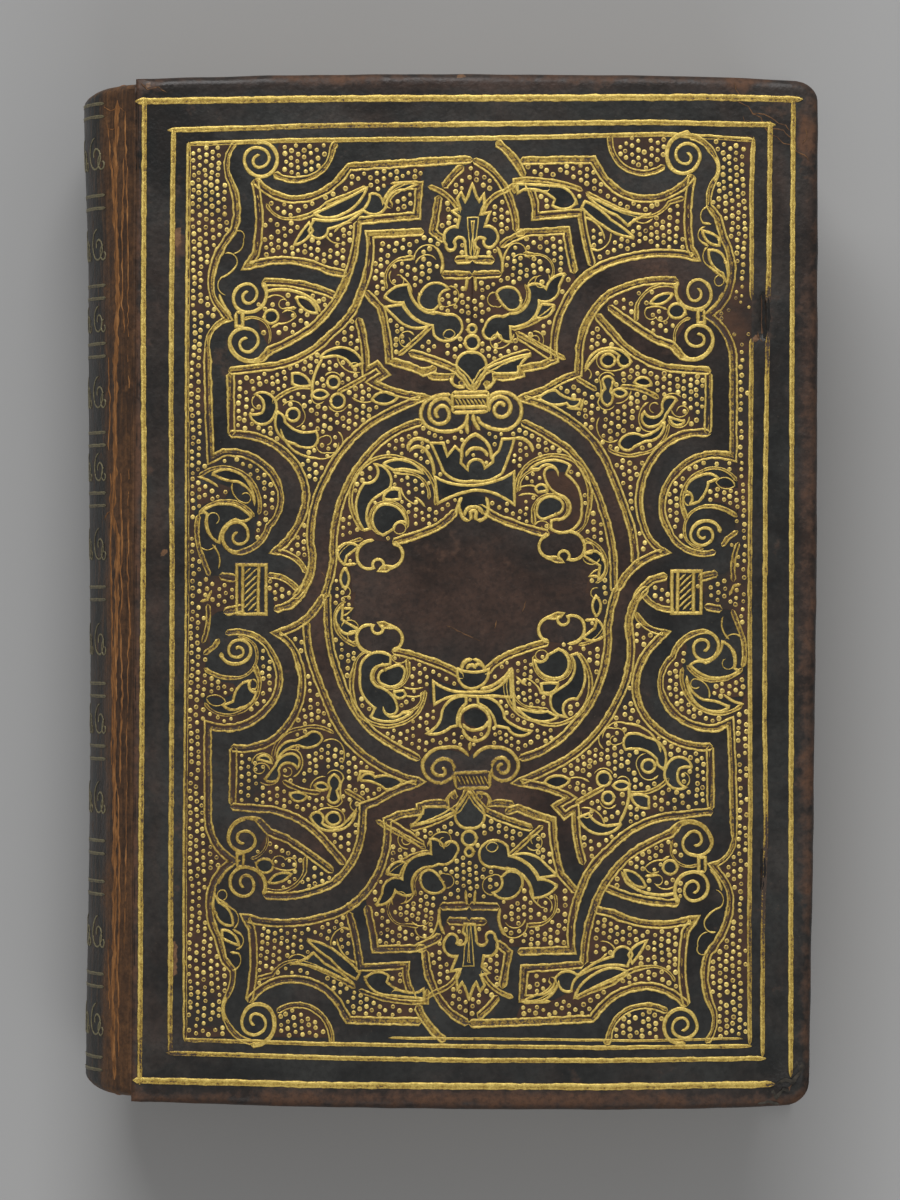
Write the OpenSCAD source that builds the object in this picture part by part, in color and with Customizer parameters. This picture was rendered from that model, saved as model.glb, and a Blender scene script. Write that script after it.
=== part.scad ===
// An old leather-bound book: pasteboard covers in dark leather, tooled in gold with
// interlaced straps, curled leaves and dotted grounds, on a sewn block of pages with
// a rounded spine.
//
// The book lies on its back cover. X runs from the spine (-X) to the fore-edge (+X),
// Y from the tail (-Y) to the head (+Y), and Z is the thickness, 0 under the back
// cover. The origin is in the middle of the footprint. Millimetres.
//
// Each cover opens on a hinge line at its outer spine-side edge: about 175 degrees.

/* [Book] */
// Thickness of the closed book over both covers
book_thickness = 38; // [20:0.5:80]
// Width of each cover board with its leather, spine side to fore-edge
cover_width = 116; // [80:1:220]
// Height of each cover with its leather
cover_height = 175; // [120:1:320]
// How far the rounded spine stands out past the covers
spine_depth = 9; // [4:0.5:16]

/* [Covers] */
// Thickness of one cover, leather and lining included
cover_thickness = 4; // [2.5:0.1:8]
// Thickness of the leather on the outside of a cover
leather_thickness = 0.8; // [0.4:0.1:2]
// Thickness of the leather where it is turned in on the inside
turn_in_thickness = 0.4; // [0.2:0.1:1]
// Width of the leather turned in on the inside
turn_in_width = 13; // [6:1:25]
// Bow of the worn head and tail edges of the front cover
edge_bow = 1.1; // [0:0.1:3]
// Bow of the worn fore-edge of the front cover
fore_bow = 0.6; // [0:0.1:2]
// Rounding of the worn head corner at the fore-edge
head_corner = 5; // [1:0.5:10]
// Rounding of the chipped tail corner at the fore-edge
tail_corner = 6.5; // [1:0.5:12]
// Rounding of the other cover corners
plain_corner = 1; // [0.5:0.5:5]
// Length of the slits that held the ties
slit_length = 6.8; // [3:0.1:12]
// Width of the slits that held the ties
slit_width = 0.8; // [0.4:0.1:2]
// Distance of the tie slits from the fore-edge
slit_inset = 9.2; // [4:0.1:20]
// Height of the upper slit above the middle of the cover
upper_slit = 45.6; // [20:0.1:80]
// Distance of the lower slit below the middle of the cover
lower_slit = 49.2; // [20:0.1:80]
// Depth of the tie slits in the board
slit_depth = 1; // [0.2:0.1:3]

/* [Pages] */
// Margin of the covers beyond the pages at head, tail and fore-edge
square_margin = 3.5; // [1:0.5:8]
// Hollow of the fore-edge of the pages
fore_edge_hollow = 2.5; // [0:0.5:6]

/* [Spine] */
// Thickness of the leather over the spine
spine_leather_thickness = 1.2; // [0.6:0.1:2.5]
// Thickness of the lining between the pages and the spine leather
lining_thickness = 1.3; // [0.5:0.1:3]
// Gap that lets each cover swing past the spine leather
hinge_gap = 0.1; // [0.05:0.05:0.5]
// Rounding of the spine leather at head and tail
cap_round = 4; // [1:0.5:8]
// How much shorter the spine leather is than the covers, at each end
cap_step = 0.9; // [0:0.1:3]
// Width of each sewing support
support_width = 6; // [3:0.5:12]
// Thickness of each sewing support
support_thickness = 0.8; // [0.3:0.1:2]
// Radius of the endband roll
endband_radius = 1.4; // [0.8:0.1:2.5]
// Width of the seat of the endband roll on the pages
endband_seat = 0.6; // [0.2:0.1:1]

/* [Gold tooling] */
// Height of the tooled gold lines over the leather
line_height = 0.15; // [0.1:0.01:0.4]
// Height of the dotted gold grounds over the leather
ground_height = 0.08; // [0.05:0.01:0.3]
// Width of a double strap line
strap_line = 1; // [0.5:0.05:2]
// Width of the outer frame line
outer_frame_line = 1; // [0.5:0.1:2]
// Width of the two inner frame lines
inner_frame_line = 0.8; // [0.4:0.1:2]
// Gap between a gold line and the dotted ground beside it
ground_gap = 0.05; // [0.02:0.01:0.2]
// Depth of the frame lines sunk in the back cover
back_line_depth = 0.12; // [0.05:0.01:0.3]
// Width of each gold line across the spine
spine_line = 0.7; // [0.3:0.1:2]
// Distance between the two gold lines of a pair on the spine
spine_pair = 2.2; // [1:0.1:4]

// Margin of the tooled frame at the spine side
frame_spine_margin = 1.5; // [0.5:0.1:10]
// Margin of the tooled frame at the fore-edge
frame_fore_margin = 3.5; // [0.5:0.1:10]
// Margin of the tooled frame at head and tail
frame_end_margin = 3.3; // [0.5:0.1:10]
// Width of the plain band between the outer frame line and the inner pair
frame_band = 4.8; // [2:0.1:10]
// Distance between the two inner frame lines
frame_pair = 2.2; // [1:0.1:5]

/* [Hidden] */
slack = 0.01;
turn = 180;

left_edge = -(cover_width + spine_depth) / 2;
right_edge = -left_edge;
board_left = left_edge + spine_depth;
top = book_thickness;
middle = book_thickness / 2;
page_low = cover_thickness;
page_high = book_thickness - cover_thickness;
page_height = cover_height - 2 * square_margin;
page_block = page_high - page_low;
board_thickness = cover_thickness - leather_thickness - turn_in_thickness;

// The spine is one round: it meets each cover's outer spine-side edge.
drop_at_joint = 0.3;
spine_half = middle - drop_at_joint;
spine_radius = (spine_half * spine_half + spine_depth * spine_depth) / (2 * spine_depth);
spine_centre = left_edge + spine_radius;
lining_radius = spine_radius - spine_leather_thickness;
page_radius = lining_radius - lining_thickness;
page_left = spine_centre - sqrt(pow(page_radius, 2) - pow(middle - page_low, 2));
page_right = right_edge - fore_bow - square_margin;
endband_gap = 0.3;
support_places = [-48, -22.5, -0.5, 21, 46.5];
drawn_spine = 175;
drawn_pair_places = [
    -81.5, -67.2, -51.3, -44.3, -28, -17.2, -0.6, 15.6, 26, 41.3, 51.3, 66.8, 82.5
];
spine_pair_places = [for (y = drawn_pair_places) y * cover_height / drawn_spine];
// The spine gilding stops short of the covers' swing.
gilding_stop = board_left - 0.8;

// The tooled frame sits a little towards the spine on its cover.
outer_half_x = (cover_width - frame_spine_margin - frame_fore_margin) / 2;
outer_half_y = cover_height / 2 - frame_end_margin;
middle_half_x = outer_half_x - frame_band;
middle_half_y = outer_half_y - frame_band;
inner_half_x = middle_half_x - frame_pair;
inner_half_y = middle_half_y - frame_pair;
frame_x = board_left + frame_spine_margin + outer_half_x;
corner_overrun = 1.2;

// The strapwork repeats by a half turn about its own axis, a little off the middle of
// the frame. The two kinds of quarter differ in which strap passes over. Each is drawn
// for the upper left of a cover whose inner frame has these half sizes.
drawn_half_x = 48.5;
drawn_half_y = 77.2;
drawn_axis = 0.7;
over_shift = -0.65;
under_shift = 0.75;
axis_shift = -0.85;
line_sag = 0.25;
outline_sag = 0.06;
line_spread = 0.02;
flattest = 0.02;

// The straps run through a buckle on each side: its drawn place and half sizes.
buckle_places = [-37.5, 37];
buckle_half_x = 2.6;
buckle_half_y = 3.9;
buckle_line = 0.9;

// Curves

function circle_centre(a, m, b) =
    let (d = 2 * (a.x * (m.y - b.y) + m.x * (b.y - a.y) + b.x * (a.y - m.y)))
    let (aa = a * a, mm = m * m, bb = b * b)
    [
        (aa * (m.y - b.y) + mm * (b.y - a.y) + bb * (a.y - m.y)) / d,
        (aa * (b.x - m.x) + mm * (a.x - b.x) + bb * (m.x - a.x)) / d
    ];

function side_of(a, m, b) = (m.x - a.x) * (b.y - m.y) - (m.y - a.y) * (b.x - m.x);

function turned(p, c, angle) =
    [
        c.x + (p.x - c.x) * cos(angle) - (p.y - c.y) * sin(angle),
        c.y + (p.x - c.x) * sin(angle) + (p.y - c.y) * cos(angle)
    ];

function angle_at(a, m, b) =
    acos(max(-1, min(1, ((a - m) * (b - m)) / (norm(a - m) * norm(b - m)))));

// Points after a along the arc from a through m to b. No chord lies further than sag
// inside the arc.
function arc_points(a, m, b, sag) =
    let (bend = side_of(a, m, b))
    abs(bend) < flattest * norm(b - a)
    ? [b]
    : let (c = circle_centre(a, m, b))
      let (step = 2 * acos(max(0, 1 - sag / norm(a - c))))
      let (sweep = sign(bend) * (2 * turn - 2 * angle_at(a, m, b)))
      let (count = ceil(abs(sweep) / step))
      [for (i = [1:count]) turned(a, c, sweep * i / count)];

function flat(p) = [p.x, p.y];

// A path is a list of points; one with a third number lies on the arc that joins its
// neighbours, as one print of a curved tool does.
function trace(path, sag = line_sag) =
    [
        for (i = [0:len(path) - 1])
        if (len(path[i]) == 2)
        each (
            i > 0 && len(path[i - 1]) == 3
            ? arc_points(flat(path[i - 2]), flat(path[i - 1]), flat(path[i]), sag)
            : [flat(path[i])]
        )
    ];

function unit(v) = v / max(norm(v), 0.001);

function normal_at(p, i) =
    let (back = i > 0 ? unit(p[i] - p[i - 1]) : unit(p[1] - p[0]))
    let (ahead = i < len(p) - 1 ? unit(p[i + 1] - p[i]) : back)
    let (along = unit(back + ahead))
    [-along.y, along.x] / max(0.5, along * ahead);

// The outline of a line of the given width along the points p.
function ribbon(p, width) =
    [
        for (i = [0:len(p) - 1]) p[i] + normal_at(p, i) * width / 2,
        for (i = [len(p) - 1:-1:0]) p[i] - normal_at(p, i) * width / 2
    ];

// Strapwork, quarter with the corner strap over

function over_straps() = [
    [[-39.9, 77.1], [-41.4, 74, 1], [-41, 71], [-39.7, 66.2, 1], [-40.3, 62], [-43.1, 57.7, 1],
        [-44, 54.4], [-43.6, 51, 1], [-42.1, 48.7], [-41, 47.4], [-43.8, 45.4, 1], [-44.6, 42],
        [-44.3, 30.8], [-43.9, 23.1], [-41.7, 24.2], [-36, 23, 1], [-32.5, 19], [-31.9, 16, 1],
        [-34, 11.6], [-36.2, 8.2, 1], [-39.1, 7], [-41.8, 9.2, 1], [-41, 11.6], [-38.4, 12, 1],
        [-37.5, 10.3], [-38, 8.8, 1], [-39.2, 8.5], [-40.1, 9.5, 1], [-39.2, 10.6]],
    [[-36.5, 77.2], [-33.2, 75.8, 1], [-33.4, 72.4], [-36, 71.4, 1], [-38.2, 73.3],
        [-37.6, 75.9, 1], [-35.3, 76], [-34.2, 74.3, 1], [-35.6, 72.9], [-36.9, 73.9, 1],
        [-35.7, 75]],
    [[-33.4, 71.9], [-31, 70.9, 1], [-27.1, 71.2], [-24.7, 72.8, 1], [-23.3, 76], [-22.7, 76.9]],
    [[-36.7, 70.9], [-34.2, 68.8, 1], [-30.3, 67.5], [-25.6, 68.4, 1], [-21.4, 71.6],
        [-20.4, 72.8], [-14, 73.2], [-6.6, 73.6], [-1.1, 73.8], [0.7, 73.8]],
    [[-36.7, 70.9], [-35.8, 64.4, 1], [-36.4, 58.3], [-37.9, 56.3], [-34.9, 57], [-30, 57.2, 1],
        [-24, 55.5], [-20.7, 54.8]],
    [[-19, 64], [-19.4, 59.5, 1], [-20.7, 54.4], [-23, 49.9, 1], [-27, 45.6], [-30.3, 43.7, 1],
        [-33.8, 42.1], [-35.3, 40.6], [-38.8, 40.6, 1], [-40.8, 43.4], [-39.6, 45.5, 1],
        [-37.7, 45.7], [-35.9, 44.2, 1], [-36.6, 42.3], [-38.3, 41.9, 1], [-39, 42.8],
        [-38.7, 43.9, 1], [-37.7, 44.1]],
    [[-19, 64], [-15, 64.4], [-8.9, 64.9], [-8.5, 69.8], [-9.6, 69.7], [-12.4, 68.9, 1],
        [-14, 67.3], [-13.2, 66.2]],
    [[-35.3, 53.6], [-30, 53.3, 1], [-22.5, 51]],
    [[-35.3, 53.6], [-34.5, 51.3, 1], [-37.2, 48.6], [-40.2, 50.8, 1], [-38.4, 53.2],
        [-36.2, 52.2, 1], [-37, 50.2], [-38.6, 51, 1], [-37.6, 52]],
    [[-41, 38.4], [-34.9, 39.1], [-27.9, 41.1, 1], [-23.3, 44.7], [-20, 48.2, 1], [-18.3, 51.9],
        [-16.9, 57, 1], [-16.9, 61.6], [-7.6, 62.1]],
    [[-40.6, 38.2], [-40.4, 27.2]],
    [[-18.9, 47.4], [-17.8, 43, 1], [-17.5, 38.1], [-15.6, 39.2], [-14.2, 37.7], [-16.6, 36.3],
        [-13.1, 34.8, 1], [-7.4, 33.7], [-11.5, 32, 1], [-15.9, 29.7], [-20.7, 25.5, 1],
        [-24.2, 20], [-26.1, 15.4, 1], [-26.8, 8.5], [-26.7, 3.6, 1], [-28, 0.7], [-29.7, -1.1]],
    [[-40.9, 27.4], [-34.9, 26.6, 1], [-29.9, 22.9], [-27.7, 18, 1], [-28.4, 12.9],
        [-30.2, 9.8, 1], [-32.9, 7.2], [-29.2, 5.8, 1], [-27.5, 3.4]],
    [[-17.7, 52], [-15, 49.1], [-13.9, 44.6, 1], [-13.5, 40], [-10.3, 39.1], [-7.6, 38],
        [-6.2, 38.4], [-5.4, 38.9]],
    [[-7, 37.6], [-5, 37.2, 1], [-2.7, 37.4], [-2.1, 35.7, 1], [-1, 35.6], [-1, 36.7]],
    [[-10.2, 41.4], [-6, 40.2, 1], [-2, 38.5], [-0.5, 37], [0.9, 35]],
    [[-0.9, 72.9], [-2.7, 71.3], [-4.4, 69.4]],
    [[-5.1, 68.2], [-5.6, 65, 1], [-6.1, 62.2], [-5, 61.2], [-3.9, 60.6]],
    [[-34.2, 3], [-31, 2.3, 1], [-28.8, 0.2]],
    [[-42.4, 2.9], [-39.3, 2.4]],
    [[-7.7, 29.5], [-12.6, 27.6, 1], [-17, 23.7], [-20.2, 19, 1], [-22, 14.4], [-22.8, 9.4, 1],
        [-22.8, 6], [-23.3, 2.9], [-24.4, -1]],
    [[-2.6, 33], [-3.9, 33.9, 1], [-6.4, 33.4], [-7.8, 30.7, 1], [-6.3, 28.2], [-3.3, 27.5, 1],
        [-0.1, 30.1]],
    [[-2.6, 33], [-2.6, 30.6], [-4.7, 29, 1], [-6.3, 31], [-4.9, 32.2, 1], [-3.8, 31],
        [-4.6, 29.9, 1], [-5.3, 30.7]],
    [[0.7, 31], [-2.6, 31], [-2.6, 34.2], [0.7, 34.3]],
    [[0.7, 17.5], [-2, 17, 1], [-4.9, 15.6], [-5, 18.8], [-3, 18.7, 1], [0.7, 18.7]],
    [[-12.8, 8.8], [-10.5, 9.5, 1], [-6.6, 10.9], [-4, 12.3, 1], [-1.8, 14.5]],
    [[-12.8, 8.8], [-11, 6.7, 1], [-13.2, 4.4], [-14.7, 4], [-15.3, 5.8, 1], [-16, 4.3],
        [-17.4, 4.2, 1], [-18.8, 6], [-18.4, 8, 1], [-15.9, 9.2]],
    [[0.7, 54.5], [-4.6, 54.6]],
    [[0.7, 57.2], [-2.4, 57.1]]
];

function over_leaves() = [
    [[-26.5, 65.2], [-23, 66.7, 1], [-17.4, 69.5], [-18.6, 67.4, 1], [-21.5, 65.2],
        [-24, 64.5, 1], [-26.5, 65.2]],
    [[-26.4, 64.2], [-23.5, 64, 1], [-19.3, 65.3], [-17.3, 66.8, 1], [-16.9, 68.4],
        [-15.6, 68.4, 1], [-14.7, 66.9], [-13.9, 68.6, 1], [-9, 70], [-11, 69.1],
        [-13.8, 67.7, 1], [-14.2, 66.3], [-15.8, 65.2, 1], [-18, 65.9], [-20.5, 64, 1],
        [-24, 62.6], [-26, 61, 1], [-27.3, 62.3]],
    [[-27.3, 63.6], [-28.6, 62, 1], [-29.8, 59.9], [-27.6, 61, 1], [-26.6, 62.3]],
    [[-29.4, 51], [-26.9, 50.2, 1], [-25.9, 48.3], [-28, 48.9, 1], [-29.4, 51]],
    [[-37.3, 31], [-35, 29.2, 1], [-33, 31], [-33.4, 34, 1], [-36.4, 34.4], [-34.9, 33, 1],
        [-35.2, 31.2], [-36.2, 30.9, 1], [-37.3, 31]],
    [[-30, 37.9], [-27.8, 37.4, 1], [-26.9, 35.9], [-28.4, 35.7, 1], [-30, 36.2]],
    [[-32.6, 31.2], [-32.6, 28, 1], [-29.6, 25.8], [-28, 25.1, 1], [-26.4, 25.2],
        [-25.6, 26.6, 1], [-26, 27.9], [-29.6, 28.2, 1], [-31.3, 29.6], [-31.6, 30.6, 1],
        [-32.6, 31.2]],
    [[-25.3, 40.6], [-22, 42.3, 1], [-18, 39.6], [-19.7, 38.9], [-21.6, 40.6, 1], [-23, 40.9]],
    [[-16.4, 33.3], [-14.8, 34.5, 1], [-12.1, 33.6], [-14.3, 32.5, 1], [-16.4, 33.3]],
    [[-8.1, 51.5], [-6, 53.2, 1], [-3.4, 52.2], [-4.9, 51, 1], [-4.8, 49.6], [-5.7, 48.8],
        [-8, 49.2, 1], [-8.1, 51.5]],
    [[-14.3, 51], [-12.4, 52.6, 1], [-10.2, 53], [-9.6, 50.6, 1], [-7, 48.2], [-5.4, 48.2],
        [-3.6, 47.8], [-1.4, 47, 1], [-1.4, 44.6], [-3.4, 43.4, 1], [-5.8, 44.4], [-6.1, 46],
        [-9.7, 47.8, 1], [-11.1, 50], [-12.8, 50.1, 1], [-14.3, 51]],
    [[-14.3, 49.2], [-11.3, 49.6], [-9.8, 47.6, 1], [-6.4, 46.1], [-10, 45.8, 1], [-12.4, 47.4]],
    [[-15.9, 22.2], [-15.3, 20.3, 1], [-17.6, 19], [-19, 15, 1], [-17.6, 10.9], [-16.6, 11.2],
        [-17.2, 13.8, 1], [-15.8, 16.4], [-13.3, 18.1], [-13.2, 20.2, 1], [-14.6, 21.9]],
    [[-14.4, 22.2], [-11, 22.9, 1], [-7.6, 20.6], [-9.6, 21.2, 1], [-12.6, 21.2]],
    [[-14.4, 10.1], [-16.2, 12.4, 1], [-14.8, 15.2], [-12, 14.8, 1], [-10.4, 12.2],
        [-11.6, 12.4, 1], [-12.6, 11.2]],
    [[-14.4, 16.3], [-13.2, 17.8, 1], [-11.7, 17.7], [-11.5, 16.3], [-13, 16.1, 1],
        [-14.4, 16.3]],
    [[0.8, 21.3], [-0.6, 21.9, 1], [-1.2, 25.2], [-2.4, 25.5, 1], [-3.3, 23.6],
        [-4.2, 25.1, 1], [-5.8, 25.4], [-4.2, 21.6, 1], [-2, 19.6], [0.8, 19.2]],
    [[-43.6, 20.6], [-40.8, 21.3, 1], [-38, 19.8], [-36.8, 17.8, 1], [-36.4, 15.4],
        [-36.9, 17.2, 1], [-39.3, 19.3], [-41.4, 19.6, 1], [-43.6, 20.6]],
    [[-45.2, 14.2], [-41, 15.4, 1], [-37, 13.2], [-38.2, 12.5, 1], [-39.6, 12.8],
        [-42, 10.8, 1], [-42.4, 8.8], [-44.6, 11.4, 1], [-44.4, 13.7]],
    [[-22.2, 7.6], [-19.8, 8.6, 1], [-18.6, 8], [-19.6, 7.2, 1], [-20.6, 6.4], [-21, 4.9],
        [-21.9, 6, 1], [-22.2, 7.6]]
];

function over_grounds() = [
    [[-50, 78], [-39.6, 78], [-39.9, 77.1], [-41.4, 74, 1], [-41, 71], [-39.7, 66.2, 1], [-40.3, 62],
        [-43.1, 57.7, 1], [-44, 54.4], [-43.6, 51, 1], [-42.1, 48.7], [-41, 47.4],
        [-43.8, 45.4, 1], [-44.6, 42], [-44.3, 30.8], [-43.9, 23.1], [-46, 19, 1], [-46.2, 11],
        [-46, 7.6, 1], [-44, 3], [-42.4, 2.9], [-39.3, 2.4], [-39.3, 0], [-50, 0]],
    [[-32.5, 76.9], [-33.2, 73.8, 1], [-33.4, 71.9], [-31, 70.9, 1], [-27.1, 71.2],
        [-24.7, 72.8, 1], [-23.3, 76], [-22.7, 76.9]],
    [[-36.7, 70.9], [-34.2, 68.8, 1], [-30.3, 67.5], [-25.6, 68.4, 1], [-21.4, 71.6],
        [-20.4, 72.8], [-7.5, 72.8], [-8.4, 70.4], [-14, 69.9], [-19.8, 66.9], [-19, 64],
        [-19.4, 59.5, 1], [-20.7, 54.8], [-24, 55.5], [-30, 57.2, 1], [-34.9, 57],
        [-37.9, 56.3], [-36.4, 58.3], [-35.8, 64.4, 1]],
    [[-19, 64], [-8.9, 64.9], [-8.5, 69.8], [-9.6, 69.7], [-12.4, 68.9, 1], [-14, 67.3]],
    [[-35.3, 53.6], [-30, 53.3, 1], [-22.5, 51], [-24.5, 48.2, 1], [-27, 45.6],
        [-30.3, 43.7, 1], [-33.8, 42.1], [-35.6, 45.5], [-36.3, 48.8], [-34.5, 51.3, 1]],
    [[-40.4, 38.4], [-34.9, 39.1], [-27.9, 41.1, 1], [-23.3, 44.7], [-19, 49], [-18.9, 47.4],
        [-17.8, 43, 1], [-17.5, 38.1], [-15.6, 39.2], [-14.2, 37.7], [-16.6, 36.3],
        [-13.1, 34.8, 1], [-7.4, 33.7], [-11.5, 32, 1], [-15.9, 29.7], [-20.7, 25.5, 1],
        [-24.2, 20], [-26.1, 15.4, 1], [-26.8, 8.5], [-27.1, 5.4], [-29.2, 5.9], [-32.9, 7.2],
        [-30.2, 9.8, 1], [-28.4, 12.9], [-27.7, 18, 1], [-29.9, 22.9], [-34.9, 26.6, 1],
        [-40.9, 27.4]],
    [[-16.9, 61.4], [-5, 61.2], [-4.6, 54.6], [0.7, 54.5], [0.7, 42], [-1.2, 41, 1], [-1.9, 38.6],
        [-6, 40.2, 1], [-10.2, 41.4], [-13.5, 40], [-13.9, 44.6, 1], [-15, 49.1], [-17.7, 52],
        [-16.9, 57, 1]],
    [[0.7, 73.4], [-2.7, 71.3, 1], [-4.6, 69.2], [-5.6, 65, 1], [-6.1, 62.2], [-3.9, 60.6],
        [-2.4, 57.1], [0.7, 57.2]],
    [[-34.2, 2.6], [-31, 2.1, 1], [-29, 0], [-34.2, 0]],
    [[-7.7, 29.5], [-12.6, 27.6, 1], [-17, 23.7], [-20.2, 19, 1], [-22, 14.4], [-22.8, 9.4, 1],
        [-22.8, 6], [-23.3, 2.9], [-24, 0], [-19.6, 0], [-20, 4.4], [-18.8, 6],
        [-18.4, 8, 1], [-15.9, 9.2], [-12.8, 8.8], [-10.5, 9.5, 1], [-6.6, 10.9],
        [-4, 12.3, 1], [-1.8, 14.5], [-2, 17], [-4.9, 15.6], [-5, 18.8], [0.7, 18.7], [0.7, 29],
        [-3.3, 27.5, 1], [-6.3, 28.2]]
];

// Strapwork, quarter with the corner strap under

function under_straps() = [
    [[-39.9, 78.1], [-43, 75.2, 1], [-42.3, 70.5], [-41.2, 67.8, 1], [-41.2, 66],
        [-42.7, 64.2], [-43.8, 60.5], [-45.2, 55, 1], [-44.1, 50.6], [-43, 49.1], [-41.2, 47.6],
        [-44.2, 44.6, 1], [-45.5, 40], [-45.6, 30.8], [-45.6, 23.6], [-40.6, 23.9, 1],
        [-35.6, 20.7], [-33.5, 16.4, 1], [-34.7, 10.9], [-37.4, 7.8, 1], [-42.7, 7.3]],
    [[-43.6, 7.8], [-40, 7.6, 1], [-38.6, 10.4], [-41.3, 13.1, 1], [-44, 10.6], [-41.6, 8.6, 1],
        [-40, 10.3], [-41.4, 11.6, 1], [-42.4, 10.6]],
    [[-38, 78], [-34.4, 76.2, 1], [-34.5, 72.5], [-36.7, 71.4, 1], [-39.3, 73.2],
        [-38.8, 75.9, 1], [-36.2, 75.9], [-35.5, 74.2, 1], [-37, 73], [-38.1, 74, 1],
        [-37.3, 74.8]],
    [[-33.6, 72.7], [-30.3, 71.4, 1], [-26.4, 72.5], [-24.7, 74.6, 1], [-24.2, 77.4]],
    [[-38.4, 71.2], [-35.3, 68.4, 1], [-30.6, 67.3], [-25.9, 68.4, 1], [-22.4, 71.8],
        [-21.3, 73.5], [-15, 73.6], [-8.8, 73.6]],
    [[-4.7, 76.7], [-7.4, 74.4, 1], [-9.6, 71]],
    [[-38.4, 71.2], [-37.6, 65.4, 1], [-38, 59], [-39.1, 57.3], [-36.9, 57.9],
        [-30.4, 58, 1], [-25, 56.8], [-20.6, 54.6, 1], [-17, 50.4], [-15.2, 46, 1],
        [-14.9, 40.2], [-12.9, 39.3], [-9.2, 38.6], [-9.2, 37.8], [-6.6, 37.2, 1],
        [-4.7, 37.3], [-4.4, 36.2, 1], [-3.5, 35.5], [-3.2, 36.6]],
    [[-21.4, 55.9], [-20.2, 60.2, 1], [-19.4, 65.1], [-15, 64.9], [-11.5, 64.6],
        [-11.4, 67, 1], [-10.5, 69.4], [-14, 69.2]],
    [[-36, 53.4], [-30, 53.2, 1], [-24, 51], [-20.6, 46.8, 1], [-19.2, 42], [-19, 37.8],
        [-16.8, 37], [-13.1, 34.9], [-9.2, 33.6], [-14.2, 31.9, 1], [-18.7, 29.1],
        [-22.4, 25.3, 1], [-24.6, 21.1], [-26.8, 15.6, 1], [-28.2, 11.3], [-28.7, 8.2, 1],
        [-28.8, 5.1]],
    [[-36, 53.4], [-35.8, 50.8, 1], [-38.2, 48.8], [-41.6, 50.6, 1], [-40.4, 53.4],
        [-37.9, 52.9, 1], [-37.8, 50.9], [-39.9, 50.8, 1], [-39.2, 52.2]],
    [[-24, 49.2], [-28.4, 46, 1], [-32, 43.7], [-35, 42.6], [-36.7, 40.7], [-40.8, 41.1, 1],
        [-42, 43.6], [-39.8, 46, 1], [-37.6, 45], [-37.9, 42.9, 1], [-39.8, 42.6],
        [-40.4, 44, 1], [-39.2, 44.5]],
    [[-41.7, 38.3], [-34.9, 38.7], [-29.8, 40.4, 1], [-26, 43.2], [-22, 47.8]],
    [[-41.3, 38.1], [-41.2, 27.6]],
    [[-41.7, 27.7], [-36.2, 27.2, 1], [-31.7, 23.3], [-29.6, 18, 1], [-30.2, 12],
        [-31.7, 9, 1], [-34.1, 7.2], [-29.7, 5.4, 1], [-26.4, 1.4], [-25.6, 0.5]],
    [[-18.3, 54.7], [-17.4, 58.6, 1], [-16.8, 62.1], [-9.8, 61.8], [-6.6, 60.3],
        [-5.5, 59.4]],
    [[-9.8, 61.8], [-8, 61.8]],
    [[-0.7, 73.8], [-4.4, 71.6, 1], [-6.7, 68.3], [-7.9, 65, 1], [-8.2, 62]],
    [[-10.9, 41.5], [-6.4, 40.1, 1], [-2.6, 38], [-1.6, 36.4], [-0.9, 35]],
    [[-15, 40.2], [-11.3, 42.6], [-8.5, 44.5]],
    [[-28.8, -1.5], [-29.7, 0.3], [-31.6, 2.2], [-34.4, 3.1]],
    [[-39.6, 2.6], [-43, 3.5]],
    [[-9.2, 29.6], [-13.1, 27.6, 1], [-17.4, 24.8], [-21.2, 19.6, 1], [-23.1, 15],
        [-24.8, 8.6, 1], [-25.2, 3.3], [-25.3, 0]],
    [[-3.9, 33], [-5.6, 34.6, 1], [-8.2, 33.4], [-9.1, 30.8, 1], [-7.2, 28.4],
        [-4.3, 28, 1], [-1.7, 30.6]],
    [[-3.9, 33], [-3.9, 31], [-5.8, 29.9, 1], [-7.4, 31.8], [-6.1, 33.1, 1], [-5, 31.9],
        [-5.7, 30.9, 1], [-6.4, 31.6]],
    [[-0.7, 31], [-3.9, 31], [-3.9, 34.4], [-0.7, 34.3]],
    [[-0.7, 17.5], [-4, 16.9, 1], [-7.8, 15.2], [-7.7, 19.8], [-4.6, 18.9, 1], [-0.7, 18.7]],
    [[-14.2, 10.4], [-11.5, 11, 1], [-7.6, 12.3], [-4.8, 13.4, 1], [-1.9, 15.2]],
    [[-14.2, 10.4], [-12.4, 8.4, 1], [-14.6, 6.1], [-16.1, 5.7], [-16.7, 7.4, 1],
        [-17.4, 5.9], [-18.8, 5.9, 1], [-20.2, 7.6], [-19.8, 9.6, 1], [-17.3, 10.8]],
    [[-0.7, 54.5], [-5.8, 54.7]],
    [[-0.7, 57.2], [-4.6, 57.1]]
];

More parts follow.
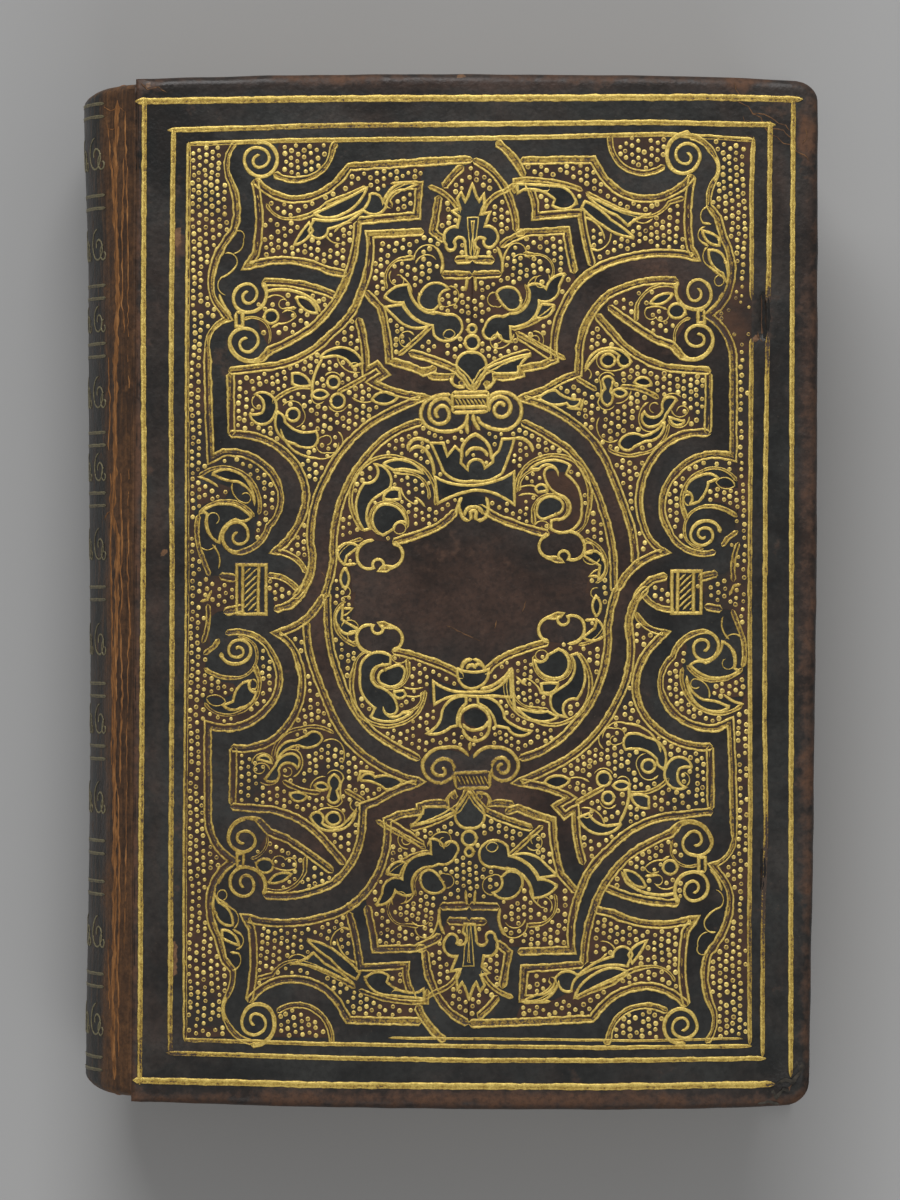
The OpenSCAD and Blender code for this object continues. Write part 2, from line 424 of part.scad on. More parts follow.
function under_leaves() = [
    [[-31.4, 64.7], [-28.4, 64.9, 1], [-24.6, 66], [-20.4, 67.8], [-22.4, 66.2, 1],
        [-25.4, 64.6], [-27.3, 62.9], [-28.6, 63.8, 1], [-31.4, 64.7]],
    [[-28.4, 60.8], [-26.6, 62.4, 1], [-24.4, 63.8], [-21.9, 66, 1], [-20, 67], [-19.4, 66],
        [-21, 64.4, 1], [-23.2, 62.8], [-25.6, 61.4, 1], [-28.4, 60.8]],
    [[-18.5, 66.8], [-17.4, 68.5, 1], [-14.8, 69.5], [-9.6, 69.9], [-8.4, 70], [-8.5, 68.5],
        [-9.4, 69], [-12.4, 68.8, 1], [-14.8, 67.4], [-14.4, 66.4], [-16.4, 65.8, 1],
        [-18.5, 66.8]],
    [[-37.2, 48], [-35.6, 49.6, 1], [-34.3, 48.2], [-35.4, 47.2, 1], [-37.2, 48]],
    [[-43, 60.6], [-41.6, 61.4, 1], [-40.1, 61.9], [-40.6, 60.6, 1], [-43, 59.4]],
    [[-44, 56.8], [-42.8, 58.4, 1], [-41.2, 58.6], [-41.4, 57, 1], [-43.6, 54.8],
        [-44.3, 53.2], [-44.5, 55, 1], [-44, 56.8]],
    [[-35.8, 33.5], [-34.4, 33.9, 1], [-33.5, 31.8], [-32.4, 30.5, 1], [-30.3, 31.3],
        [-30, 29.6, 1], [-31.6, 28.8], [-33.4, 29.8, 1], [-34, 31], [-34.9, 32.2, 1],
        [-35.8, 33.5]],
    [[-33.7, 29.8], [-33.2, 27.6, 1], [-30.6, 26.4], [-28.6, 25.4], [-27.2, 24.8, 1],
        [-26, 26], [-27, 27.2, 1], [-30, 27.2], [-32.4, 28.2, 1], [-33.7, 29.8]],
    [[-28, 39.9], [-26, 41.8, 1], [-23.6, 42], [-21, 40.6, 1], [-20.2, 38.4], [-21.4, 40, 1],
        [-22.6, 41.2], [-24.4, 41.6, 1], [-26, 40.8], [-27.2, 39, 1], [-28, 39.9]],
    [[-25, 36.5], [-24.2, 37.3, 1], [-23.1, 36.5], [-23.6, 35.2], [-23, 33.4, 1], [-24, 32.4],
        [-24.8, 33.2, 1], [-24.5, 34.8]],
    [[-19.4, 33.4], [-17.4, 33.6, 1], [-15.2, 34.9], [-13.4, 34.6, 1], [-12.3, 33.6],
        [-15, 32.5, 1], [-17, 32.8], [-19.2, 32.7, 1], [-19.4, 33.4]],
    [[-16.6, 54.7], [-14.8, 54.2, 1], [-13.4, 52.2], [-11.4, 53, 1], [-10.2, 52.6],
        [-10, 49.2, 1], [-7.2, 48], [-6, 47.5], [-4.4, 47.4, 1], [-3, 45.8], [-3.8, 43.7, 1],
        [-5.1, 44.7], [-6.1, 43.5, 1], [-7.5, 43.3], [-7.3, 45.8], [-10.4, 46.5, 1],
        [-12.2, 50.2], [-14.6, 50.4, 1], [-15.6, 52.6]],
    [[-9.1, 50.4], [-7.2, 52.5, 1], [-4.9, 51.5], [-5.8, 49.8, 1], [-6.8, 48.8],
        [-8.6, 48.9, 1], [-9.1, 50.4]],
    [[-14.7, 49.4], [-12.7, 49.6], [-11.6, 47.4], [-12.4, 47.2, 1], [-14.7, 49.4]],
    [[-17.7, 22.2], [-14.4, 23, 1], [-10.8, 21.4], [-12.4, 21.5], [-14.2, 22.2, 1],
        [-15.6, 20.6], [-14.6, 21.8, 1], [-13.2, 20.6], [-13.8, 18.8, 1], [-16.6, 16.8],
        [-17.7, 14.6, 1], [-15.4, 12.9], [-14.5, 12.7], [-14.4, 11.3], [-18.2, 11.2, 1],
        [-19.6, 14.6], [-19, 18.4, 1], [-17, 20.6]],
    [[-15.4, 13.8], [-16.5, 15.2, 1], [-15.4, 16.5], [-13, 16.4, 1], [-12, 14.6],
        [-12.4, 13.2, 1], [-13.4, 13]],
    [[-0.7, 21.2], [-2.8, 21.4], [-4.3, 22.8, 1], [-4.3, 25.2], [-5.2, 25.7, 1], [-5.9, 24.4],
        [-6.4, 25.8, 1], [-8, 26.2], [-7, 24, 1], [-6.2, 21.4], [-4.6, 19.6, 1], [-0.7, 19.2]],
    [[-23.4, 6], [-21.8, 7.4, 1], [-20, 6.6], [-21.6, 5.6, 1], [-22.8, 4.8], [-22.6, 2.4],
        [-23.6, 3.6, 1], [-23.4, 6]],
    [[-42.8, 20], [-41.8, 21.1, 1], [-39.6, 20.6], [-37.6, 18.2, 1], [-37.2, 15.8],
        [-38.2, 18.4, 1], [-41.4, 19.3]],
    [[-45.3, 13.4], [-42.4, 15, 1], [-39.4, 13.8], [-38.2, 10.6, 1], [-39.8, 8.4],
        [-38.8, 10.6, 1], [-39.6, 12.6], [-41.4, 13.5, 1], [-43.8, 12.8]],
    [[-45.9, 9.6], [-44.2, 8.2], [-44.6, 4.6], [-45.2, 7, 1], [-45.9, 9.6]],
    [[-10.9, 41.1], [-9, 39.2, 1], [-8.6, 37.9], [-5, 37.8], [-2.8, 38.3, 1], [-6.4, 40, 1],
        [-10.9, 41.1]]
];

function axis_leaves() = [
    [[0.9, 35.2], [-0.7, 37.5], [-1.7, 39.6, 1], [0.8, 41.4], [3.3, 39.6, 1], [2.5, 37.5]],
    [[-0.1, 57.6], [-0.4, 60], [-1.4, 61.1, 1], [-2.3, 60.2], [-2.2, 59.2, 1], [-3.6, 59.8],
        [-3.8, 62, 1], [-1.7, 62.8], [-1.3, 64.6], [-2.6, 65.6], [-1.2, 66], [-1.8, 67.6],
        [-1.1, 68.6], [-0.3, 67], [0.2, 67.2], [0.8, 69.7, 1], [1.4, 67.2], [1.9, 67],
        [2.8, 68.4], [2.9, 66.4], [2.2, 65], [3.9, 65.4], [2.9, 62.9], [5, 62, 1], [4.6, 59.8],
        [3.3, 59.4, 1], [3, 60.8], [2, 61, 1], [1.9, 59], [1.6, 57.6]],
    [[-0.2, 25.2], [1.6, 27, 1], [3.4, 25.2], [1.8, 25.1, 1], [-0.2, 25.2]],
    [[-0.9, 14.4], [-0.3, 16.3, 1], [1.2, 16.9], [2.8, 16.3, 1], [3.2, 14.4]]
];

function under_grounds() = [
    [[-50, 78], [-39.9, 78], [-43, 75.2, 1], [-42.3, 70.5], [-41.2, 67.8, 1],
        [-41.2, 66], [-42.7, 64.2], [-43.8, 60.5], [-45.2, 55, 1], [-44.1, 50.6],
        [-43, 49.1], [-41.2, 47.6], [-44.2, 44.6, 1], [-45.5, 40], [-45.6, 30.8],
        [-45.6, 23.6], [-46.4, 16, 1], [-45.2, 9], [-46, 5], [-44, 3.4], [-39.6, 2.6],
        [-39.6, 0], [-50, 0]],
    [[-33.8, 77.2], [-34.4, 74.4, 1], [-33.6, 72.7], [-30.3, 71.4, 1], [-26.4, 72.5],
        [-24.7, 74.6, 1], [-24.2, 77.3]],
    [[-38.4, 71.2], [-35.3, 68.4, 1], [-30.6, 67.3], [-25.9, 68.4, 1], [-22.4, 71.8],
        [-21.3, 73.3], [-8.8, 73.3], [-9.6, 71], [-14, 69.2], [-19.8, 67.4], [-19.4, 65.1],
        [-20.2, 60.2, 1], [-21.4, 55.2], [-25, 56.8], [-30.4, 58, 1], [-36.9, 57.9],
        [-39.1, 57.3], [-38, 59], [-37.6, 65.4, 1]],
    [[-19.4, 65.1], [-11.5, 64.6], [-11.4, 67, 1], [-10.5, 69.4], [-14, 69.2]],
    [[-36, 53.4], [-30, 53.2, 1], [-24, 51], [-24, 49.2], [-28.4, 46, 1], [-32, 43.7],
        [-35, 42.6], [-37, 45.6], [-37.6, 48.8], [-35.8, 50.8, 1]],
    [[-41.3, 38.3], [-34.9, 38.7], [-29.8, 40.4, 1], [-26, 43.2], [-22, 47.8],
        [-20.2, 45.2, 1], [-19.2, 42], [-19, 37.8], [-16.8, 37], [-13.1, 34.9], [-9.2, 33.6],
        [-14.2, 31.9, 1], [-18.7, 29.1], [-22.4, 25.3, 1], [-24.6, 21.1], [-26.8, 15.6, 1],
        [-28.2, 11.3], [-28.8, 5.1], [-31, 6.2], [-34.1, 7.2], [-31.7, 9, 1], [-30.2, 12],
        [-29.6, 18, 1], [-31.7, 23.3], [-36.2, 27.2, 1], [-41.7, 27.7]],
    [[-16.9, 61.8], [-9.8, 61.8], [-6.6, 60.3], [-5.8, 54.7], [-0.7, 54.5], [-0.7, 42],
        [-2, 41, 1], [-2.8, 38.4], [-6.4, 40.1, 1], [-10.9, 41.5], [-14.9, 40.2],
        [-15.2, 46, 1], [-17, 50.4], [-18.4, 54], [-17.4, 58.6, 1]],
    [[-0.7, 73.4], [-4.4, 71.6, 1], [-6.7, 68.3], [-7.9, 65, 1], [-8.2, 62], [-5.5, 59.4],
        [-4.6, 57.1], [-0.7, 57.2]],
    [[-34.4, 2.6], [-31, 1.6, 1], [-29.6, 0], [-34.4, 0]],
    [[-9.2, 29.6], [-13.1, 27.6, 1], [-17.4, 24.8], [-21.2, 19.6, 1], [-23.1, 15],
        [-24.8, 8.6, 1], [-25.2, 3.3], [-25.3, 0], [-20.4, 0], [-21.4, 6], [-20.2, 7.6],
        [-19.8, 9.6, 1], [-17.3, 10.8], [-14.2, 10.4], [-11.5, 11, 1], [-7.6, 12.3],
        [-4.8, 13.4, 1], [-1.9, 15.2], [-3, 16.9], [-7.8, 15.2], [-7.7, 19.8],
        [-4.6, 18.9, 1], [-0.7, 18.7], [-0.7, 29.3], [-4.3, 28, 1], [-7.2, 28.4]]
];

// Shared shapes

// Puts its child, drawn round the strapwork's own axis, in its place on the cover.
module design() {
    scale([inner_half_x / drawn_half_x, inner_half_y / drawn_half_y])
        translate([drawn_axis, 0])
            children();
}

// Puts its child, drawn for the upper left quarter, in its place: the quarters of one
// kind lie opposite each other.
module quarter(over, half) {
    design()
        rotate(half)
            scale([over ? 1 : -1, 1])
                translate([over ? over_shift : under_shift, 0])
                    children();
}

module strokes(paths, width) {
    for (path = paths)
        polygon(ribbon(trace(path), width));
}

module fields(paths) {
    for (path = paths)
        polygon(trace(path));
}

// One rectangle of tooled lines whose ends run a little past the corners.
module frame_line(half_x, half_y, width, overrun) {
    for (side = [-1, 1]) {
        translate([side * half_x, 0])
            square([width, 2 * (half_y + overrun)], center = true);
        translate([0, side * half_y])
            square([2 * (half_x + overrun), width], center = true);
    }
}

module frame_lines() {
    frame_line(outer_half_x, outer_half_y, outer_frame_line, corner_overrun);
    frame_line(middle_half_x, middle_half_y, inner_frame_line, inner_frame_line / 2);
    frame_line(inner_half_x, inner_half_y, inner_frame_line, inner_frame_line / 2);
}

module quarter_lines(over, half) {
    quarter(over, half)
        strokes(over ? over_straps() : under_straps(), strap_line);
}

// The dotted fields of a quarter, with the smooth leaves left out of them.
module quarter_fields(over, half) {
    intersection() {
        difference() {
            quarter(over, half)
                difference() {
                    fields(over ? over_grounds() : under_grounds());
                    fields(over ? over_leaves() : under_leaves());
                }
            design()
                rotate(half)
                    translate([axis_shift, 0])
                        fields(axis_leaves());
        }
        square([2 * inner_half_x, 2 * inner_half_y], center = true);
    }
}

module buckles() {
    design()
        for (x = buckle_places)
            translate([x, 0])
                difference() {
                    square([2 * buckle_half_x, 2 * buckle_half_y], center = true);
                    square([
                        2 * (buckle_half_x - buckle_line), 2 * (buckle_half_y - buckle_line)
                    ], center = true);
                }
}

// The outline of a cover, drawn in by inset all round and by spine_inset at the spine.
function worn_outline(inset, spine_inset) =
    let (l = board_left + spine_inset, r = right_edge - fore_bow - inset)
    let (h = cover_height / 2 - inset, m = (l + r) / 2)
    let (a = head_corner - inset / 2, b = tail_corner - inset / 2)
    trace([
        [l, -h], [m, -h - edge_bow, 1], [r - b, -h], [r - 0.35 * b, -h + 0.2 * b, 1],
        [r, -h + 0.8 * b], [r + fore_bow, 0, 1], [r, h - a], [r - 0.29 * a, h - 0.29 * a, 1],
        [r - a, h], [m, h + edge_bow, 1], [l, h]
    ], outline_sag);

function plain_outline(inset, spine_inset) =
    let (l = board_left + spine_inset, r = right_edge - fore_bow - inset)
    let (h = cover_height / 2 - inset, a = plain_corner)
    trace([
        [l, -h], [r - a, -h], [r - 0.29 * a, -h + 0.29 * a, 1], [r, -h + a],
        [r, h - a], [r - 0.29 * a, h - 0.29 * a, 1], [r - a, h], [l, h]
    ], outline_sag);

module tie_slits(depth) {
    for (y = [upper_slit, -lower_slit])
        translate([right_edge - slit_inset - slit_width / 2, y - slit_length / 2, -depth])
            cube([slit_width, slit_length, depth + slack]);
}

// A cover lies with its inner face on z = 0 and its outer face up.
module cover_leather(worn) {
    edge = right_edge - fore_bow - turn_in_width;
    reach = cover_height / 2 - turn_in_width;
    difference() {
        linear_extrude(cover_thickness)
            polygon(worn ? worn_outline(0, 0) : plain_outline(0, 0));
        translate([0, 0, turn_in_thickness])
            linear_extrude(board_thickness)
                polygon(
                    worn ? worn_outline(leather_thickness, -1)
                    : plain_outline(leather_thickness, -1)
                );
        translate([board_left - 1, -reach, -1])
            cube([edge - board_left + 1, 2 * reach, 1 + turn_in_thickness + slack]);
        translate([0, 0, cover_thickness])
            tie_slits(leather_thickness + slack);
    }
}

module cover_board(worn) {
    difference() {
        translate([0, 0, turn_in_thickness])
            linear_extrude(board_thickness)
                polygon(
                    worn ? worn_outline(leather_thickness, 0)
                    : plain_outline(leather_thickness, 0)
                );
        translate([0, 0, turn_in_thickness + board_thickness])
            tie_slits(slit_depth);
    }
}

module cover_pastedown() {
    edge = right_edge - fore_bow - turn_in_width;
    reach = cover_height / 2 - turn_in_width;
    translate([board_left, -reach, 0])
        cube([edge - board_left, 2 * reach, turn_in_thickness]);
}

module as_front() {
    translate([0, 0, page_high])
        children();
}

module as_back() {
    translate([0, 0, page_low])
        mirror([0, 0, 1])
            children();
}

// Draws a shape of the X-Z section along Y, centred on the middle of the book.
module along_spine(length) {
    translate([0, length / 2, 0])
        rotate([90, 0, 0])
            linear_extrude(length)
                children();
}

module spine_disc(radius) {
    translate([spine_centre, middle])
        circle(radius, $fn = 180);
}

module spine_ring(inner, outer, stop) {
    difference() {
        spine_disc(outer);
        spine_disc(inner);
        translate([stop, -top])
            square([2 * top + 2 * outer, 3 * top]);
    }
}

// Pages and spine

module pages() {
    hollow_radius = (pow(page_block / 2, 2) + pow(fore_edge_hollow, 2)) / (2 * fore_edge_hollow);
    color("#d9caa6")
        difference() {
            along_spine(page_height)
                difference() {
                    union() {
                        translate([page_left, page_low])
                            square([page_right - page_left, page_block]);
                        difference() {
                            spine_disc(page_radius);
                            translate([page_left, -top])
                                square([2 * top, 3 * top]);
                        }
                    }
                    translate([page_right + hollow_radius - fore_edge_hollow, middle])
                        circle(hollow_radius, $fn = 180);
                }
            for (y = support_places)
                translate([0, y, 0])
                    along_spine(support_width)
                        spine_ring(page_radius - support_thickness, page_radius + 1, page_left);
        }
}

module sewing_supports() {
    color("#cdbb92")
        for (y = support_places)
            translate([0, y, 0])
                along_spine(support_width)
                    spine_ring(page_radius - support_thickness, page_radius, page_left);
}

module spine_lining() {
    color("#a89878")
        along_spine(page_height)
            spine_ring(page_radius, lining_radius, board_left - hinge_gap);
}

module spine_leather() {
    h = cover_height / 2 - cap_step;
    l = left_edge;
    color("#3a241c")
        intersection() {
            along_spine(cover_height)
                spine_ring(lining_radius, spine_radius, board_left - hinge_gap);
            translate([0, 0, -1])
                linear_extrude(top + 2)
                    polygon(trace([
                        [board_left, -h], [l + cap_round, -h + 0.4],
                        [l + 0.3 * cap_round, -h + 0.35 * cap_round, 1],
                        [l - slack, -h + cap_round], [l - slack, h - cap_round],
                        [l + 0.3 * cap_round, h - 0.35 * cap_round, 1],
                        [l + cap_round, h - 0.4], [board_left, h]
                    ], outline_sag));
        }
}

module spine_gilding() {
    color("#b8923c")
        for (y = spine_pair_places)
            for (side = [-1, 1])
                translate([0, y + side * spine_pair / 2, 0])
                    along_spine(spine_line)
                        spine_ring(spine_radius, spine_radius + line_height, gilding_stop);
}

module endband() {
    centre_height = sqrt(pow(endband_radius, 2) - pow(endband_seat / 2, 2));
    half_turn = asin((middle - page_low) / page_radius);
    translate([spine_centre, page_height / 2, middle])
        rotate([-90, 0, 0])
            rotate(turn - half_turn)
                rotate_extrude(angle = 2 * half_turn, $fn = 90)
                    intersection() {
                        translate([page_radius - endband_radius - endband_gap, centre_height])
                            circle(endband_radius, $fn = 24);
                        square([page_radius, 4 * endband_radius]);
                    }
}

module head_endband() {
    color("#8f7a52")
        endband();
}

module tail_endband() {
    color("#8f7a52")
        mirror([0, 1, 0])
            endband();
}

// Front cover

module front_board() {
    color("#8c8270")
        as_front()
            cover_board(true);
}

module front_leather() {
    color("#2f2825")
        as_front()
            cover_leather(true);
}

module front_pastedown() {
    color("#cfc2a2")
        as_front()
            cover_pastedown();
}

module front_gilding() {
    color("#c8a548")
        translate([frame_x, 0, top]) {
            linear_extrude(line_height)
                offset(delta = line_spread) {
                    frame_lines();
                    buckles();
                }
            for (over = [true, false])
                for (half = [0, turn])
                    linear_extrude(line_height)
                        offset(delta = line_spread)
                            quarter_lines(over, half);
        }
}

module front_dotted_ground() {
    color("#7d5f34")
        translate([frame_x, 0, top])
            for (over = [true, false])
                for (half = [0, turn])
                    linear_extrude(ground_height)
                        offset(delta = -ground_gap)
                            difference() {
                                quarter_fields(over, half);
                                quarter_lines(over, half);
                                quarter_lines(!over, half);
                                quarter_lines(!over, turn - half);
                                frame_lines();
                                buckles();
                            }
}

// Back cover

module back_board() {
    color("#8c8270")
        as_back()
            cover_board(false);
}

module back_frame_grooves(depth) {
    translate([frame_x, 0, 0])
        linear_extrude(depth)
            offset(delta = line_spread)
                frame_lines();
}

module back_leather() {
    color("#33231d")
        difference() {
            as_back()
                cover_leather(false);
            translate([0, 0, -1])
                back_frame_grooves(1 + back_line_depth);
        }
}

module back_pastedown() {
    color("#cfc2a2")
        as_back()
            cover_pastedown();
}

module back_gilding() {
    color("#b8923c")
        back_frame_grooves(back_line_depth);
}

pages();
sewing_supports();
spine_lining();
spine_leather();
spine_gilding();
head_endband();
tail_endband();
front_board();
front_leather();
front_pastedown();
front_gilding();
front_dotted_ground();
back_board();
back_leather();
back_pastedown();
back_gilding();
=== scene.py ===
"""Looks of an old gold-tooled leather book: worn dark leather on the boards and the rounded
spine, strapwork tooled in gold over stippled grounds, and the edges of the pages.

Drawn sizes are in millimetres and become metres when a mesh is made. Paths are lists of
points; a point with a third number lies on the arc that joins its neighbours.
"""

import math

import bpy
import numpy as np
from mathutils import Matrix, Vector, geometry, noise
from mathutils.kdtree import KDTree


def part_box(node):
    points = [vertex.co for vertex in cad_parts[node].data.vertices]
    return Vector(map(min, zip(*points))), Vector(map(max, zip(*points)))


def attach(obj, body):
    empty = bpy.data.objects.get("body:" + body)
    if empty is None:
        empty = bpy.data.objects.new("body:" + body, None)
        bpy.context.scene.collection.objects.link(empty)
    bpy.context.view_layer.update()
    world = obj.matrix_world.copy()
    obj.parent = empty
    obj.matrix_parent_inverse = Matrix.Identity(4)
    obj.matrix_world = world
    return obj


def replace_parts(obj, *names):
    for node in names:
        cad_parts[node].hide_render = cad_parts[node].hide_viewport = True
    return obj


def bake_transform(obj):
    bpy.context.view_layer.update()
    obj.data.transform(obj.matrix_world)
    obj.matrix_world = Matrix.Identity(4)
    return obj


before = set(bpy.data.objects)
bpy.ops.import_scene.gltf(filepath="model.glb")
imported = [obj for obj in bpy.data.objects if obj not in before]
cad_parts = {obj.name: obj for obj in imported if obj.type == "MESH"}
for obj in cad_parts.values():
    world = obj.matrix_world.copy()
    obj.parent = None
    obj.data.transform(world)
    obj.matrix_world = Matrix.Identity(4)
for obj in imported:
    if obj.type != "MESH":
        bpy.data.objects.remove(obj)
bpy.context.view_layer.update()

MM = 0.001
RNG = np.random.default_rng(11)

# Strap outlines of the quarter with the corner strap over
OVER_STRAPS = [
    [(-39.9, 77.1), (-41.4, 74, 1), (-41, 71), (-39.7, 66.2, 1), (-40.3, 62), (-43.1, 57.7, 1),
     (-44, 54.4), (-43.6, 51, 1), (-42.1, 48.7), (-41, 47.4), (-43.8, 45.4, 1), (-44.6, 42),
     (-44.3, 30.8), (-43.9, 23.1), (-41.7, 24.2), (-36, 23, 1), (-32.5, 19), (-31.9, 16, 1),
     (-34, 11.6), (-36.2, 8.2, 1), (-39.1, 7), (-41.8, 9.2, 1), (-41, 11.6), (-38.4, 12, 1),
     (-37.5, 10.3), (-38, 8.8, 1), (-39.2, 8.5), (-40.1, 9.5, 1), (-39.2, 10.6)],
    [(-36.5, 77.2), (-33.2, 75.8, 1), (-33.4, 72.4), (-36, 71.4, 1), (-38.2, 73.3),
     (-37.6, 75.9, 1),
     (-35.3, 76), (-34.2, 74.3, 1), (-35.6, 72.9), (-36.9, 73.9, 1), (-35.7, 75)],
    [(-33.4, 71.9), (-31, 70.9, 1), (-27.1, 71.2), (-24.7, 72.8, 1), (-23.3, 76), (-22.7, 76.9)],
    [(-36.7, 70.9), (-34.2, 68.8, 1), (-30.3, 67.5), (-25.6, 68.4, 1), (-21.4, 71.6), (-20.4, 72.8),
     (-14, 73.2), (-6.6, 73.6), (-1.1, 73.8), (0.7, 73.8)],
    [(-36.7, 70.9), (-35.8, 64.4, 1), (-36.4, 58.3), (-37.9, 56.3), (-34.9, 57), (-30, 57.2, 1),
     (-24, 55.5), (-20.7, 54.8)],
    [(-19, 64), (-19.4, 59.5, 1), (-20.7, 54.4), (-23, 49.9, 1), (-27, 45.6), (-30.3, 43.7, 1),
     (-33.8, 42.1), (-35.3, 40.6), (-38.8, 40.6, 1), (-40.8, 43.4), (-39.6, 45.5, 1), (-37.7, 45.7),
     (-35.9, 44.2, 1), (-36.6, 42.3), (-38.3, 41.9, 1), (-39, 42.8), (-38.7, 43.9, 1),
     (-37.7, 44.1)],
    [(-19, 64), (-15, 64.4), (-8.9, 64.9), (-8.5, 69.8), (-9.6, 69.7), (-12.4, 68.9, 1),
     (-14, 67.3),
     (-13.2, 66.2)],
    [(-35.3, 53.6), (-30, 53.3, 1), (-22.5, 51)],
    [(-35.3, 53.6), (-34.5, 51.3, 1), (-37.2, 48.6), (-40.2, 50.8, 1), (-38.4, 53.2),
     (-36.2, 52.2, 1), (-37, 50.2), (-38.6, 51, 1), (-37.6, 52)],
    [(-41, 38.4), (-34.9, 39.1), (-27.9, 41.1, 1), (-23.3, 44.7), (-20, 48.2, 1), (-18.3, 51.9),
     (-16.9, 57, 1), (-16.9, 61.6), (-7.6, 62.1)],
    [(-40.6, 38.2), (-40.4, 27.2)],
    [(-18.9, 47.4), (-17.8, 43, 1), (-17.5, 38.1), (-15.6, 39.2), (-14.2, 37.7), (-16.6, 36.3),
     (-13.1, 34.8, 1), (-7.4, 33.7), (-11.5, 32, 1), (-15.9, 29.7), (-20.7, 25.5, 1), (-24.2, 20),
     (-26.1, 15.4, 1), (-26.8, 8.5), (-26.7, 3.6, 1), (-28, 0.7), (-29.7, -1.1)],
    [(-40.9, 27.4), (-34.9, 26.6, 1), (-29.9, 22.9), (-27.7, 18, 1), (-28.4, 12.9), (-30.2, 9.8, 1),
     (-32.9, 7.2), (-29.2, 5.8, 1), (-27.5, 3.4)],
    [(-17.7, 52), (-15, 49.1), (-13.9, 44.6, 1), (-13.5, 40), (-10.3, 39.1), (-7.6, 38),
     (-6.2, 38.4), (-5.4, 38.9)],
    [(-7, 37.6), (-5, 37.2, 1), (-2.7, 37.4), (-2.1, 35.7, 1), (-1, 35.6), (-1, 36.7)],
    [(-10.2, 41.4), (-6, 40.2, 1), (-2, 38.5), (-0.5, 37), (0.9, 35)],
    [(-0.9, 72.9), (-2.7, 71.3), (-4.4, 69.4)],
    [(-5.1, 68.2), (-5.6, 65, 1), (-6.1, 62.2), (-5, 61.2), (-3.9, 60.6)],
    [(-34.2, 3), (-31, 2.3, 1), (-28.8, 0.2)],
    [(-42.4, 2.9), (-39.3, 2.4)],
    [(-7.7, 29.5), (-12.6, 27.6, 1), (-17, 23.7), (-20.2, 19, 1), (-22, 14.4), (-22.8, 9.4, 1),
     (-22.8, 6), (-23.3, 2.9), (-24.4, -1)],
    [(-12.8, 8.8), (-10.5, 9.5, 1), (-6.6, 10.9), (-4, 12.3, 1), (-1.8, 14.5)],
    [(-12.8, 8.8), (-11, 6.7, 1), (-13.2, 4.4), (-14.7, 4), (-15.3, 5.8, 1), (-16, 4.3),
     (-17.4, 4.2, 1), (-18.8, 6), (-18.4, 8, 1), (-15.9, 9.2)],
    [(0.7, 54.5), (-4.6, 54.6)],
    [(0.7, 57.2), (-2.4, 57.1)],
]

# Dotted grounds of that quarter; where one follows a strap, it takes the strap's points
OVER_GROUNDS = [
    [(-50, 78), (-39.6, 78), *OVER_STRAPS[0][:14], (-46, 19, 1), (-46.2, 11), (-46, 7.6, 1),
     (-44, 3), (-42.4, 2.9), (-39.3, 2.4), (-39.3, 0), (-50, 0)],
    [(-32.5, 76.9), (-33.2, 73.8, 1), *OVER_STRAPS[2]],
    [*OVER_STRAPS[3][:6], (-7.5, 72.8), (-8.4, 70.4), (-14, 69.9), (-19.8, 66.9), (-19, 64),
     (-19.4, 59.5, 1), *OVER_STRAPS[4][:0:-1]],
    [(-19, 64), *OVER_STRAPS[6][2:7]],
    [(-35.3, 53.6), (-30, 53.3, 1), (-22.5, 51), (-24.5, 48.2, 1), (-27, 45.6), (-30.3, 43.7, 1),
     (-33.8, 42.1), (-35.6, 45.5), (-36.3, 48.8), (-34.5, 51.3, 1)],
    [(-40.4, 38.4), (-34.9, 39.1), (-27.9, 41.1, 1), (-23.3, 44.7), (-19, 49),
     *OVER_STRAPS[11][:14], (-27.1, 5.4), (-29.2, 5.9), *OVER_STRAPS[12][6::-1]],
    [(-16.9, 61.4), (-5, 61.2), (-4.6, 54.6), (0.7, 54.5), (0.7, 42), (-1.2, 41, 1), (-1.9, 38.6),
     (-6, 40.2, 1), (-10.2, 41.4), (-13.5, 40), (-13.9, 44.6, 1), (-15, 49.1), (-17.7, 52),
     (-16.9, 57, 1)],
    [(0.7, 73.4), (-2.7, 71.3, 1), (-4.6, 69.2), (-5.6, 65, 1), (-6.1, 62.2), (-3.9, 60.6),
     (-2.4, 57.1), (0.7, 57.2)],
    [(-34.2, 2.6), (-31, 2.1, 1), (-29, 0), (-34.2, 0)],
    [*OVER_STRAPS[0][13:19], (-35.9, 8.9), (-36.4, 9.8), (-35.9, 12.5), (-36.1, 18, 1),
     (-38.6, 20.8), (-42.4, 21.7, 1), (-45.9, 20.1)],
    [(-46.2, 14.6), (-44.4, 15.6), (-41.4, 16.4), (-40.4, 18.2), (-42.6, 19), (-46.2, 18.6)],
    [*OVER_STRAPS[20][:8], (-24, 0), (-19.6, 0), (-20, 4.4), (-18.8, 6), (-18.4, 8, 1),
     (-15.9, 9.2), *OVER_STRAPS[21], (-2, 17), (-4.9, 15.6), (-5, 18.8), (0.7, 18.7), (0.7, 29),
     (-3.3, 27.5, 1), (-6.3, 28.2)],
]

